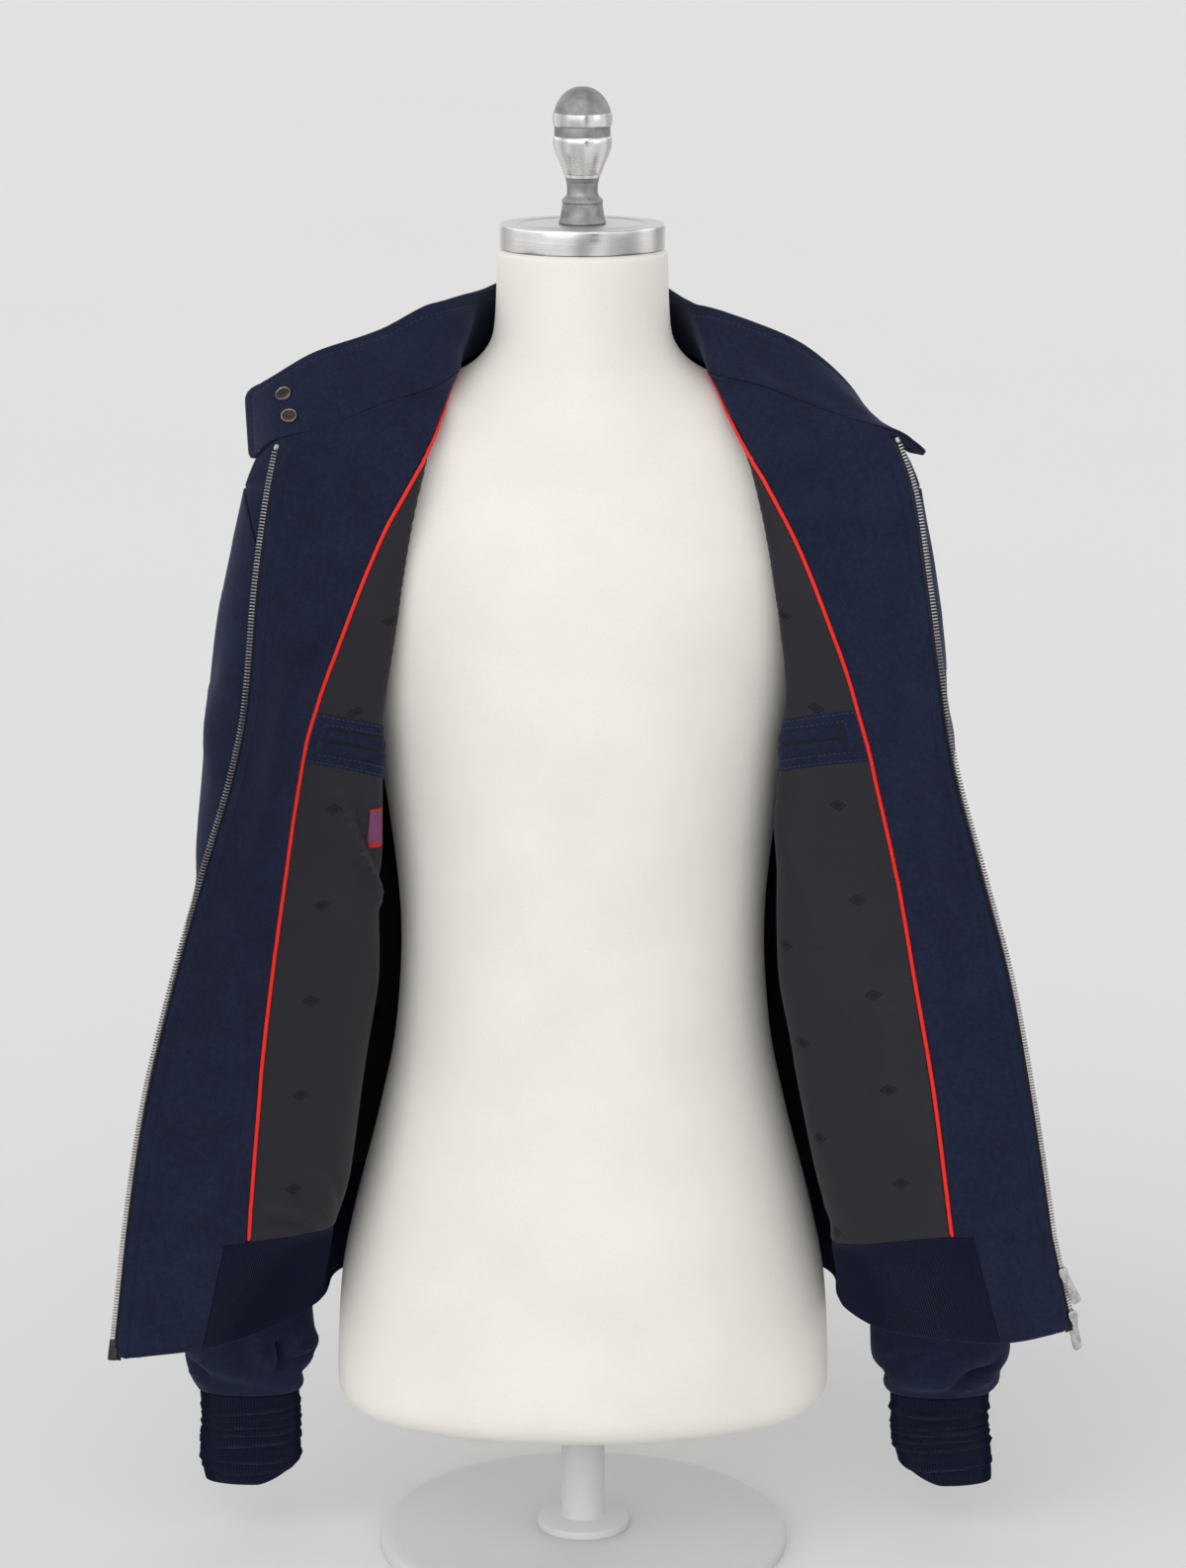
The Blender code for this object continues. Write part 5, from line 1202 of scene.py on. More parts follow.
def make_cuff(side, material):
    turns = np.linspace(0, 2 * math.pi, CUFF_RIBS * 4, endpoint=False)
    coarse = np.array([ring(row, turns, side.sign) for row in side.cuff])
    top, bottom = side.cuff[0].z - 0.3, side.cuff[-1].z
    z = np.concatenate([top - np.array([0, 0.4, 1.0]), np.arange(top - 2.2, bottom + 2.2, -CUFF_STEP)])
    z = np.concatenate([z, bottom + np.array([1.8, 0.9, 0.3, 0])])
    heights = [-row.z for row in side.cuff]
    points = along(heights, coarse.reshape(len(coarse), -1), -z).reshape(len(z), len(turns), 3)
    inner = np.clip((-np.cos(turns) - 0.1) / 0.9, 0, 1) ** 1.5
    points[..., 2] += np.clip((74 - z) / (74 - bottom), 0, 1)[:, None] * CUFF_SLANT * inner
    normals = grid_normals(points, True) * side.sign
    lift = np.zeros(points.shape[:2])
    for row in CUFF_RIDGES[side.name]:
        line = row.z + row.slant * np.sin(turns + row.phase) + 0.6 * np.sin(3 * turns + row.phase * 2)
        strength = 0.8 + 0.2 * np.sin(2 * turns + row.phase)
        above = (points[..., 2] - line) / (1.3 * row.width)
        lift += 1.3 * row.height * strength * (np.exp(-(above**2)) - 0.6 * np.exp(-((above + 1.9) ** 2)))
    lift *= (smooth((top - z) / 5) * smooth((z - bottom) / 5))[:, None]
    points = points + normals * lift[..., None]
    normals = grid_normals(points, True) * side.sign
    grid = np.concatenate([points, normals, np.zeros((*points.shape[:2], 2))], axis=2)
    piece = laid(grid)
    rim = turned_edge(piece, 1.3, closed=True)
    outer = (KNIT - RIB_HEIGHT) * rim + ribs(len(turns)) * rim
    inner = 0.3 + ribs(len(turns)) * -0.5
    obj = shell(f"cuff_{side.name}_knit", piece, inner, np.maximum(outer, 0.6), material, closed=True)
    finish_cloth(obj, f"cuff_{side.name}", piece, held="gathered", closed=True)


# ---- waistband ----
def make_band(node, panel, columns, count, material):
    """Ribbed band between two columns of a panel, with that many ribs."""
    c = [nearest(panel.columns, column) for column in columns]
    r = nearest(panel.rows, BAND_START) - 1
    width = row_lengths(panel.points[r:, c[0] : c[1] + 1])[:, -1].max()
    step = (width - 2 * SEAM) / (4 * count) + 1e-6
    inset = (SEAM, SEAM, SEAM, FREE)
    rows = (panel.rows[r], panel.rows[-1])
    piece = cut(panel, rows, columns, step, near=(0.0,), far=(0.0,), inset=inset, ribbed=BAND_STEP)
    rim = turned_edge(piece, 1.3) * (0.2 + 0.8 * smooth((piece.v / MM - TUCK) / 1.5))
    pulled = 0.5 * np.sin(piece.v / piece.v.max() * math.pi)
    wall = (KNIT / 2 - RIB_HEIGHT) * rim + ribs(piece.points.shape[1]) * rim
    obj = shell(f"{node}_knit", piece, -wall - pulled, np.maximum(wall, 0.3 - wall) - pulled, material)
    finish_cloth(obj, node, piece)


SIDE_RIBS, BACK_RIBS = 106, 230


def make_waistband(material):
    for side in SIDES:
        front = panels()[f"front_{side.name}"]
        make_band(f"waistband_{side.name}", front, (0, TAB_START), SIDE_RIBS, material)
    make_band("waistband_back", panels()["back"], (0, 1), BACK_RIBS, material)


# ---- pockets and label ----
PatchRow = namedtuple("PatchRow", "column top bottom")
# Inner pocket patch: its upper and lower edges, from the piping to behind the ridge.
PATCHES = {
    "right": table(PatchRow, (6, 647, 612), (5, 638, 602), (4, 630, 592), (3, 624, 586)),
    "left": table(PatchRow, (6, 649, 613), (5, 641, 605), (4, 634, 597), (3, 630, 593))
}
SLOT_COLUMNS = (5.55, 3.4)
# dark is 1 on the rows that take painted shade: the groove round the lips and the mouth between them
WeltRow = namedtuple("WeltRow", "share height dark")
WELT_ROWS = table(  # the upper lip, from its outer edge down to the mouth's middle
    WeltRow, (0.235, 0.1, 1), (0.262, 0.1, 1), (0.266, 0.6, 0), (0.30, 1.1, 0), (0.36, 1.3, 0),
    (0.42, 1.3, 0), (0.45, 1.1, 0), (0.462, 0.6, 0), (0.466, 0.1, 1), (0.485, 0.1, 1),
)
WELT_SHIFT = 0.02  # how far the slot's middle stands above the patch's middle
LabelBox = namedtuple("LabelBox", "first_column last_column top bottom")
LABEL_PLACE = LabelBox(4.5, 4.08, 572, 544)


def sampled(panel, rows, columns):
    """Points and normals of a panel at fractional places in its own grid."""
    grid = stacked(panel)[..., :6]
    r = np.clip(rows.astype(int), 0, grid.shape[0] - 2)
    c = np.clip(columns.astype(int), 0, grid.shape[1] - 2)
    t, s = (rows - r)[..., None], (columns - c)[..., None]
    values = lerp(lerp(grid[r, c], grid[r, c + 1], s), lerp(grid[r + 1, c], grid[r + 1, c + 1], s), t)
    return values[..., :3], unit(values[..., 3:])


def on_lining(side, columns, tops, bottoms, shares):
    """Grid on the front's panel: shares between two heights at each column."""
    panel = panels()[f"front_{side.name}"]
    at = np.interp(columns, panel.columns, range(len(panel.columns)))
    rows = np.empty((len(shares), len(columns)))
    for k, (column, top, bottom) in enumerate(zip(at, tops, bottoms)):
        c = min(int(column), len(panel.columns) - 2)
        heights = lerp(panel.points[:, c, 2], panel.points[:, c + 1, 2], column - c)
        z = lerp(top, bottom, np.asarray(shares, float))
        rows[:, k] = np.interp(-z, -heights, range(len(heights)))
    points, normals = sampled(panel, rows, np.broadcast_to(at, rows.shape))
    return laid(np.concatenate([points, normals, np.zeros((*points.shape[:2], 2))], axis=2))


def patch_lines(side, columns):
    table = np.array([row[:] for row in PATCHES[side.name]], float)[::-1]
    return along(table[:, 0], table[:, 1:], columns).T


def ease(count, rim=0.04):
    """Shares from 0 to 1 with closer lines near both ends."""
    middle = np.linspace(rim, 1 - rim, count)
    return np.concatenate([[0, rim / 3], middle, [1 - rim / 3, 1]])


def make_pocket(side, material, welt_shade_material, thread):
    columns = lerp(5.985, 3, ease(26, 0.02))
    tops, bottoms = patch_lines(side, columns)
    piece = on_lining(side, columns, tops, bottoms, ease(12))
    under = LAYER + LINING + 0.05
    rim = turned_edge(piece, 1.2)
    name = f"pocket_patch_{side.name}_cloth"
    obj = shell(name, piece, -(under + PATCH * rim), -under, material)
    under_it = f"lining_{side.name}_cloth"
    finish_cloth(obj, f"pocket_patch_{side.name}", piece, held="laid", rests_on=under_it)
    face = under + PATCH

    def line(first, last, top_share, bottom_share, count=40):
        c = np.linspace(first, last, count)
        above, below = patch_lines(side, c)
        shares = np.linspace(top_share, bottom_share, count)
        strip = [on_lining(side, [a], [t], [b], [s]) for a, t, b, s in zip(c, above, below, shares)]
        points = np.array([s.points[0, 0] for s in strip])
        normals = -np.array([s.normals[0, 0] for s in strip])
        return points + normals * face, normals

    rows = [line(5.93, 3.05, 0.05, 0.05), line(5.93, 3.05, 0.95, 0.95), line(5.93, 5.93, 0.05, 0.95)]
    first, last = SLOT_COLUMNS
    rows += [line(first + 0.1, last - 0.1, 0.19, 0.19), line(first + 0.1, last - 0.1, 0.79, 0.79)]
    rows += [line(first + 0.1, first + 0.1, 0.19, 0.79), line(last - 0.1, last - 0.1, 0.19, 0.79)]
    stitches(f"pocket_stitching_{side.name}", rows, thread, name)
    make_welt(side, material, welt_shade_material, face)


def make_welt(side, material, welt_shade_material, face):
    """The pocket's two lips, one mesh with painted shade: a dark mouth between them and a dark edge round
    them.
    """
    first, last = SLOT_COLUMNS
    columns = lerp(first, last, ease(30, 0.02))
    tops, bottoms = patch_lines(side, columns)
    upper = [row[:] for row in WELT_ROWS]
    lower = [(1 - WELT_SHIFT - share, height, dark) for share, height, dark in reversed(upper)]
    shares, lifts, dark = np.array(upper + lower).T
    piece = on_lining(side, columns, tops, bottoms, shares)
    run = -piece.u / MM
    ends = np.minimum(run, run[:, :1] - run)
    close = smooth((ends - 1.0) / 3)
    lift = lerp(np.full(run.shape, 0.8), np.broadcast_to(lifts[:, None], run.shape), close)
    rim = (dark > 0) & (np.abs(shares - 0.49) > 0.1)
    lift = np.where(rim[:, None], 0.1, lift) * smooth((ends - 0.9) / 0.5) + 0.1
    # shade picks the faces that take painted shade: the mouth, the groove round the lips and their ends
    shade = (dark[:, None] > 0) & (ends > 1.5) | (ends < 0.95)
    obj = shell(f"pocket_welt_{side.name}_cloth", piece, -(face + 0.05 + lift), -(face + 0.02), material)
    obj.data.materials.append(welt_shade_material)
    tree = finder(piece.points.reshape(-1, 3))
    for polygon in obj.data.polygons:
        polygon.material_index = int(shade.flat[tree.find(polygon.center / MM)[1]])
    under_it = f"pocket_patch_{side.name}_cloth"
    finish_cloth(obj, f"pocket_welt_{side.name}", piece, held="laid", rests_on=under_it)


def make_label(material, end_material):
    box = LABEL_PLACE
    columns = np.linspace(box.first_column, box.last_column, 13)
    shares = ease(12, 0.05)
    count = len(columns)
    piece = on_lining(RIGHT, columns, [box.top] * count, [box.bottom] * count, shares)
    under = LAYER + LINING + 0.08
    wave = 0.25 * np.sin(np.linspace(0, 5, len(shares)))[:, None] * np.sin(np.linspace(0, 3, count))
    lift = 0.3 + np.abs(wave)
    thick = LABEL * turned_edge(piece, 0.6)
    obj = shell("label_cloth", piece, -(under + lift + thick), -(under + lift - 0.05), material)
    obj.data.materials.append(end_material)
    z = np.array([polygon.center.z for polygon in obj.data.polygons]) / MM
    for polygon, height in zip(obj.data.polygons, z):
        if height > box.top - 2.4 or height < box.bottom + 2.4:
            polygon.material_index = 1
    finish_cloth(obj, "label", piece, held="laid", rests_on="lining_right_cloth")
# ---- zip ----
def loft(name, rings, material, across=None, down=None, smooth_angle=40):
    """Closed solid through rings of points with flat ends, and a UV map across and down it in metres."""
    rings = np.asarray(rings, float)
    levels, count = rings.shape[:2]
    faces = ring_faces(levels, count)
    faces += [list(range(count)), list(range((levels - 1) * count, levels * count))]
    uv = None
    if across is not None:
        starts = [(r, k) for r in range(levels - 1) for k in range(count)]
        corners = ((0, 0), (1, 0), (1, 1), (0, 1))
        uv = [(across[k + i] * MM, down[r + j] * MM) for r, k in starts for i, j in corners]
        uv += [(0.0, 0.0)] * (2 * count)
    return outward_faces(add_mesh(name, rings.reshape(-1, 3), faces, material, uv, smooth_angle))


TOOTH_PITCH = 2.2
STOP_LENGTH, STOP_START = 4.5, 3.0
PIN_LENGTH, PIN_WIDTH, PIN_THICK, PIN_SHIFT = 16.0, 5.8, 3.2, -0.6
FOOT_SHARE, STEM_SHARE, STEM_WIDTH, STEM_SHIFT = 0.62, 0.66, 4.4, 0.6  # the pin's moulded foot and stem
SliderRow = namedtuple("SliderRow", "name above_hem")
SLIDERS = [SliderRow("upper", 43), SliderRow("lower", 9)]
SLIDER_LENGTH, SLIDER_HALF_WIDTH, SLIDER_THICK, SLIDER_SHIFT = 12.0, 3.6, 5.4, 0.5
CHANNEL_THICK = 3.2
BRIDGE_LENGTH, BRIDGE_WIDTH, BRIDGE_STRAP, BRIDGE_CLEAR = 9.2, 1.8, 1.0, 2.3
BRIDGE_SHIFT, BRIDGE_SUNK, BRIDGE_EDGE = 1.6, 0.4, 0.25
PULL_LENGTH, PULL_WIDTH, PULL_THICK, PULL_EDGE = 28.0, 7.0, 1.4, 0.35
PULL_EYE_LENGTH, PULL_EYE_WIDTH = 5.0, 4.4


def zip_frames(side):
    """Along the zip: distance from its upper end, the teeth's middle, and axes across, outside, down."""
    panel = panels()[f"front_{side.name}"]
    start = nearest(panel.rows, SHOULDER_END)
    edge = panel.points[start:, -1]
    across = unit((edge - panel.points[start:, -6]) * (1, 1, 0))
    down = unit(np.gradient(edge, axis=0))
    outside = unit(np.cross(across, down) * side.sign)
    return line_lengths(edge), edge, across, outside, down


def zip_length(side):
    return float(zip_frames(side)[0][-1])


def zip_matrix(side, distance):
    """Axes at a distance down the zip, in millimetres: X across away from the cloth, Y down, Z outside."""
    lengths, edge, across, _, down = zip_frames(side)
    at = [np.interp(distance, lengths, column) for column in np.hstack([edge, across, down]).T]
    point, across, down = np.array(at).reshape(3, 3)
    down = unit(down)
    across = unit(across - down * (across @ down))
    return np.array([across, down, np.cross(across, down) * side.sign]), point


TAPE_STEP, TAPE_REACH, TAPE_HALF, BEAD_HALF = 4.0, 5.6, 0.28, 0.75


def make_tape(side, material):
    """Woven tape: thin, with a thicker bead beside the teeth."""
    edge = -CHAIN_WIDTH / 2
    upper = [(0.3, BEAD_HALF), (-0.4, BEAD_HALF), (-0.9, TAPE_HALF), (-TAPE_REACH, TAPE_HALF)]
    upper = [(edge + across, height) for across, height in upper]
    profile = [(across, -height) for across, height in reversed(upper)] + upper
    length = zip_length(side)
    places = np.linspace(STOP_START, length, int((length - STOP_START) / TAPE_STEP) + 1)
    rings = []
    for axes, point in (zip_matrix(side, place) for place in places):
        rings.append([point + axes[0] * a + axes[2] * b for a, b in profile])
    girth = line_lengths(np.array([*profile, profile[0]]))
    name = f"zip_tape_{side.name}"
    ride(loft(f"{name}_woven", rings, material, girth, places), name)


TOOTH_HALF = [(-1.3, 0.42), (0.3, 0.42), (0.7, 0.3), (1.6, 0.42), (2.0, 0.25)]  # across and along
TOOTH_OUTLINE = [(a, -d) for a, d in TOOTH_HALF] + TOOTH_HALF[::-1]
TOOTH_LAYERS = [(0.86, 0.0), (1.0, 0.35), (1.0, CHAIN_THICK - 0.35), (0.86, CHAIN_THICK)]  # size, and height


def make_teeth(side, material):
    start = STOP_START + STOP_LENGTH + 1.6
    end = zip_length(side) - (PIN_LENGTH + 1.3 if side is RIGHT else 1.2)
    count = len(TOOTH_OUTLINE)
    vertices, faces = [], []
    for place in np.arange(start, end, TOOTH_PITCH):
        axes, point = zip_matrix(side, place)
        base = len(vertices)
        for scale, height in TOOTH_LAYERS:
            level = point + axes[2] * (height - CHAIN_THICK / 2)
            vertices += [level + (axes[0] * a + axes[1] * d) * scale for a, d in TOOTH_OUTLINE]
        faces += ring_faces(len(TOOTH_LAYERS), count, base)
        faces += [list(range(base, base + count)), list(range(len(vertices) - count, len(vertices)))]
    obj = outward_faces(add_mesh(f"zip_teeth_{side.name}_row", vertices, faces, material, smooth_angle=30))
    ride(obj, f"zip_teeth_{side.name}")


def plate(outline, low, high, axes, origin, material, bevel):
    """Flat plate from an outline of (across, down) points between two heights, with rounded edges."""
    work = bmesh.new()
    face = work.faces.new([work.verts.new((a * MM, d * MM, low * MM)) for a, d in outline])
    top = bmesh.ops.extrude_face_region(work, geom=[face])
    moved = [v for v in top["geom"] if isinstance(v, bmesh.types.BMVert)]
    bmesh.ops.translate(work, vec=(0, 0, (high - low) * MM), verts=moved)
    bmesh.ops.recalc_face_normals(work, faces=work.faces)
    edges = [e for e in work.edges if len(e.link_faces) == 2 and e.calc_face_angle() > math.radians(50)]
    bmesh.ops.bevel(work, geom=edges, offset=bevel * MM, segments=3, affect="EDGES", profile=0.5)
    work.transform(placed(axes, origin))
    bmesh.ops.recalc_face_normals(work, faces=work.faces)
    mesh = bpy.data.meshes.new("plate")
    work.to_mesh(mesh)
    work.free()
    mesh.materials.append(material)
    return shaded("plate", mesh)


def placed(axes, origin):
    """Matrix that turns X, Y and Z to three axes and moves to a point given in millimetres."""
    return Matrix([[*np.array(axes)[:, k], origin[k] * MM] for k in range(3)] + [[0, 0, 0, 1]])


def joined(name, objs):
    """One object from the meshes of several new ones."""
    work = bmesh.new()
    for obj in objs:
        work.from_mesh(obj.data)
    mesh = bpy.data.meshes.new(name)
    work.to_mesh(mesh)
    work.free()
    mesh.materials.append(objs[0].data.materials[0])
    for obj in objs:
        bpy.data.objects.remove(obj)
    return shaded(name, mesh)


SQUARE = ((-1, -1), (1, -1), (1, 1), (-1, 1))


def box_outline(across, down, width, length, corner, steps=4):
    """Outline of a rectangle with rounded corners, centred at (across, down)."""
    outline = []
    for k, (s, t) in enumerate(((1, 1), (-1, 1), (-1, -1), (1, -1))):
        for turn in np.linspace(math.pi / 2 * k, math.pi / 2 * (k + 1), steps + 1):
            a = across + s * (width / 2 - corner) + corner * math.cos(turn)
            outline.append((a, down + t * (length / 2 - corner) + corner * math.sin(turn)))
    return outline


def make_stops(side, material):
    axes, point = zip_matrix(side, STOP_START + STOP_LENGTH / 2)
    half = CHAIN_THICK / 2
    outline = box_outline(0, 0, CHAIN_WIDTH - 0.2, STOP_LENGTH - 0.4, 0.9)
    block = joined(f"zip_stop_{side.name}_block", [plate(outline, -half, half, axes, point, material, 0.5)])
    ride(block, f"zip_stop_{side.name}")


def make_pin(material):
    """Box pin at the foot of the right zip: a moulded foot with a slimmer pin above it."""
    axes, point = zip_matrix(RIGHT, zip_length(RIGHT) - PIN_LENGTH / 2)
    half, foot_length = PIN_THICK / 2, PIN_LENGTH * FOOT_SHARE
    foot = box_outline(PIN_SHIFT, (PIN_LENGTH - foot_length) / 2, PIN_WIDTH, foot_length - 0.2, 0.9)
    stem = box_outline(PIN_SHIFT + STEM_SHIFT, -PIN_LENGTH * 0.16, STEM_WIDTH, PIN_LENGTH * STEM_SHARE, 0.8)
    parts = [plate(foot, -half, half, axes, point, material, 0.55)]
    parts.append(plate(stem, -half + 0.5, half - 0.5, axes, point, material, 0.4))
    ride(joined("zip_pin_box", parts), "zip_pin")


def make_slider(row, material):
    """Slider: two shaped plates joined at their nose, with an arched bridge over the front one."""
    axes, point = zip_matrix(LEFT, zip_length(LEFT) - row.above_hem)
    half, gap = SLIDER_THICK / 2, CHANNEL_THICK / 2
    w, h, shift = SLIDER_HALF_WIDTH, SLIDER_LENGTH / 2 - 0.1, SLIDER_SHIFT
    right = [(w - 1.4, -h), (w - 0.3, 1.2 - h), (w, 3.0 - h), (w - 0.2, -0.6)]
    right += [(w - 1.2, 2.2), (w - 1.5, h - 1), (w - 2.1, h)]
    shield = [(shift + a, d) for a, d in right] + [(shift - a, d) for a, d in reversed(right)]
    nose = box_outline(shift + 1.9, 1.7 - h, 1.4, 2.8, 0.6)
    guard = box_outline(shift + w - 0.5, -1.4, 0.9, 6.6, 0.3)
    outlines = ((shield, gap, half, 0.45), (shield, -half, -gap, 0.45))
    outlines += ((nose, -gap - 0.3, gap + 0.3, 0.2), (guard, -gap - 0.3, gap + 0.3, 0.2))
    parts = [plate(line, low, high, axes, point, material, bevel) for line, low, high, bevel in outlines]
    parts.append(make_bridge(axes, point, half, material))
    ride(joined(f"slider_{row.name}_body", parts), f"slider_{row.name}")


def arch(reach, rise):
    """Flat-topped arch of (down, height) points."""
    turns = np.linspace(0, math.pi, 21)
    away, up = np.cos(turns), np.sin(turns).clip(0)
    return np.stack([-reach * np.sign(away) * np.abs(away) ** 0.5, rise * up**0.5], axis=1)


def make_bridge(axes, point, height, material):
    """Arched strap from the nose to the tail of a slider's front plate."""
    outer = arch(BRIDGE_LENGTH / 2, BRIDGE_CLEAR + BRIDGE_STRAP + BRIDGE_SUNK)
    inner = arch(BRIDGE_LENGTH / 2 - BRIDGE_STRAP, BRIDGE_CLEAR + BRIDGE_SUNK)
    middle = (outer + inner) / 2
    loop, centre = np.concatenate([outer, inner[::-1]]), np.concatenate([middle, middle[::-1]])
    half, count, n = BRIDGE_WIDTH / 2, len(loop), len(outer)
    layers = [(-half, 0.12), (-half + BRIDGE_EDGE, 0.0), (half - BRIDGE_EDGE, 0.0), (half, 0.12)]
    vertices = []
    for across, draw in layers:
        flat = lerp(loop, centre, draw) + (0, height - BRIDGE_SUNK)
        vertices += list(point + axes[0] * (BRIDGE_SHIFT + across) + flat @ np.array(axes[1:]))
    faces = ring_faces(len(layers), count)
    for base in (0, (len(layers) - 1) * count):
        faces += [[base + k, base + k + 1, base + count - 2 - k, base + count - 1 - k] for k in range(n - 1)]
    return outward_faces(add_mesh("bridge", vertices, faces, material))


def pull_outlines():
    """The pull tab's outline and its eye's, with the eye's bar across the origin."""
    bar = PULL_THICK / 2
    outline = box_outline(0, PULL_LENGTH / 2 - bar, PULL_WIDTH, PULL_LENGTH, 1.6, 5)
    return outline, box_outline(0, bar + PULL_EYE_LENGTH / 2, PULL_EYE_WIDTH, PULL_EYE_LENGTH, 1.1, 5)


def make_pull(row, material):
    """Pull tab on its bridge: a slab with rounded edges and an eye."""
    joint = next(j for j in frame["joints"] if j["name"] == f"{row.name}_pull_swing")
    axes, _ = zip_matrix(LEFT, zip_length(LEFT) - row.above_hem)
    across = unit(np.array(joint["axis"], float))
    across = across if across @ axes[0] > 0 else -across
    outside = unit(axes[2] - across * (axes[2] @ across))
    down = np.cross(outside, across)
    down = down if down @ axes[1] > 0 else -down
    curve = bpy.data.curves.new("pull", "CURVE")
    curve.dimensions, curve.fill_mode = "2D", "BOTH"
    curve.extrude = (PULL_THICK / 2 - PULL_EDGE) * MM
    curve.bevel_depth = PULL_EDGE * MM
    curve.bevel_resolution = 3
    for outline, inward in zip(pull_outlines(), (1, -1)):
        spline = curve.splines.new("POLY")
        spline.points.add(len(outline) - 1)
        away = np.sign(np.array(outline) - np.mean(outline, axis=0)) * PULL_EDGE * inward
        for target, place in zip(spline.points, np.array(outline) - away):
            target.co = (*place * MM, 0, 1)
        spline.use_cyclic_u = True
    obj = linked("pull", curve)
    bpy.context.view_layer.update()
    mesh = bpy.data.meshes.new_from_object(obj.evaluated_get(bpy.context.evaluated_depsgraph_get()))
    mesh.transform(placed((across, down, outside), np.array(joint["pos_m"]) / MM))
    bpy.data.objects.remove(obj)
    name = f"pull_{row.name}_tab"
    mesh.name = name
    mesh.materials.clear()
    mesh.materials.append(material)
    work = bmesh.new()
    work.from_mesh(mesh)
    bmesh.ops.remove_doubles(work, verts=work.verts, dist=1e-6)
    bmesh.ops.recalc_face_normals(work, faces=work.faces)
    work.to_mesh(mesh)
    work.free()
    ride(shaded(name, mesh), f"pull_{row.name}", body=f"{row.name}_pull")


# ---- snaps ----
SnapRow = namedtuple("SnapRow", "name station rise")
SNAPS = [SnapRow("upper", 6.76, 0.61), SnapRow("lower", 6.68, 0.25)]
SNAP_PROFILE = [  # radius and height, from the middle out: a low disc with a raised ring round it
    (0, 1.75), (3.0, 1.7), (4.0, 1.55), (4.45, 1.25), (4.62, 1.4), (4.8, 1.85), (5.1, 1.9), (5.3, 1.5),
    (5.3, 0), (0, 0),
]
MATE_PROFILE = [  # a stud on a low plate
    (0, 2.6), (1.0, 2.55), (1.45, 2.3), (1.6, 1.9), (1.5, 1.3), (1.75, 0.9), (2.4, 0.85), (4.4, 0.9),
    (4.9, 0.75), (5.3, 0.4), (5.3, 0), (0, 0),
]
SNAP_GAP, SNAP_CENTRE = 0.15, 0.87  # the centre's share of the radius


def turned(name, profile, material, steps, second=None, is_second=None):
    """Solid of revolution about Z from (radius, height) points, both ends on the axis, in millimetres.

    A second material goes on the faces for which is_second(centre in millimetres, normal) holds.
    """
    turns = np.linspace(0, 2 * math.pi, steps, endpoint=False)
    circle = [(math.cos(t), math.sin(t)) for t in turns]
    vertices = [(x * radius, y * radius, z) for radius, z in profile[1:-1] for x, y in circle]
    faces = ring_faces(len(profile) - 2, steps)
    last = len(vertices) - steps
    for k in range(steps):
        after = (k + 1) % steps
        faces += [[last + steps, k, after], [last + k, last + steps + 1, last + after]]
    vertices += [(0, 0, profile[0][1]), (0, 0, profile[-1][1])]
    obj = outward_faces(add_mesh(name, vertices, faces, material, smooth_angle=32))
    if second:
        obj.data.materials.append(second)
        for polygon in obj.data.polygons:
            polygon.material_index = int(is_second(polygon.center / MM, polygon.normal))
    return obj


def make_snap(side, row, ring_metal, centre_metal):
    """Snap set flat on the collar: on the inner face at the right, on the outer face at the left."""
    outside = -1 if side is RIGHT else 1
    shifts = ((0, 0), (0.1, 0), (-0.1, 0), (0, -0.05), (0, 0.05))
    middle, *ends = (collar_point(side, row.station + s, top=row.rise + r) for s, r in shifts)
    normal = unit(np.cross(ends[0] - ends[1], ends[2] - ends[3]) * side.sign * outside)
    place = middle + normal * (LAYER + (WOOL if outside > 0 else FACING) + SNAP_GAP)
    points = panels()["collar"].points.reshape(-1, 3)
    near = points[np.linalg.norm(points - place, axis=1).argmin()]
    place = place + normal * np.clip((near - middle) @ normal, -1.5, 1.5)
    profile = SNAP_PROFILE if side is RIGHT else MATE_PROFILE
    reach = SNAP_CENTRE * profile[-2][0]
    node = f"snap_{side.name}_{row.name}"

    def is_centre(centre, _):
        return centre.xy.length < reach

    obj = turned(f"{node}_cap", profile, ring_metal, 64, centre_metal, is_centre)
    turn = Vector(normal).to_track_quat("Z", "Y").to_matrix().to_4x4()
    turn.translation = Vector(place * MM)
    obj.data.transform(turn)
    ride(obj, node)


# ---- dress form ----
CAP_TOP, CAP_THICK, CAP_RADIUS = 970, 17, 57.5
FORM_BASE = 105
TORSO_SIDES, TORSO_LEVELS, TORSO_GIRTH = 144, 181, 900


def make_torso(material):
    """Form's body: the table's rows evened out into close rings, with soft rolled ends."""
    turns = np.linspace(0, 2 * math.pi, TORSO_SIDES, endpoint=False)
    rows = np.array([row[:] for row in TORSO], float)
    rings = []
    levels = np.linspace(0, len(rows) - 1, TORSO_LEVELS)
    for z, half_width, front, back, squareness in along(range(len(rows)), rows, levels):
        x, y = (np.sign(way) * np.abs(way) ** (2 / squareness) for way in (np.cos(turns), np.sin(turns)))
        ring_ = [x * half_width, y * np.where(y > 0, back, front), np.full(len(turns), z)]
        rings.append(np.stack(ring_, axis=1))
    points = relaxed(np.array(rings), 6, closed=True)
    girth = np.linspace(0, TORSO_GIRTH, TORSO_SIDES + 1)
    cover = loft("form_torso_cover", points, material, girth, mean_drops(points), 50)
    ride(cover, "form_torso")


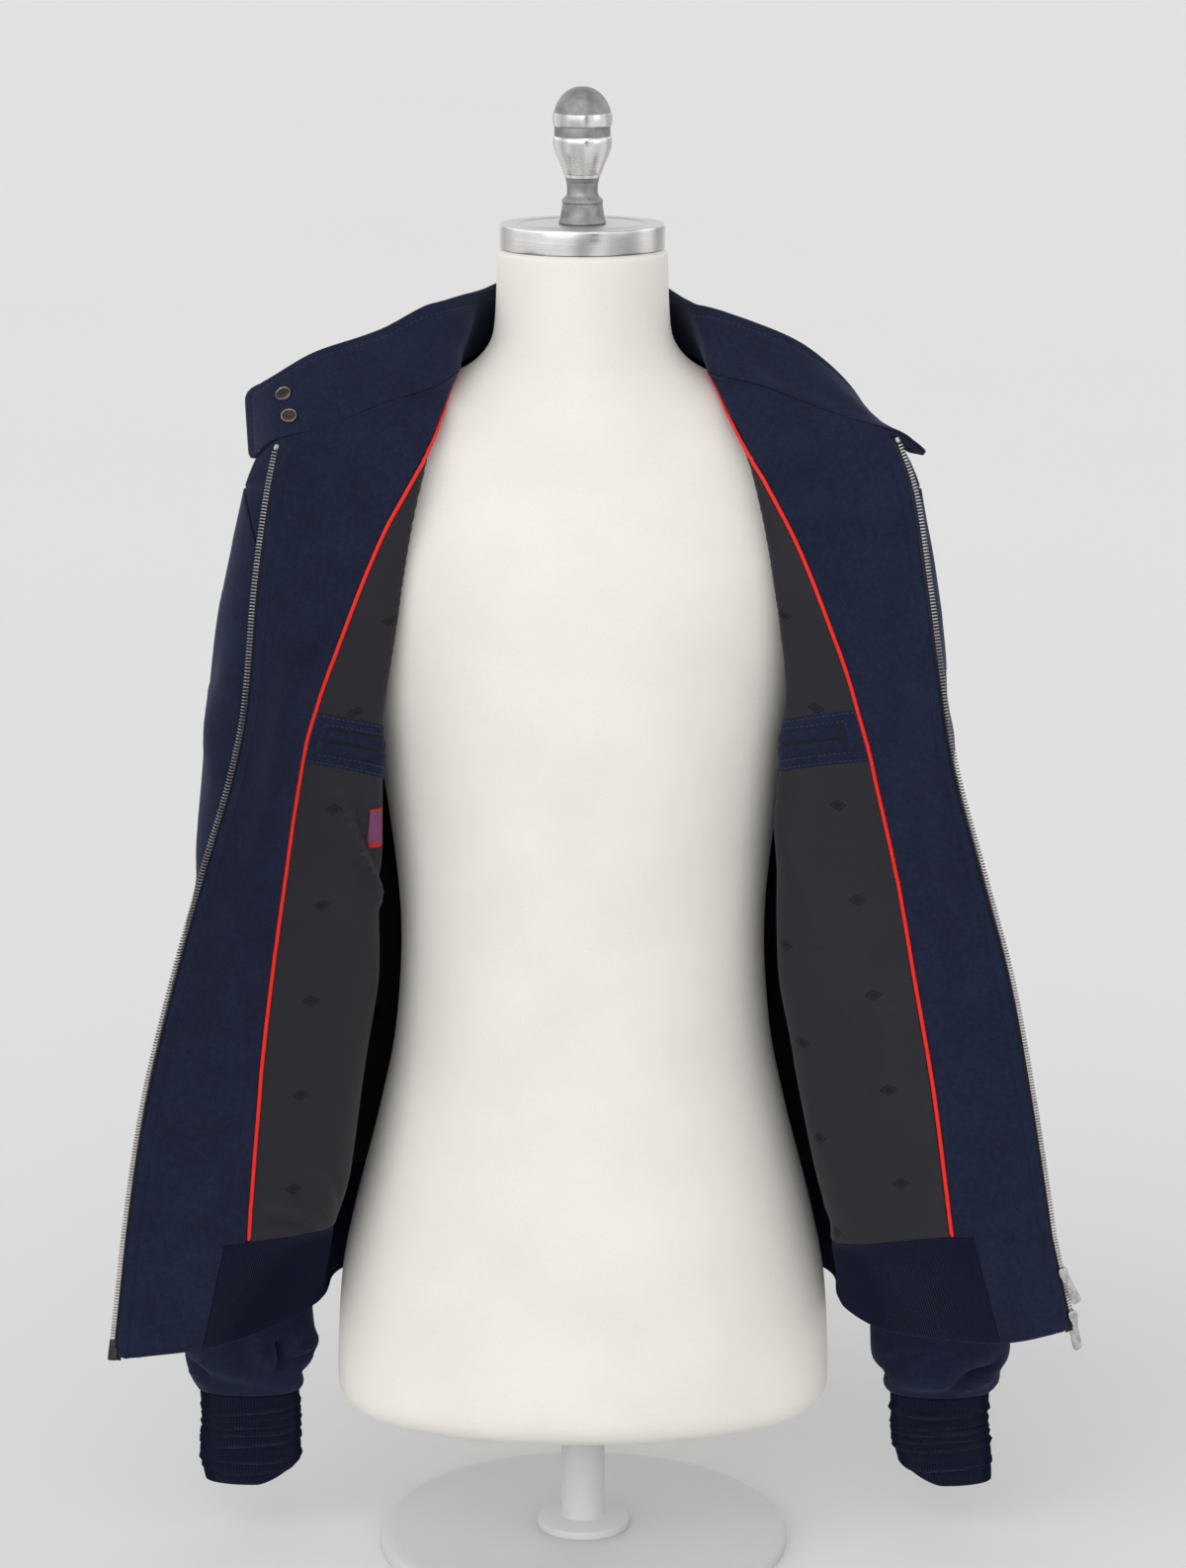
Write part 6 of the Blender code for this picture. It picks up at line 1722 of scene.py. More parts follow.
def make_cap(brushed, dull):
    """Neck cap: a brushed rim, and shallow rings on top."""
    top, rim, radius = CAP_TOP, CAP_TOP - CAP_THICK, CAP_RADIUS
    profile = [
        (0, top - 0.3), (17, top - 0.3), (41.5, top - 0.25), (42, top - 0.5), (42.6, top - 1.1),
        (45.4, top - 1.1), (46, top - 0.5), (46.5, top - 0.1), (48, top), (radius - 1.6, top),
        (radius - 0.6, top - 0.3), (radius - 0.1, top - 1.1), (radius, top - 2), (radius, rim + 1.2),
        (radius - 0.4, rim + 0.4), (radius - 1.2, rim), (0, rim),
    ]

    def on_top(centre, normal):
        return abs(normal.z) > 0.7 and centre.z > CAP_TOP - 3

    ride(turned("neck_cap_plate", profile, brushed, 180, dull, on_top), "neck_cap")


FINIAL = [  # radius and height
    (0, 1064), (4.0, 1063.6), (7.5, 1062.5), (11.0, 1060.5), (14.2, 1057.6), (16.8, 1054.0), (18.7, 1050.0),
    (19.6, 1047.0), (19.9, 1046.0), (20.5, 1045.6), (20.75, 1043.4), (20.75, 1040.4), (20.5, 1037.6),
    (20.0, 1037.0), (19.4, 1036.8), (19.4, 1030.0), (19.9, 1029.6), (20.4, 1028.6), (20.6, 1026.0),
    (20.1, 1022.4), (18.6, 1017.6), (16.5, 1012.8), (14.6, 1008.4), (13.2, 1004.4), (12.5, 1003.6),
    (12.3, 1001.6), (11.7, 1001.2), (11.4, 999.0), (11.0, 998.6), (10.7, 995.0), (10.7, 991.0),
    (11.4, 989.0), (13.2, 987.4), (14.2, 986.0), (14.4, 984.8), (13.9, 983.8), (14.0, 982.8), (14.6, 979.0),
    (15.2, 974.8), (15.7, 972.6), (16.4, 971.2), (16.4, 970.25), (0, 970.25),
]


def make_finial(polished, cast):
    """Turned knob: polished, with a cast dome, a cast groove and a cast neck."""

    def is_cast(centre, _):
        return centre.z > 1046.2 or 1030.2 < centre.z < 1036.6 or centre.z < 1001.4

    ride(turned("finial_knob", FINIAL, polished, 128, cast, is_cast), "finial")


def make_stand(material):
    top, foot = FORM_BASE - 0.3, 12
    post = [
        (0, top), (38.5, top), (39.6, top - 0.5), (40, top - 1.5), (40, top - 3.6), (39.2, top - 4.6),
        (37, top - 5.0), (17.6, top - 5.8), (16.5, top - 6.5), (16, top - 8), (16, foot + 10),
        (16.6, foot + 8.5), (18, foot + 7.8), (32.5, foot + 6.2), (33.6, foot + 5.4), (34, foot + 4.2),
        (34, foot + 0.3), (0, foot + 0.3),
    ]
    ride(turned("post_tube", post, material, 96), "post")
    disc = [
        (0, foot), (142, foot), (146, 11.4), (148.4, 10.0), (149.6, 8.2), (150, 6.4), (150, 1.0),
        (149.6, 0.3), (149, 0), (0, 0),
    ]
    ride(turned("foot_plate", disc, material, 160), "foot")


# ---- materials ----
def put(socket, value):
    """Link a Value to a socket, or set the socket to a number, vector or colour."""
    if isinstance(value, Value):
        socket.id_data.links.new(value.socket, socket)
    else:
        socket.default_value = (*value[:3], 1) if socket.type == "RGBA" else value


def node(tree, kind, inputs=None, **settings):
    """New node; its inputs are set by name or number."""
    made = tree.nodes.new(kind)
    for key, value in settings.items():
        setattr(made, key, value)
    for key, value in (inputs or {}).items():
        put(made.inputs[key], value)
    return made


class Value:
    """One output of a material's nodes; arithmetic on it adds Math nodes."""

    def __init__(self, socket):
        self.socket = socket

    def output(self, kind, inputs, name=0, **settings):
        return Value(node(self.socket.id_data, kind, inputs, **settings).outputs[name])

    def calc(self, operation, other=0.0, clamp=False):
        return self.output("ShaderNodeMath", {0: self, 1: other}, operation=operation, use_clamp=clamp)

    def __add__(self, other):
        return self.calc("ADD", other)

    def __sub__(self, other):
        return self.calc("SUBTRACT", other)

    def __mul__(self, other):
        return self.calc("MULTIPLY", other)

    def ramp(self, low, high, to_low=0.0, to_high=1.0):
        values = {"Value": self, 1: low, 2: high, 3: to_low, 4: to_high}
        return self.output("ShaderNodeMapRange", values, clamp=True, interpolation_type="SMOOTHSTEP")

    def mix(self, one, two):
        return self.output("ShaderNodeMix", {0: self, 6: one, 7: two}, 2, data_type="RGBA")

    def tone(self, colour, dark, light):
        """From a darker to a lighter shade of a colour."""
        return self.mix(shades(colour, dark), shades(colour, light))

    def bump(self, millimetres, strength):
        values = {"Height": self, "Distance": millimetres * MM, "Strength": strength}
        return self.output("ShaderNodeBump", values)


def shades(colour, factor):
    return tuple(c * factor for c in colour[:3])


class Surface:
    """A new material: its nodes, and its patterns placed on the object or on the flat cloth."""

    def __init__(self, title):
        self.material = bpy.data.materials.new(title)
        self.material.use_nodes = True
        self.tree = self.material.node_tree
        self.place = Value(node(self.tree, "ShaderNodeTexCoord").outputs["Object"])

    @property
    def uv(self):
        return Value(node(self.tree, "ShaderNodeUVMap", uv_map="cloth").outputs[0])

    def cloud(self, scale, detail=2.0, roughness=0.5, distortion=0.0, place=None):
        """Noise between 0 and 1 with about scale lumps to a metre."""
        values = {"Vector": place or self.place, "Scale": scale, "Detail": detail, "Roughness": roughness}
        return self.place.output("ShaderNodeTexNoise", {**values, "Distortion": distortion}, "Fac")

    def cloth_map(self, scale=(1, 1, 1), turn=0):
        """The cloth's own coordinates in metres, turned and scaled."""
        values = {"Vector": self.uv, "Rotation": (0, 0, math.radians(turn)), "Scale": scale}
        return self.place.output("ShaderNodeMapping", values)

    def waves(self, turn, pitch_mm, distortion, detail_scale):
        """Ridges of that pitch in the cloth at that angle, between 0 and 1."""
        scale = math.pi / (10 * pitch_mm * MM)
        values = {"Vector": self.cloth_map(turn=turn), "Scale": scale, "Distortion": distortion}
        values |= {"Detail": 1.0, "Detail Scale": detail_scale}
        return self.place.output("ShaderNodeTexWave", values, "Fac", wave_type="BANDS", bands_direction="X")

    def around(self, across, up, along_turn):
        """Place round the Z axis: radius, height and turn, each times its own factor."""
        parts = node(self.tree, "ShaderNodeSeparateXYZ", {0: self.place})
        x, y, z = (Value(socket) for socket in parts.outputs)
        radius, turn = (x * x + y * y).calc("SQRT"), y.calc("ARCTAN2", x)
        return x.output("ShaderNodeCombineXYZ", {0: radius * across, 1: z * up, 2: turn * along_turn})

    def made(self, colour, roughness, normal, specular=None, **inputs):
        """The material, its shader's inputs set or linked."""
        shader = self.tree.nodes["Principled BSDF"]
        inputs |= {"Base_Color": colour, "Roughness": roughness}
        if normal:
            inputs["Normal"] = normal
        if specular is not None:
            inputs["Specular_IOR_Level"] = specular
        for key, value in inputs.items():
            put(shader.inputs[key.replace("_", " ")], value)
        return self.material


def wool_cloth(title, colour):
    """Milled wool: a soft nap with small clouds and only a hint of its twill."""
    cloth = Surface(title)
    nap, tufts, clouds = cloth.cloud(900, 3.0, 0.65), cloth.cloud(260, 2.0, 0.6, 0.4), cloth.cloud(34)
    shade = (nap * 0.5 + tufts * 0.3 + clouds * 0.2).ramp(0.34, 0.68).tone(colour, 0.62, 1.42)
    height = nap * 0.6 + tufts * 0.5 + cloth.waves(58, 0.75, 1.2, 3.0) * 0.12
    sheen = {"Sheen_Weight": 0.1, "Sheen_Roughness": 0.42, "Sheen_Tint": (0.62, 0.68, 1.0)}
    return cloth.made(shade, nap.ramp(0.3, 0.7, 0.84, 0.97), height.bump(0.35, 0.75), 0.15, **sheen)


def rib_knit(title, colour):
    """Ribbed knit: rows of small loops along each rib, over a soft fuzz."""
    cloth = Surface(title)
    loops, fuzz, clouds = cloth.waves(90, 1.05, 0.8, 2.0), cloth.cloud(1500, 2.0, 0.6), cloth.cloud(60)
    shade = (loops * 0.5 + fuzz * 0.3 + clouds * 0.2).ramp(0.25, 0.75).tone(colour, 0.5, 1.4)
    sheen = {"Sheen_Weight": 0.12, "Sheen_Roughness": 0.45, "Sheen_Tint": (0.6, 0.68, 1.0)}
    return cloth.made(shade, 0.92, (loops + fuzz * 0.6).bump(0.25, 0.7), 0.14, **sheen)


MOTIF_ACROSS, MOTIF_DOWN = 0.060, 0.072  # how far apart the lining's small lozenges stand
LOZENGE_ACROSS, LOZENGE_DOWN = 0.0068, 0.0046  # half the size of one


def lozenges(cloth):
    """Small open lozenges in a half-drop layout, between 0 and 1."""
    parts = node(cloth.tree, "ShaderNodeSeparateXYZ", {0: cloth.uv}).outputs
    u, v = (Value(part).calc("DIVIDE", size) for part, size in zip(parts, (MOTIF_ACROSS, MOTIF_DOWN)))
    column = u.calc("FLOOR")
    v = v + column.calc("FLOORED_MODULO", 2.0) * 0.5
    across = (u - column - 0.5).calc("ABSOLUTE") * (MOTIF_ACROSS / LOZENGE_ACROSS)
    down = (v.calc("FRACT") - 0.5).calc("ABSOLUTE") * (MOTIF_DOWN / LOZENGE_DOWN)
    reach = across + down
    ring_ = reach.ramp(0.48, 0.56) * reach.ramp(0.66, 0.74, 1.0, 0.0)
    return reach.ramp(0.92, 1.04, 1.0, 0.0).calc("SUBTRACT", ring_ * 0.7, clamp=True)


def lining_cloth(title, colour):
    """Woven viscose lining: fine twill with a soft shine and small tone-on-tone lozenges."""
    cloth = Surface(title)
    twill, clouds, motif = cloth.waves(52, 0.62, 0.25, 3.0), cloth.cloud(22), lozenges(cloth)
    slubs = cloth.cloud(1.0, place=cloth.cloth_map(scale=(900, 60, 1)))
    shade = (twill * 0.45 + slubs * 0.3 + clouds * 0.25).ramp(0.2, 0.8).tone(colour, 0.72, 1.25)
    shade = (motif * 0.95).mix(shade, shades(colour, 0.2))
    rough = slubs.ramp(0.2, 0.8, 0.44, 0.56) + motif * 0.12
    bump = (twill + slubs).bump(0.08, 0.6)
    return cloth.made(shade, rough, bump, 0.2, Sheen_Weight=0.06, Sheen_Roughness=0.35)


def satin(title, colour, pitch=0.5, turn=35, tone=0.75):
    """Fine satin with a slanting rib."""
    cloth = Surface(title)
    mix = cloth.waves(turn, pitch, 0.2, 2.0) * 0.6 + cloth.cloud(1400, 2.0, 0.6) * 0.4
    shade = mix.ramp(0.25, 0.75).tone(colour, tone, 1.1)
    return cloth.made(shade, 0.5, mix.bump(0.12, 0.6), 0.22, Sheen_Weight=0.03)


def thread(title, colour, tone=1.0):
    """Twisted sewing thread."""
    surface = Surface(title)
    twist = surface.cloud(2600, 1.0, 0.4)
    shade = twist.tone(colour, 0.6, 1.4)
    return surface.made(shade, 0.6, twist.bump(0.1, 0.5), 0.3 * tone, Sheen_Weight=0.25 * tone**2)


def jersey(title, colour):
    """Plain jersey drawn tight over the form."""
    surface = Surface(title)
    grain = surface.cloud(1300, 2.0, 0.6)
    shade = (grain * 0.5 + surface.cloud(12) * 0.5).ramp(0.3, 0.7).tone(colour, 0.93, 1.03)
    return surface.made(shade, 0.9, grain.bump(0.15, 0.5), 0.25, Sheen_Weight=0.2, Sheen_Roughness=0.5)


def turned_metal(title, colour, roughness, scratch=0.12, bump=0.02, reflection_stripe_depth=0.0):
    """Metal with fine scratches that run round the Z axis, and painted reflection: darker stripes that run up
    it.
    """
    metal = Surface(title)
    scratches = metal.cloud(1.0, 2.0, 0.6, place=metal.around(2600, 2600, 1.6))
    # painted reflection: darker stripes fixed on the metal that run up it, like dark bands reflected in it
    painted_reflection_stripes = metal.cloud(1.0, 1.0, 0.5, place=metal.around(0, 5, 1.7))
    shade = scratches.ramp(0.2, 0.8).tone(colour, 0.9, 1.05)
    shade = painted_reflection_stripes.ramp(0.36, 0.6).mix(shades(colour, 1 - reflection_stripe_depth), shade)
    wear = metal.cloud(40, 3.0, 0.6) - 0.5
    rough = scratches.ramp(0.2, 0.8, roughness - scratch, roughness + scratch) + wear * 0.12
    return metal.made(shade, rough, scratches.bump(bump, 0.5), Metallic=1.0)


def cast_metal(title, colour, roughness, size=700, bump=0.08):
    """Die-cast metal with a fine uneven skin and worn tone."""
    metal = Surface(title)
    skin, wear = metal.cloud(size, 3.0, 0.6), metal.cloud(size / 6, 2.0, 0.6)
    rough = skin.ramp(0.25, 0.75, roughness - 0.08, roughness + 0.1)
    return metal.made(wear.ramp(0.3, 0.7).tone(colour, 0.75, 1.15), rough, skin.bump(bump, 0.5), Metallic=1.0)


def powder_coat(title, colour):
    """Pale powder coat with a fine orange-peel skin."""
    coat = Surface(title)
    peel, clouds = coat.cloud(1100, 1.0), coat.cloud(15)
    return coat.made(clouds.tone(colour, 0.96, 1.03), peel.ramp(0.3, 0.7, 0.42, 0.54), peel.bump(0.05, 0.5))


def studio_floor(title, colour):
    floor = Surface(title)
    return floor.made(floor.cloud(0.6).tone(colour, 0.99, 1.01), 0.95, None, 0.1)


FINISHES = {  # how each material is made, from which colour setting, how bright, and its numbers
    "wool cloth": (wool_cloth, "wool", 1), "rib knit": (rib_knit, "knit", 1),
    "lining cloth": (lining_cloth, "lining", 1), "form jersey": (jersey, "form", 1),
    "piping satin": (satin, "piping", 1), "label satin": (satin, "label", 1, 0.35, 90),
    "label end satin": (satin, "piping", 0.55, 0.35, 90),
    # pocket shade is the lining's colour darkened into painted shade, for the welts' mouths and grooves
    "zip tape weave": (satin, "zip_tape", 1, 0.8, 45, 0.55), "pocket shade": (satin, "lining", 0.12, 0.6),
    # wool thread is the thread's colour darkened below the wool: a tonal thread, and painted shade where the
    # stitches sink in
    "navy thread": (thread, "thread", 1), "wool thread": (thread, "thread", 0.4, 0.4),
    "zip nickel": (cast_metal, "zip_metal", 1, 0.24),
    "dark nickel": (cast_metal, "slider_metal", 0.12, 0.36, 1400, 0.03),
    "slider nickel": (cast_metal, "slider_metal", 1, 0.3, 1400, 0.03),
    "snap bronze": (cast_metal, "snap_metal", 1, 0.28, 1600, 0.03),
    "dark bronze": (cast_metal, "snap_metal", 0.12, 0.3, 1600, 0.03),
    "cast aluminium": (cast_metal, "cap", 0.5, 0.5, 500, 0.5),
    # the last numbers of brushed and polished aluminium set how dark their painted reflection stripes are
    "brushed aluminium": (turned_metal, "cap", 1.45, 0.27, 0.09, 0.02, 0.55),
    "satin aluminium": (turned_metal, "cap", 0.9, 0.42, 0.05),
    "polished aluminium": (turned_metal, "cap", 1.4, 0.26, 0.08, 0.01, 0.4),
    "powder coat": (powder_coat, "stand", 1), "studio floor": (studio_floor, "floor", 1)
}


def finish(title):
    """The material of that name, made once."""
    maker, setting, factor, *numbers = FINISHES[title]
    scene = bpy.context.scene
    colour = getattr(scene.coat_studio if setting == "floor" else scene.coat_colours, setting)
    return bpy.data.materials.get(title) or maker(title, shades(colour, factor), *numbers)


# ---- studio ----
CAMERA_PLACE, CAMERA_TILT, CAMERA_LENS = (0.00732, -3.15665, 1.28727), 77.23, 104.414


def add_camera():
    data = bpy.data.cameras.new("camera")
    data.sensor_fit = "VERTICAL"
    data.sensor_height = 36
    data.lens = CAMERA_LENS
    data.clip_end = 500
    obj = linked("camera", data)
    obj.location = CAMERA_PLACE
    obj.rotation_euler = (math.radians(CAMERA_TILT), 0, 0)
    bpy.context.scene.camera = obj


def level_sheet(name, width, length, material):
    """Flat rectangle round its own origin."""
    mesh = bpy.data.meshes.new(name)
    corners = [(x * width / 2, y * length / 2, 0) for x, y in SQUARE]
    mesh.from_pydata(corners, [], [(0, 1, 2, 3)])
    mesh.materials.append(material)
    return linked(name, mesh)


def add_floor():
    size = bpy.context.scene.coat_studio.floor_size
    level_sheet("floor", size, size, finish("studio floor"))


def direction(azimuth, elevation):
    """Unit vector: azimuth 0 is straight ahead of the coat, towards the camera, and 90 is at +X."""
    a, e = math.radians(azimuth), math.radians(elevation)
    return Vector((math.sin(a) * math.cos(e), -math.cos(a) * math.cos(e), math.sin(e)))


CardRow = namedtuple("CardRow", "name azimuth elevation distance width height strength")
CARDS = [  # softboxes that only metal mirrors
    CardRow("softbox_left", -32, 22, 2.6, 2.2, 2.0, 1.9),
    CardRow("softbox_right", 58, 18, 2.6, 1.1, 1.8, 1.6),
    CardRow("softbox_top", 10, 74, 2.4, 1.4, 1.2, 1.2), CardRow("grey_card", 16, 8, 3.0, 0.7, 2.4, 0.12)
]
CARD_TARGET = Vector((0, 0, 1.0))


def add_cards():
    for row in CARDS:
        material = bpy.data.materials.new(row.name)
        material.use_nodes = True
        tree = material.node_tree
        tree.nodes.clear()
        glow = node(tree, "ShaderNodeEmission", {"Color": (1, 1, 1), "Strength": row.strength})
        node(tree, "ShaderNodeOutputMaterial", {0: Value(glow.outputs[0])})
        obj = level_sheet(row.name, row.width, row.height, material)
        way = direction(row.azimuth, row.elevation)
        obj.location = CARD_TARGET + way * row.distance
        obj.rotation_euler = way.to_track_quat("Z", "Y").to_euler()
        obj.visible_camera = obj.visible_diffuse = obj.visible_shadow = False
        obj.visible_transmission = obj.visible_volume_scatter = False


KEY_AZIMUTH, KEY_ELEVATION = -22, 29


def add_lights():
    """Soft sky, grey at the horizon, brightest above it and dim overhead, and one wide key light."""
    studio = bpy.context.scene.coat_studio
    world = bpy.data.worlds.new("soft studio")
    world.use_nodes = True
    tree = world.node_tree
    way = Value(node(tree, "ShaderNodeTexCoord").outputs["Generated"])
    height = way.output("ShaderNodeSeparateXYZ", {0: way}, 2)
    rising = height.ramp(0.10, 0.24, 0.615 * studio.ambient, 1.07 * studio.ambient)
    background = tree.nodes["Background"].inputs
    put(background["Color"], studio.ambient_colour)
    put(background["Strength"], rising * height.ramp(0.2, 1.0, 1.0, 0.36))
    bpy.context.scene.world = world
    data = bpy.data.lights.new("key", "SUN")
    data.energy = studio.key
    data.angle = math.radians(studio.key_softness_deg)
    turn = direction(KEY_AZIMUTH, KEY_ELEVATION).to_track_quat("Z", "Y")
    linked("key", data).rotation_euler = turn.to_euler()
# ---- settings ----
def number_setting(name, description, default, low, high, **settings):
    return bpy.props.FloatProperty(
        name=name, description=description, default=default, min=low, max=high, **settings
    )


def length_setting(*facts):
    return number_setting(*facts, subtype="DISTANCE", unit="LENGTH")


def colour_setting(name, description, default):
    return bpy.props.FloatVectorProperty(
        name=name, description=description, subtype="COLOR", size=3, min=0, max=1, default=default
    )


class CoatCloth(bpy.types.PropertyGroup):
    """Folds and stitches of the cloth."""

    fold_strength: number_setting("Fold strength", "Share of the laid folds' own heights", 1.0, 0, 1.5)
    stitch_length: length_setting("Stitch length", "Length of one sewn stitch", 0.0030, 0.001, 0.006)
    stitch_pitch: length_setting("Stitch pitch", "From one stitch to the next", 0.0038, 0.0015, 0.008)


class CoatColours(bpy.types.PropertyGroup):
    """Base colours of the coat and its form."""

    wool: colour_setting("Wool", "Outer cloth, facing and collar", (0.0080, 0.0116, 0.0330))
    knit: colour_setting("Knit", "Cuffs and waistband", (0.0042, 0.0054, 0.0205))
    lining: colour_setting("Lining", "Woven lining", (0.0150, 0.0142, 0.0200))
    piping: colour_setting("Piping", "Cord between lining and facing", (0.80, 0.018, 0.011))
    label: colour_setting("Label", "Plain inner label", (0.17, 0.045, 0.11))
    thread: colour_setting("Thread", "Visible stitches", (0.018, 0.022, 0.055))
    zip_tape: colour_setting("Zip tape", "Woven tape of the zip", (0.006, 0.007, 0.018))
    zip_metal: colour_setting("Zip teeth", "Teeth, stops and pin", (0.35, 0.34, 0.32))
    slider_metal: colour_setting("Sliders", "Zip sliders and their pull tabs", (0.56, 0.56, 0.56))
    snap_metal: colour_setting("Snaps", "Collar snaps", (0.50, 0.44, 0.36))
    form: colour_setting("Form", "Jersey over the dress form", (0.80, 0.765, 0.715))
    cap: colour_setting("Neck cap", "Neck cap and finial", (0.62, 0.61, 0.60))
    stand: colour_setting("Stand", "Post and foot", (0.60, 0.60, 0.60))


class CoatStudio(bpy.types.PropertyGroup):
    """Floor and light."""

    floor: colour_setting("Floor", "Colour of the floor", (0.79, 0.79, 0.79))
    floor_size: length_setting("Floor size", "Length of the floor's side", 160.0, 10, 400)
    ambient: number_setting("Ambient strength", "Strength of the light from all round", 1.2, 0, 5)
    ambient_colour: colour_setting("Ambient colour", "Colour of the light from all round", (1.0, 1.0, 1.0))
    key: number_setting("Key strength", "Strength of the main light from the front left", 1.15, 0, 20)
    key_softness_deg: number_setting("Key softness", "Angle the main light spans, in degrees", 75.0, 1, 90)


# ---- operators ----
class COAT_OT_stage(bpy.types.Operator):
    """Add the camera, the floor and the studio light"""

    bl_idname, bl_label = "coat.stage", "Studio"

    def execute(self, context):
        context.scene.view_settings.view_transform = "Standard"
        add_camera()
        add_floor()
        add_lights()
        add_cards()
        return {"FINISHED"}


class COAT_OT_form(bpy.types.Operator):
    """Add the dress form's body, its neck cap, finial, post and foot"""

    bl_idname, bl_label = "coat.form", "Dress form"

    def execute(self, context):
        make_torso(finish("form jersey"))
        make_cap(finish("brushed aluminium"), finish("satin aluminium"))
        make_finial(finish("polished aluminium"), finish("cast aluminium"))
        make_stand(finish("powder coat"))
        return {"FINISHED"}


class COAT_OT_fronts(bpy.types.Operator):
    """Add the two fronts and their zip stitching"""

    bl_idname, bl_label = "coat.fronts", "Fronts"

    def execute(self, context):
        for side in SIDES:
            make_front(side, finish("wool cloth"), finish("wool thread"))
        return {"FINISHED"}


class COAT_OT_facings(bpy.types.Operator):
    """Add the two facings inside the fronts"""

    bl_idname, bl_label = "coat.facings", "Facings"

    def execute(self, context):
        for side in SIDES:
            make_facing(side, finish("wool cloth"), finish("wool thread"))
        return {"FINISHED"}


class COAT_OT_back(bpy.types.Operator):
    """Add the back and its lining"""

    bl_idname, bl_label = "coat.back", "Back"

    def execute(self, context):
        make_back(finish("wool cloth"), finish("lining cloth"))
        return {"FINISHED"}


class COAT_OT_linings(bpy.types.Operator):
    """Add the two front linings"""

    bl_idname, bl_label = "coat.linings", "Front linings"

    def execute(self, context):
        for side in SIDES:
            make_lining(side, finish("lining cloth"))
        return {"FINISHED"}


class COAT_OT_piping(bpy.types.Operator):
    """Add the piping between each lining and its facing"""

    bl_idname, bl_label = "coat.piping", "Piping"

    def execute(self, context):
        for side in SIDES:
            make_piping(side, finish("piping satin"))
        return {"FINISHED"}


class COAT_OT_collar(bpy.types.Operator):
    """Add the collar's outer and inner cloth"""

    bl_idname, bl_label = "coat.collar", "Collar"

    def execute(self, context):
        make_collar(finish("wool cloth"), finish("navy thread"))
        return {"FINISHED"}


class COAT_OT_sleeves(bpy.types.Operator):
    """Add the two sleeves"""

    bl_idname, bl_label = "coat.sleeves", "Sleeves"

    def execute(self, context):
        for side in SIDES:
            make_sleeve(side, finish("wool cloth"))
        return {"FINISHED"}


class COAT_OT_cuffs(bpy.types.Operator):
    """Add the two ribbed cuffs"""

    bl_idname, bl_label = "coat.cuffs", "Cuffs"

    def execute(self, context):
        for side in SIDES:
            make_cuff(side, finish("rib knit"))
        return {"FINISHED"}


class COAT_OT_waistband(bpy.types.Operator):
    """Add the ribbed waistband: its back and its two sides"""

    bl_idname, bl_label = "coat.waistband", "Waistband"

    def execute(self, context):
        make_waistband(finish("rib knit"))
        return {"FINISHED"}


class COAT_OT_hem_tabs(bpy.types.Operator):
    """Add the wool tabs between the waistband and the zip"""

    bl_idname, bl_label = "coat.hem_tabs", "Hem tabs"

    def execute(self, context):
        for side in SIDES:
            make_hem_tab(side, finish("wool cloth"), finish("wool thread"))
        return {"FINISHED"}


class COAT_OT_pockets(bpy.types.Operator):
    """Add the inner pockets: a patch and a welted mouth on each lining"""

    bl_idname, bl_label = "coat.pockets", "Inner pockets"

    def execute(self, context):
        for side in SIDES:
            make_pocket(side, finish("wool cloth"), finish("pocket shade"), finish("navy thread"))
        return {"FINISHED"}


class COAT_OT_label(bpy.types.Operator):
    """Add the plain label on the right lining"""

    bl_idname, bl_label = "coat.label", "Label"

    def execute(self, context):
        make_label(finish("label satin"), finish("label end satin"))
        return {"FINISHED"}


class COAT_OT_zip(bpy.types.Operator):
    """Add the zip's tapes, teeth, stops and pin"""

    bl_idname, bl_label = "coat.zip", "Zip"

    def execute(self, context):
        for side in SIDES:
            make_tape(side, finish("zip tape weave"))
            make_teeth(side, finish("zip nickel"))
            make_stops(side, finish("zip nickel"))
        make_pin(finish("dark nickel"))
        return {"FINISHED"}


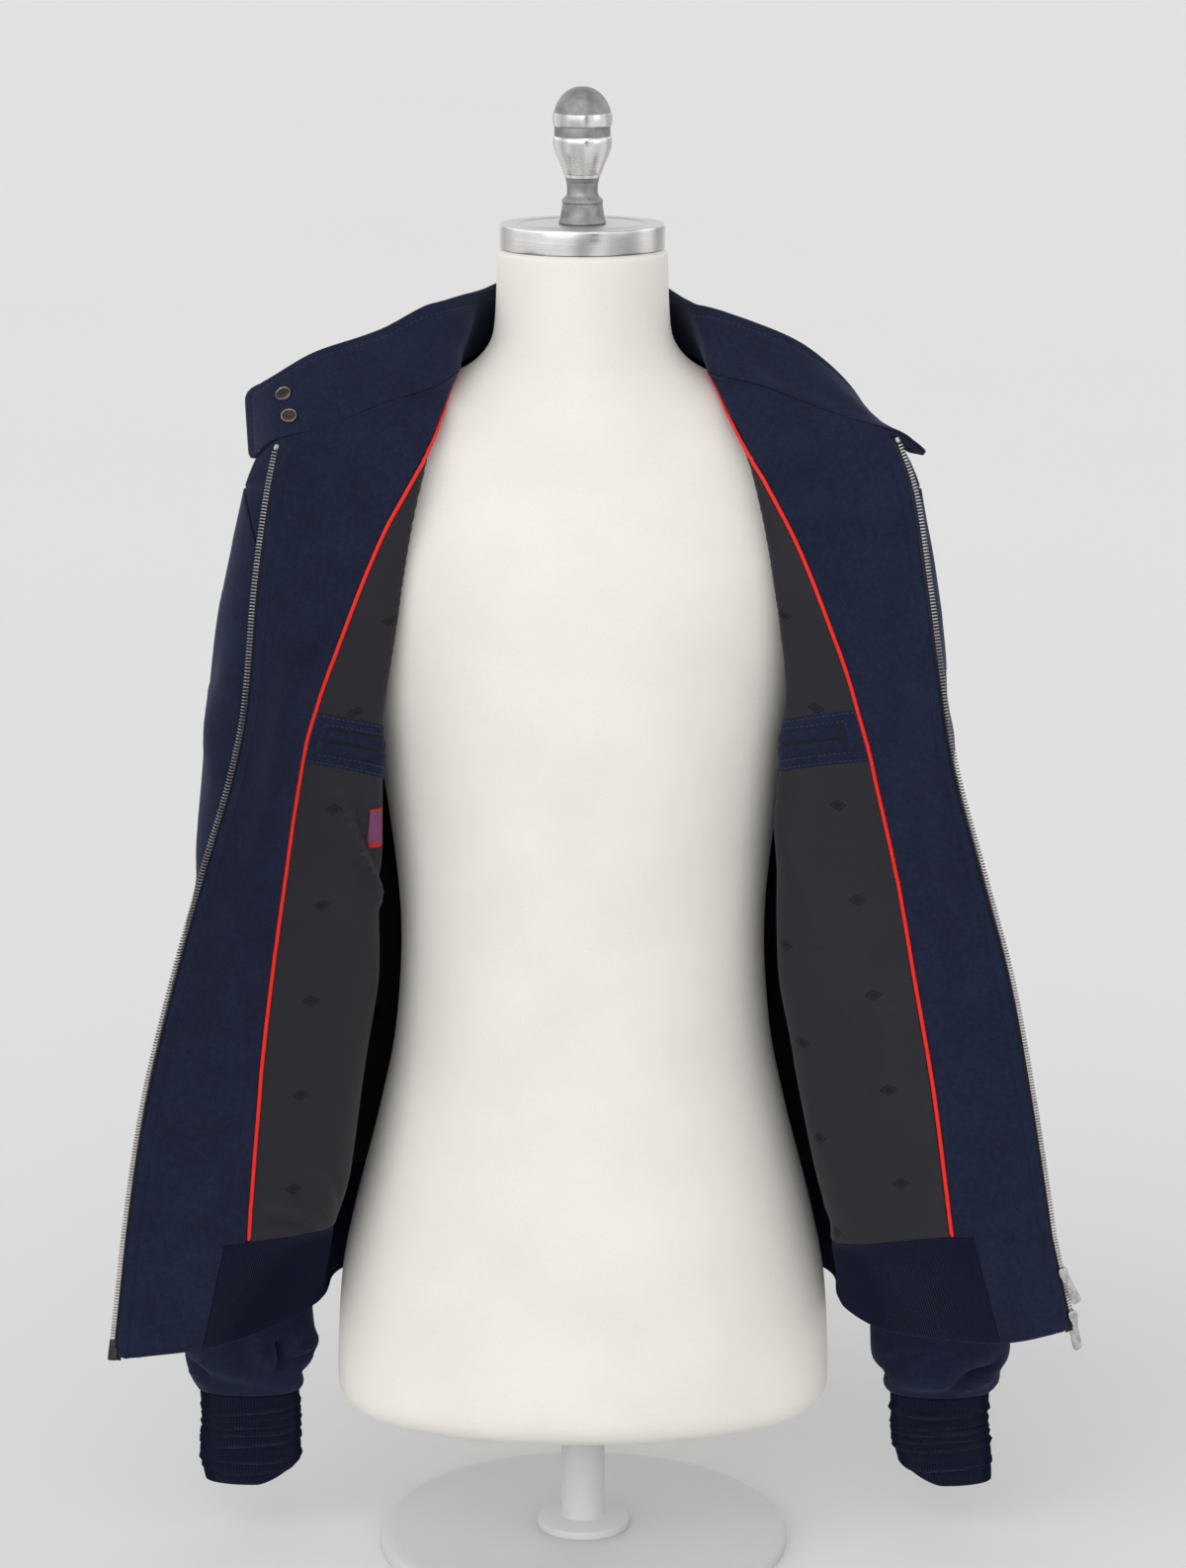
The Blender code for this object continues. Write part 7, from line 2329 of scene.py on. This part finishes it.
class COAT_OT_sliders(bpy.types.Operator):
    """Add the two sliders and their pull tabs"""

    bl_idname, bl_label = "coat.sliders", "Sliders and pulls"

    def execute(self, context):
        for row in SLIDERS:
            make_slider(row, finish("slider nickel"))
            make_pull(row, finish("slider nickel"))
        return {"FINISHED"}


class COAT_OT_snaps(bpy.types.Operator):
    """Add the collar's four snaps"""

    bl_idname, bl_label = "coat.snaps", "Snaps"

    def execute(self, context):
        for side in SIDES:
            for row in SNAPS:
                make_snap(side, row, finish("snap bronze"), finish("dark bronze"))
        return {"FINISHED"}


OPERATORS = (
    COAT_OT_stage, COAT_OT_form, COAT_OT_fronts, COAT_OT_facings, COAT_OT_back, COAT_OT_linings,
    COAT_OT_piping, COAT_OT_collar, COAT_OT_sleeves, COAT_OT_cuffs, COAT_OT_waistband, COAT_OT_hem_tabs,
    COAT_OT_pockets, COAT_OT_label, COAT_OT_zip, COAT_OT_sliders, COAT_OT_snaps
)


class COAT_PT_panel(bpy.types.Panel):
    """The coat's pieces and settings"""

    bl_idname = "COAT_PT_panel"
    bl_label = "Wool coat"
    bl_space_type = "VIEW_3D"
    bl_region_type = "UI"
    bl_category = "Coat"

    def draw(self, context):
        layout = self.layout
        for operator in OPERATORS:
            layout.operator(operator.bl_idname)
        for group in (getattr(context.scene, name) for name in GROUPS):
            box = layout.box()
            for name in group.__annotations__:
                box.prop(group, name)


GROUPS = {"coat_cloth": CoatCloth, "coat_colours": CoatColours, "coat_studio": CoatStudio}
CLASSES = (*GROUPS.values(), *OPERATORS, COAT_PT_panel)


def register():
    for cls in CLASSES:
        bpy.utils.register_class(cls)
    for name, group in GROUPS.items():
        setattr(bpy.types.Scene, name, bpy.props.PointerProperty(type=group))


def unregister():
    for name in GROUPS:
        delattr(bpy.types.Scene, name)
    for cls in reversed(CLASSES):
        bpy.utils.unregister_class(cls)


def main():
    register()
    for operator in OPERATORS:
        _, name = operator.bl_idname.split(".")
        getattr(bpy.ops.coat, name)()


if __name__ == "__main__":
    main()
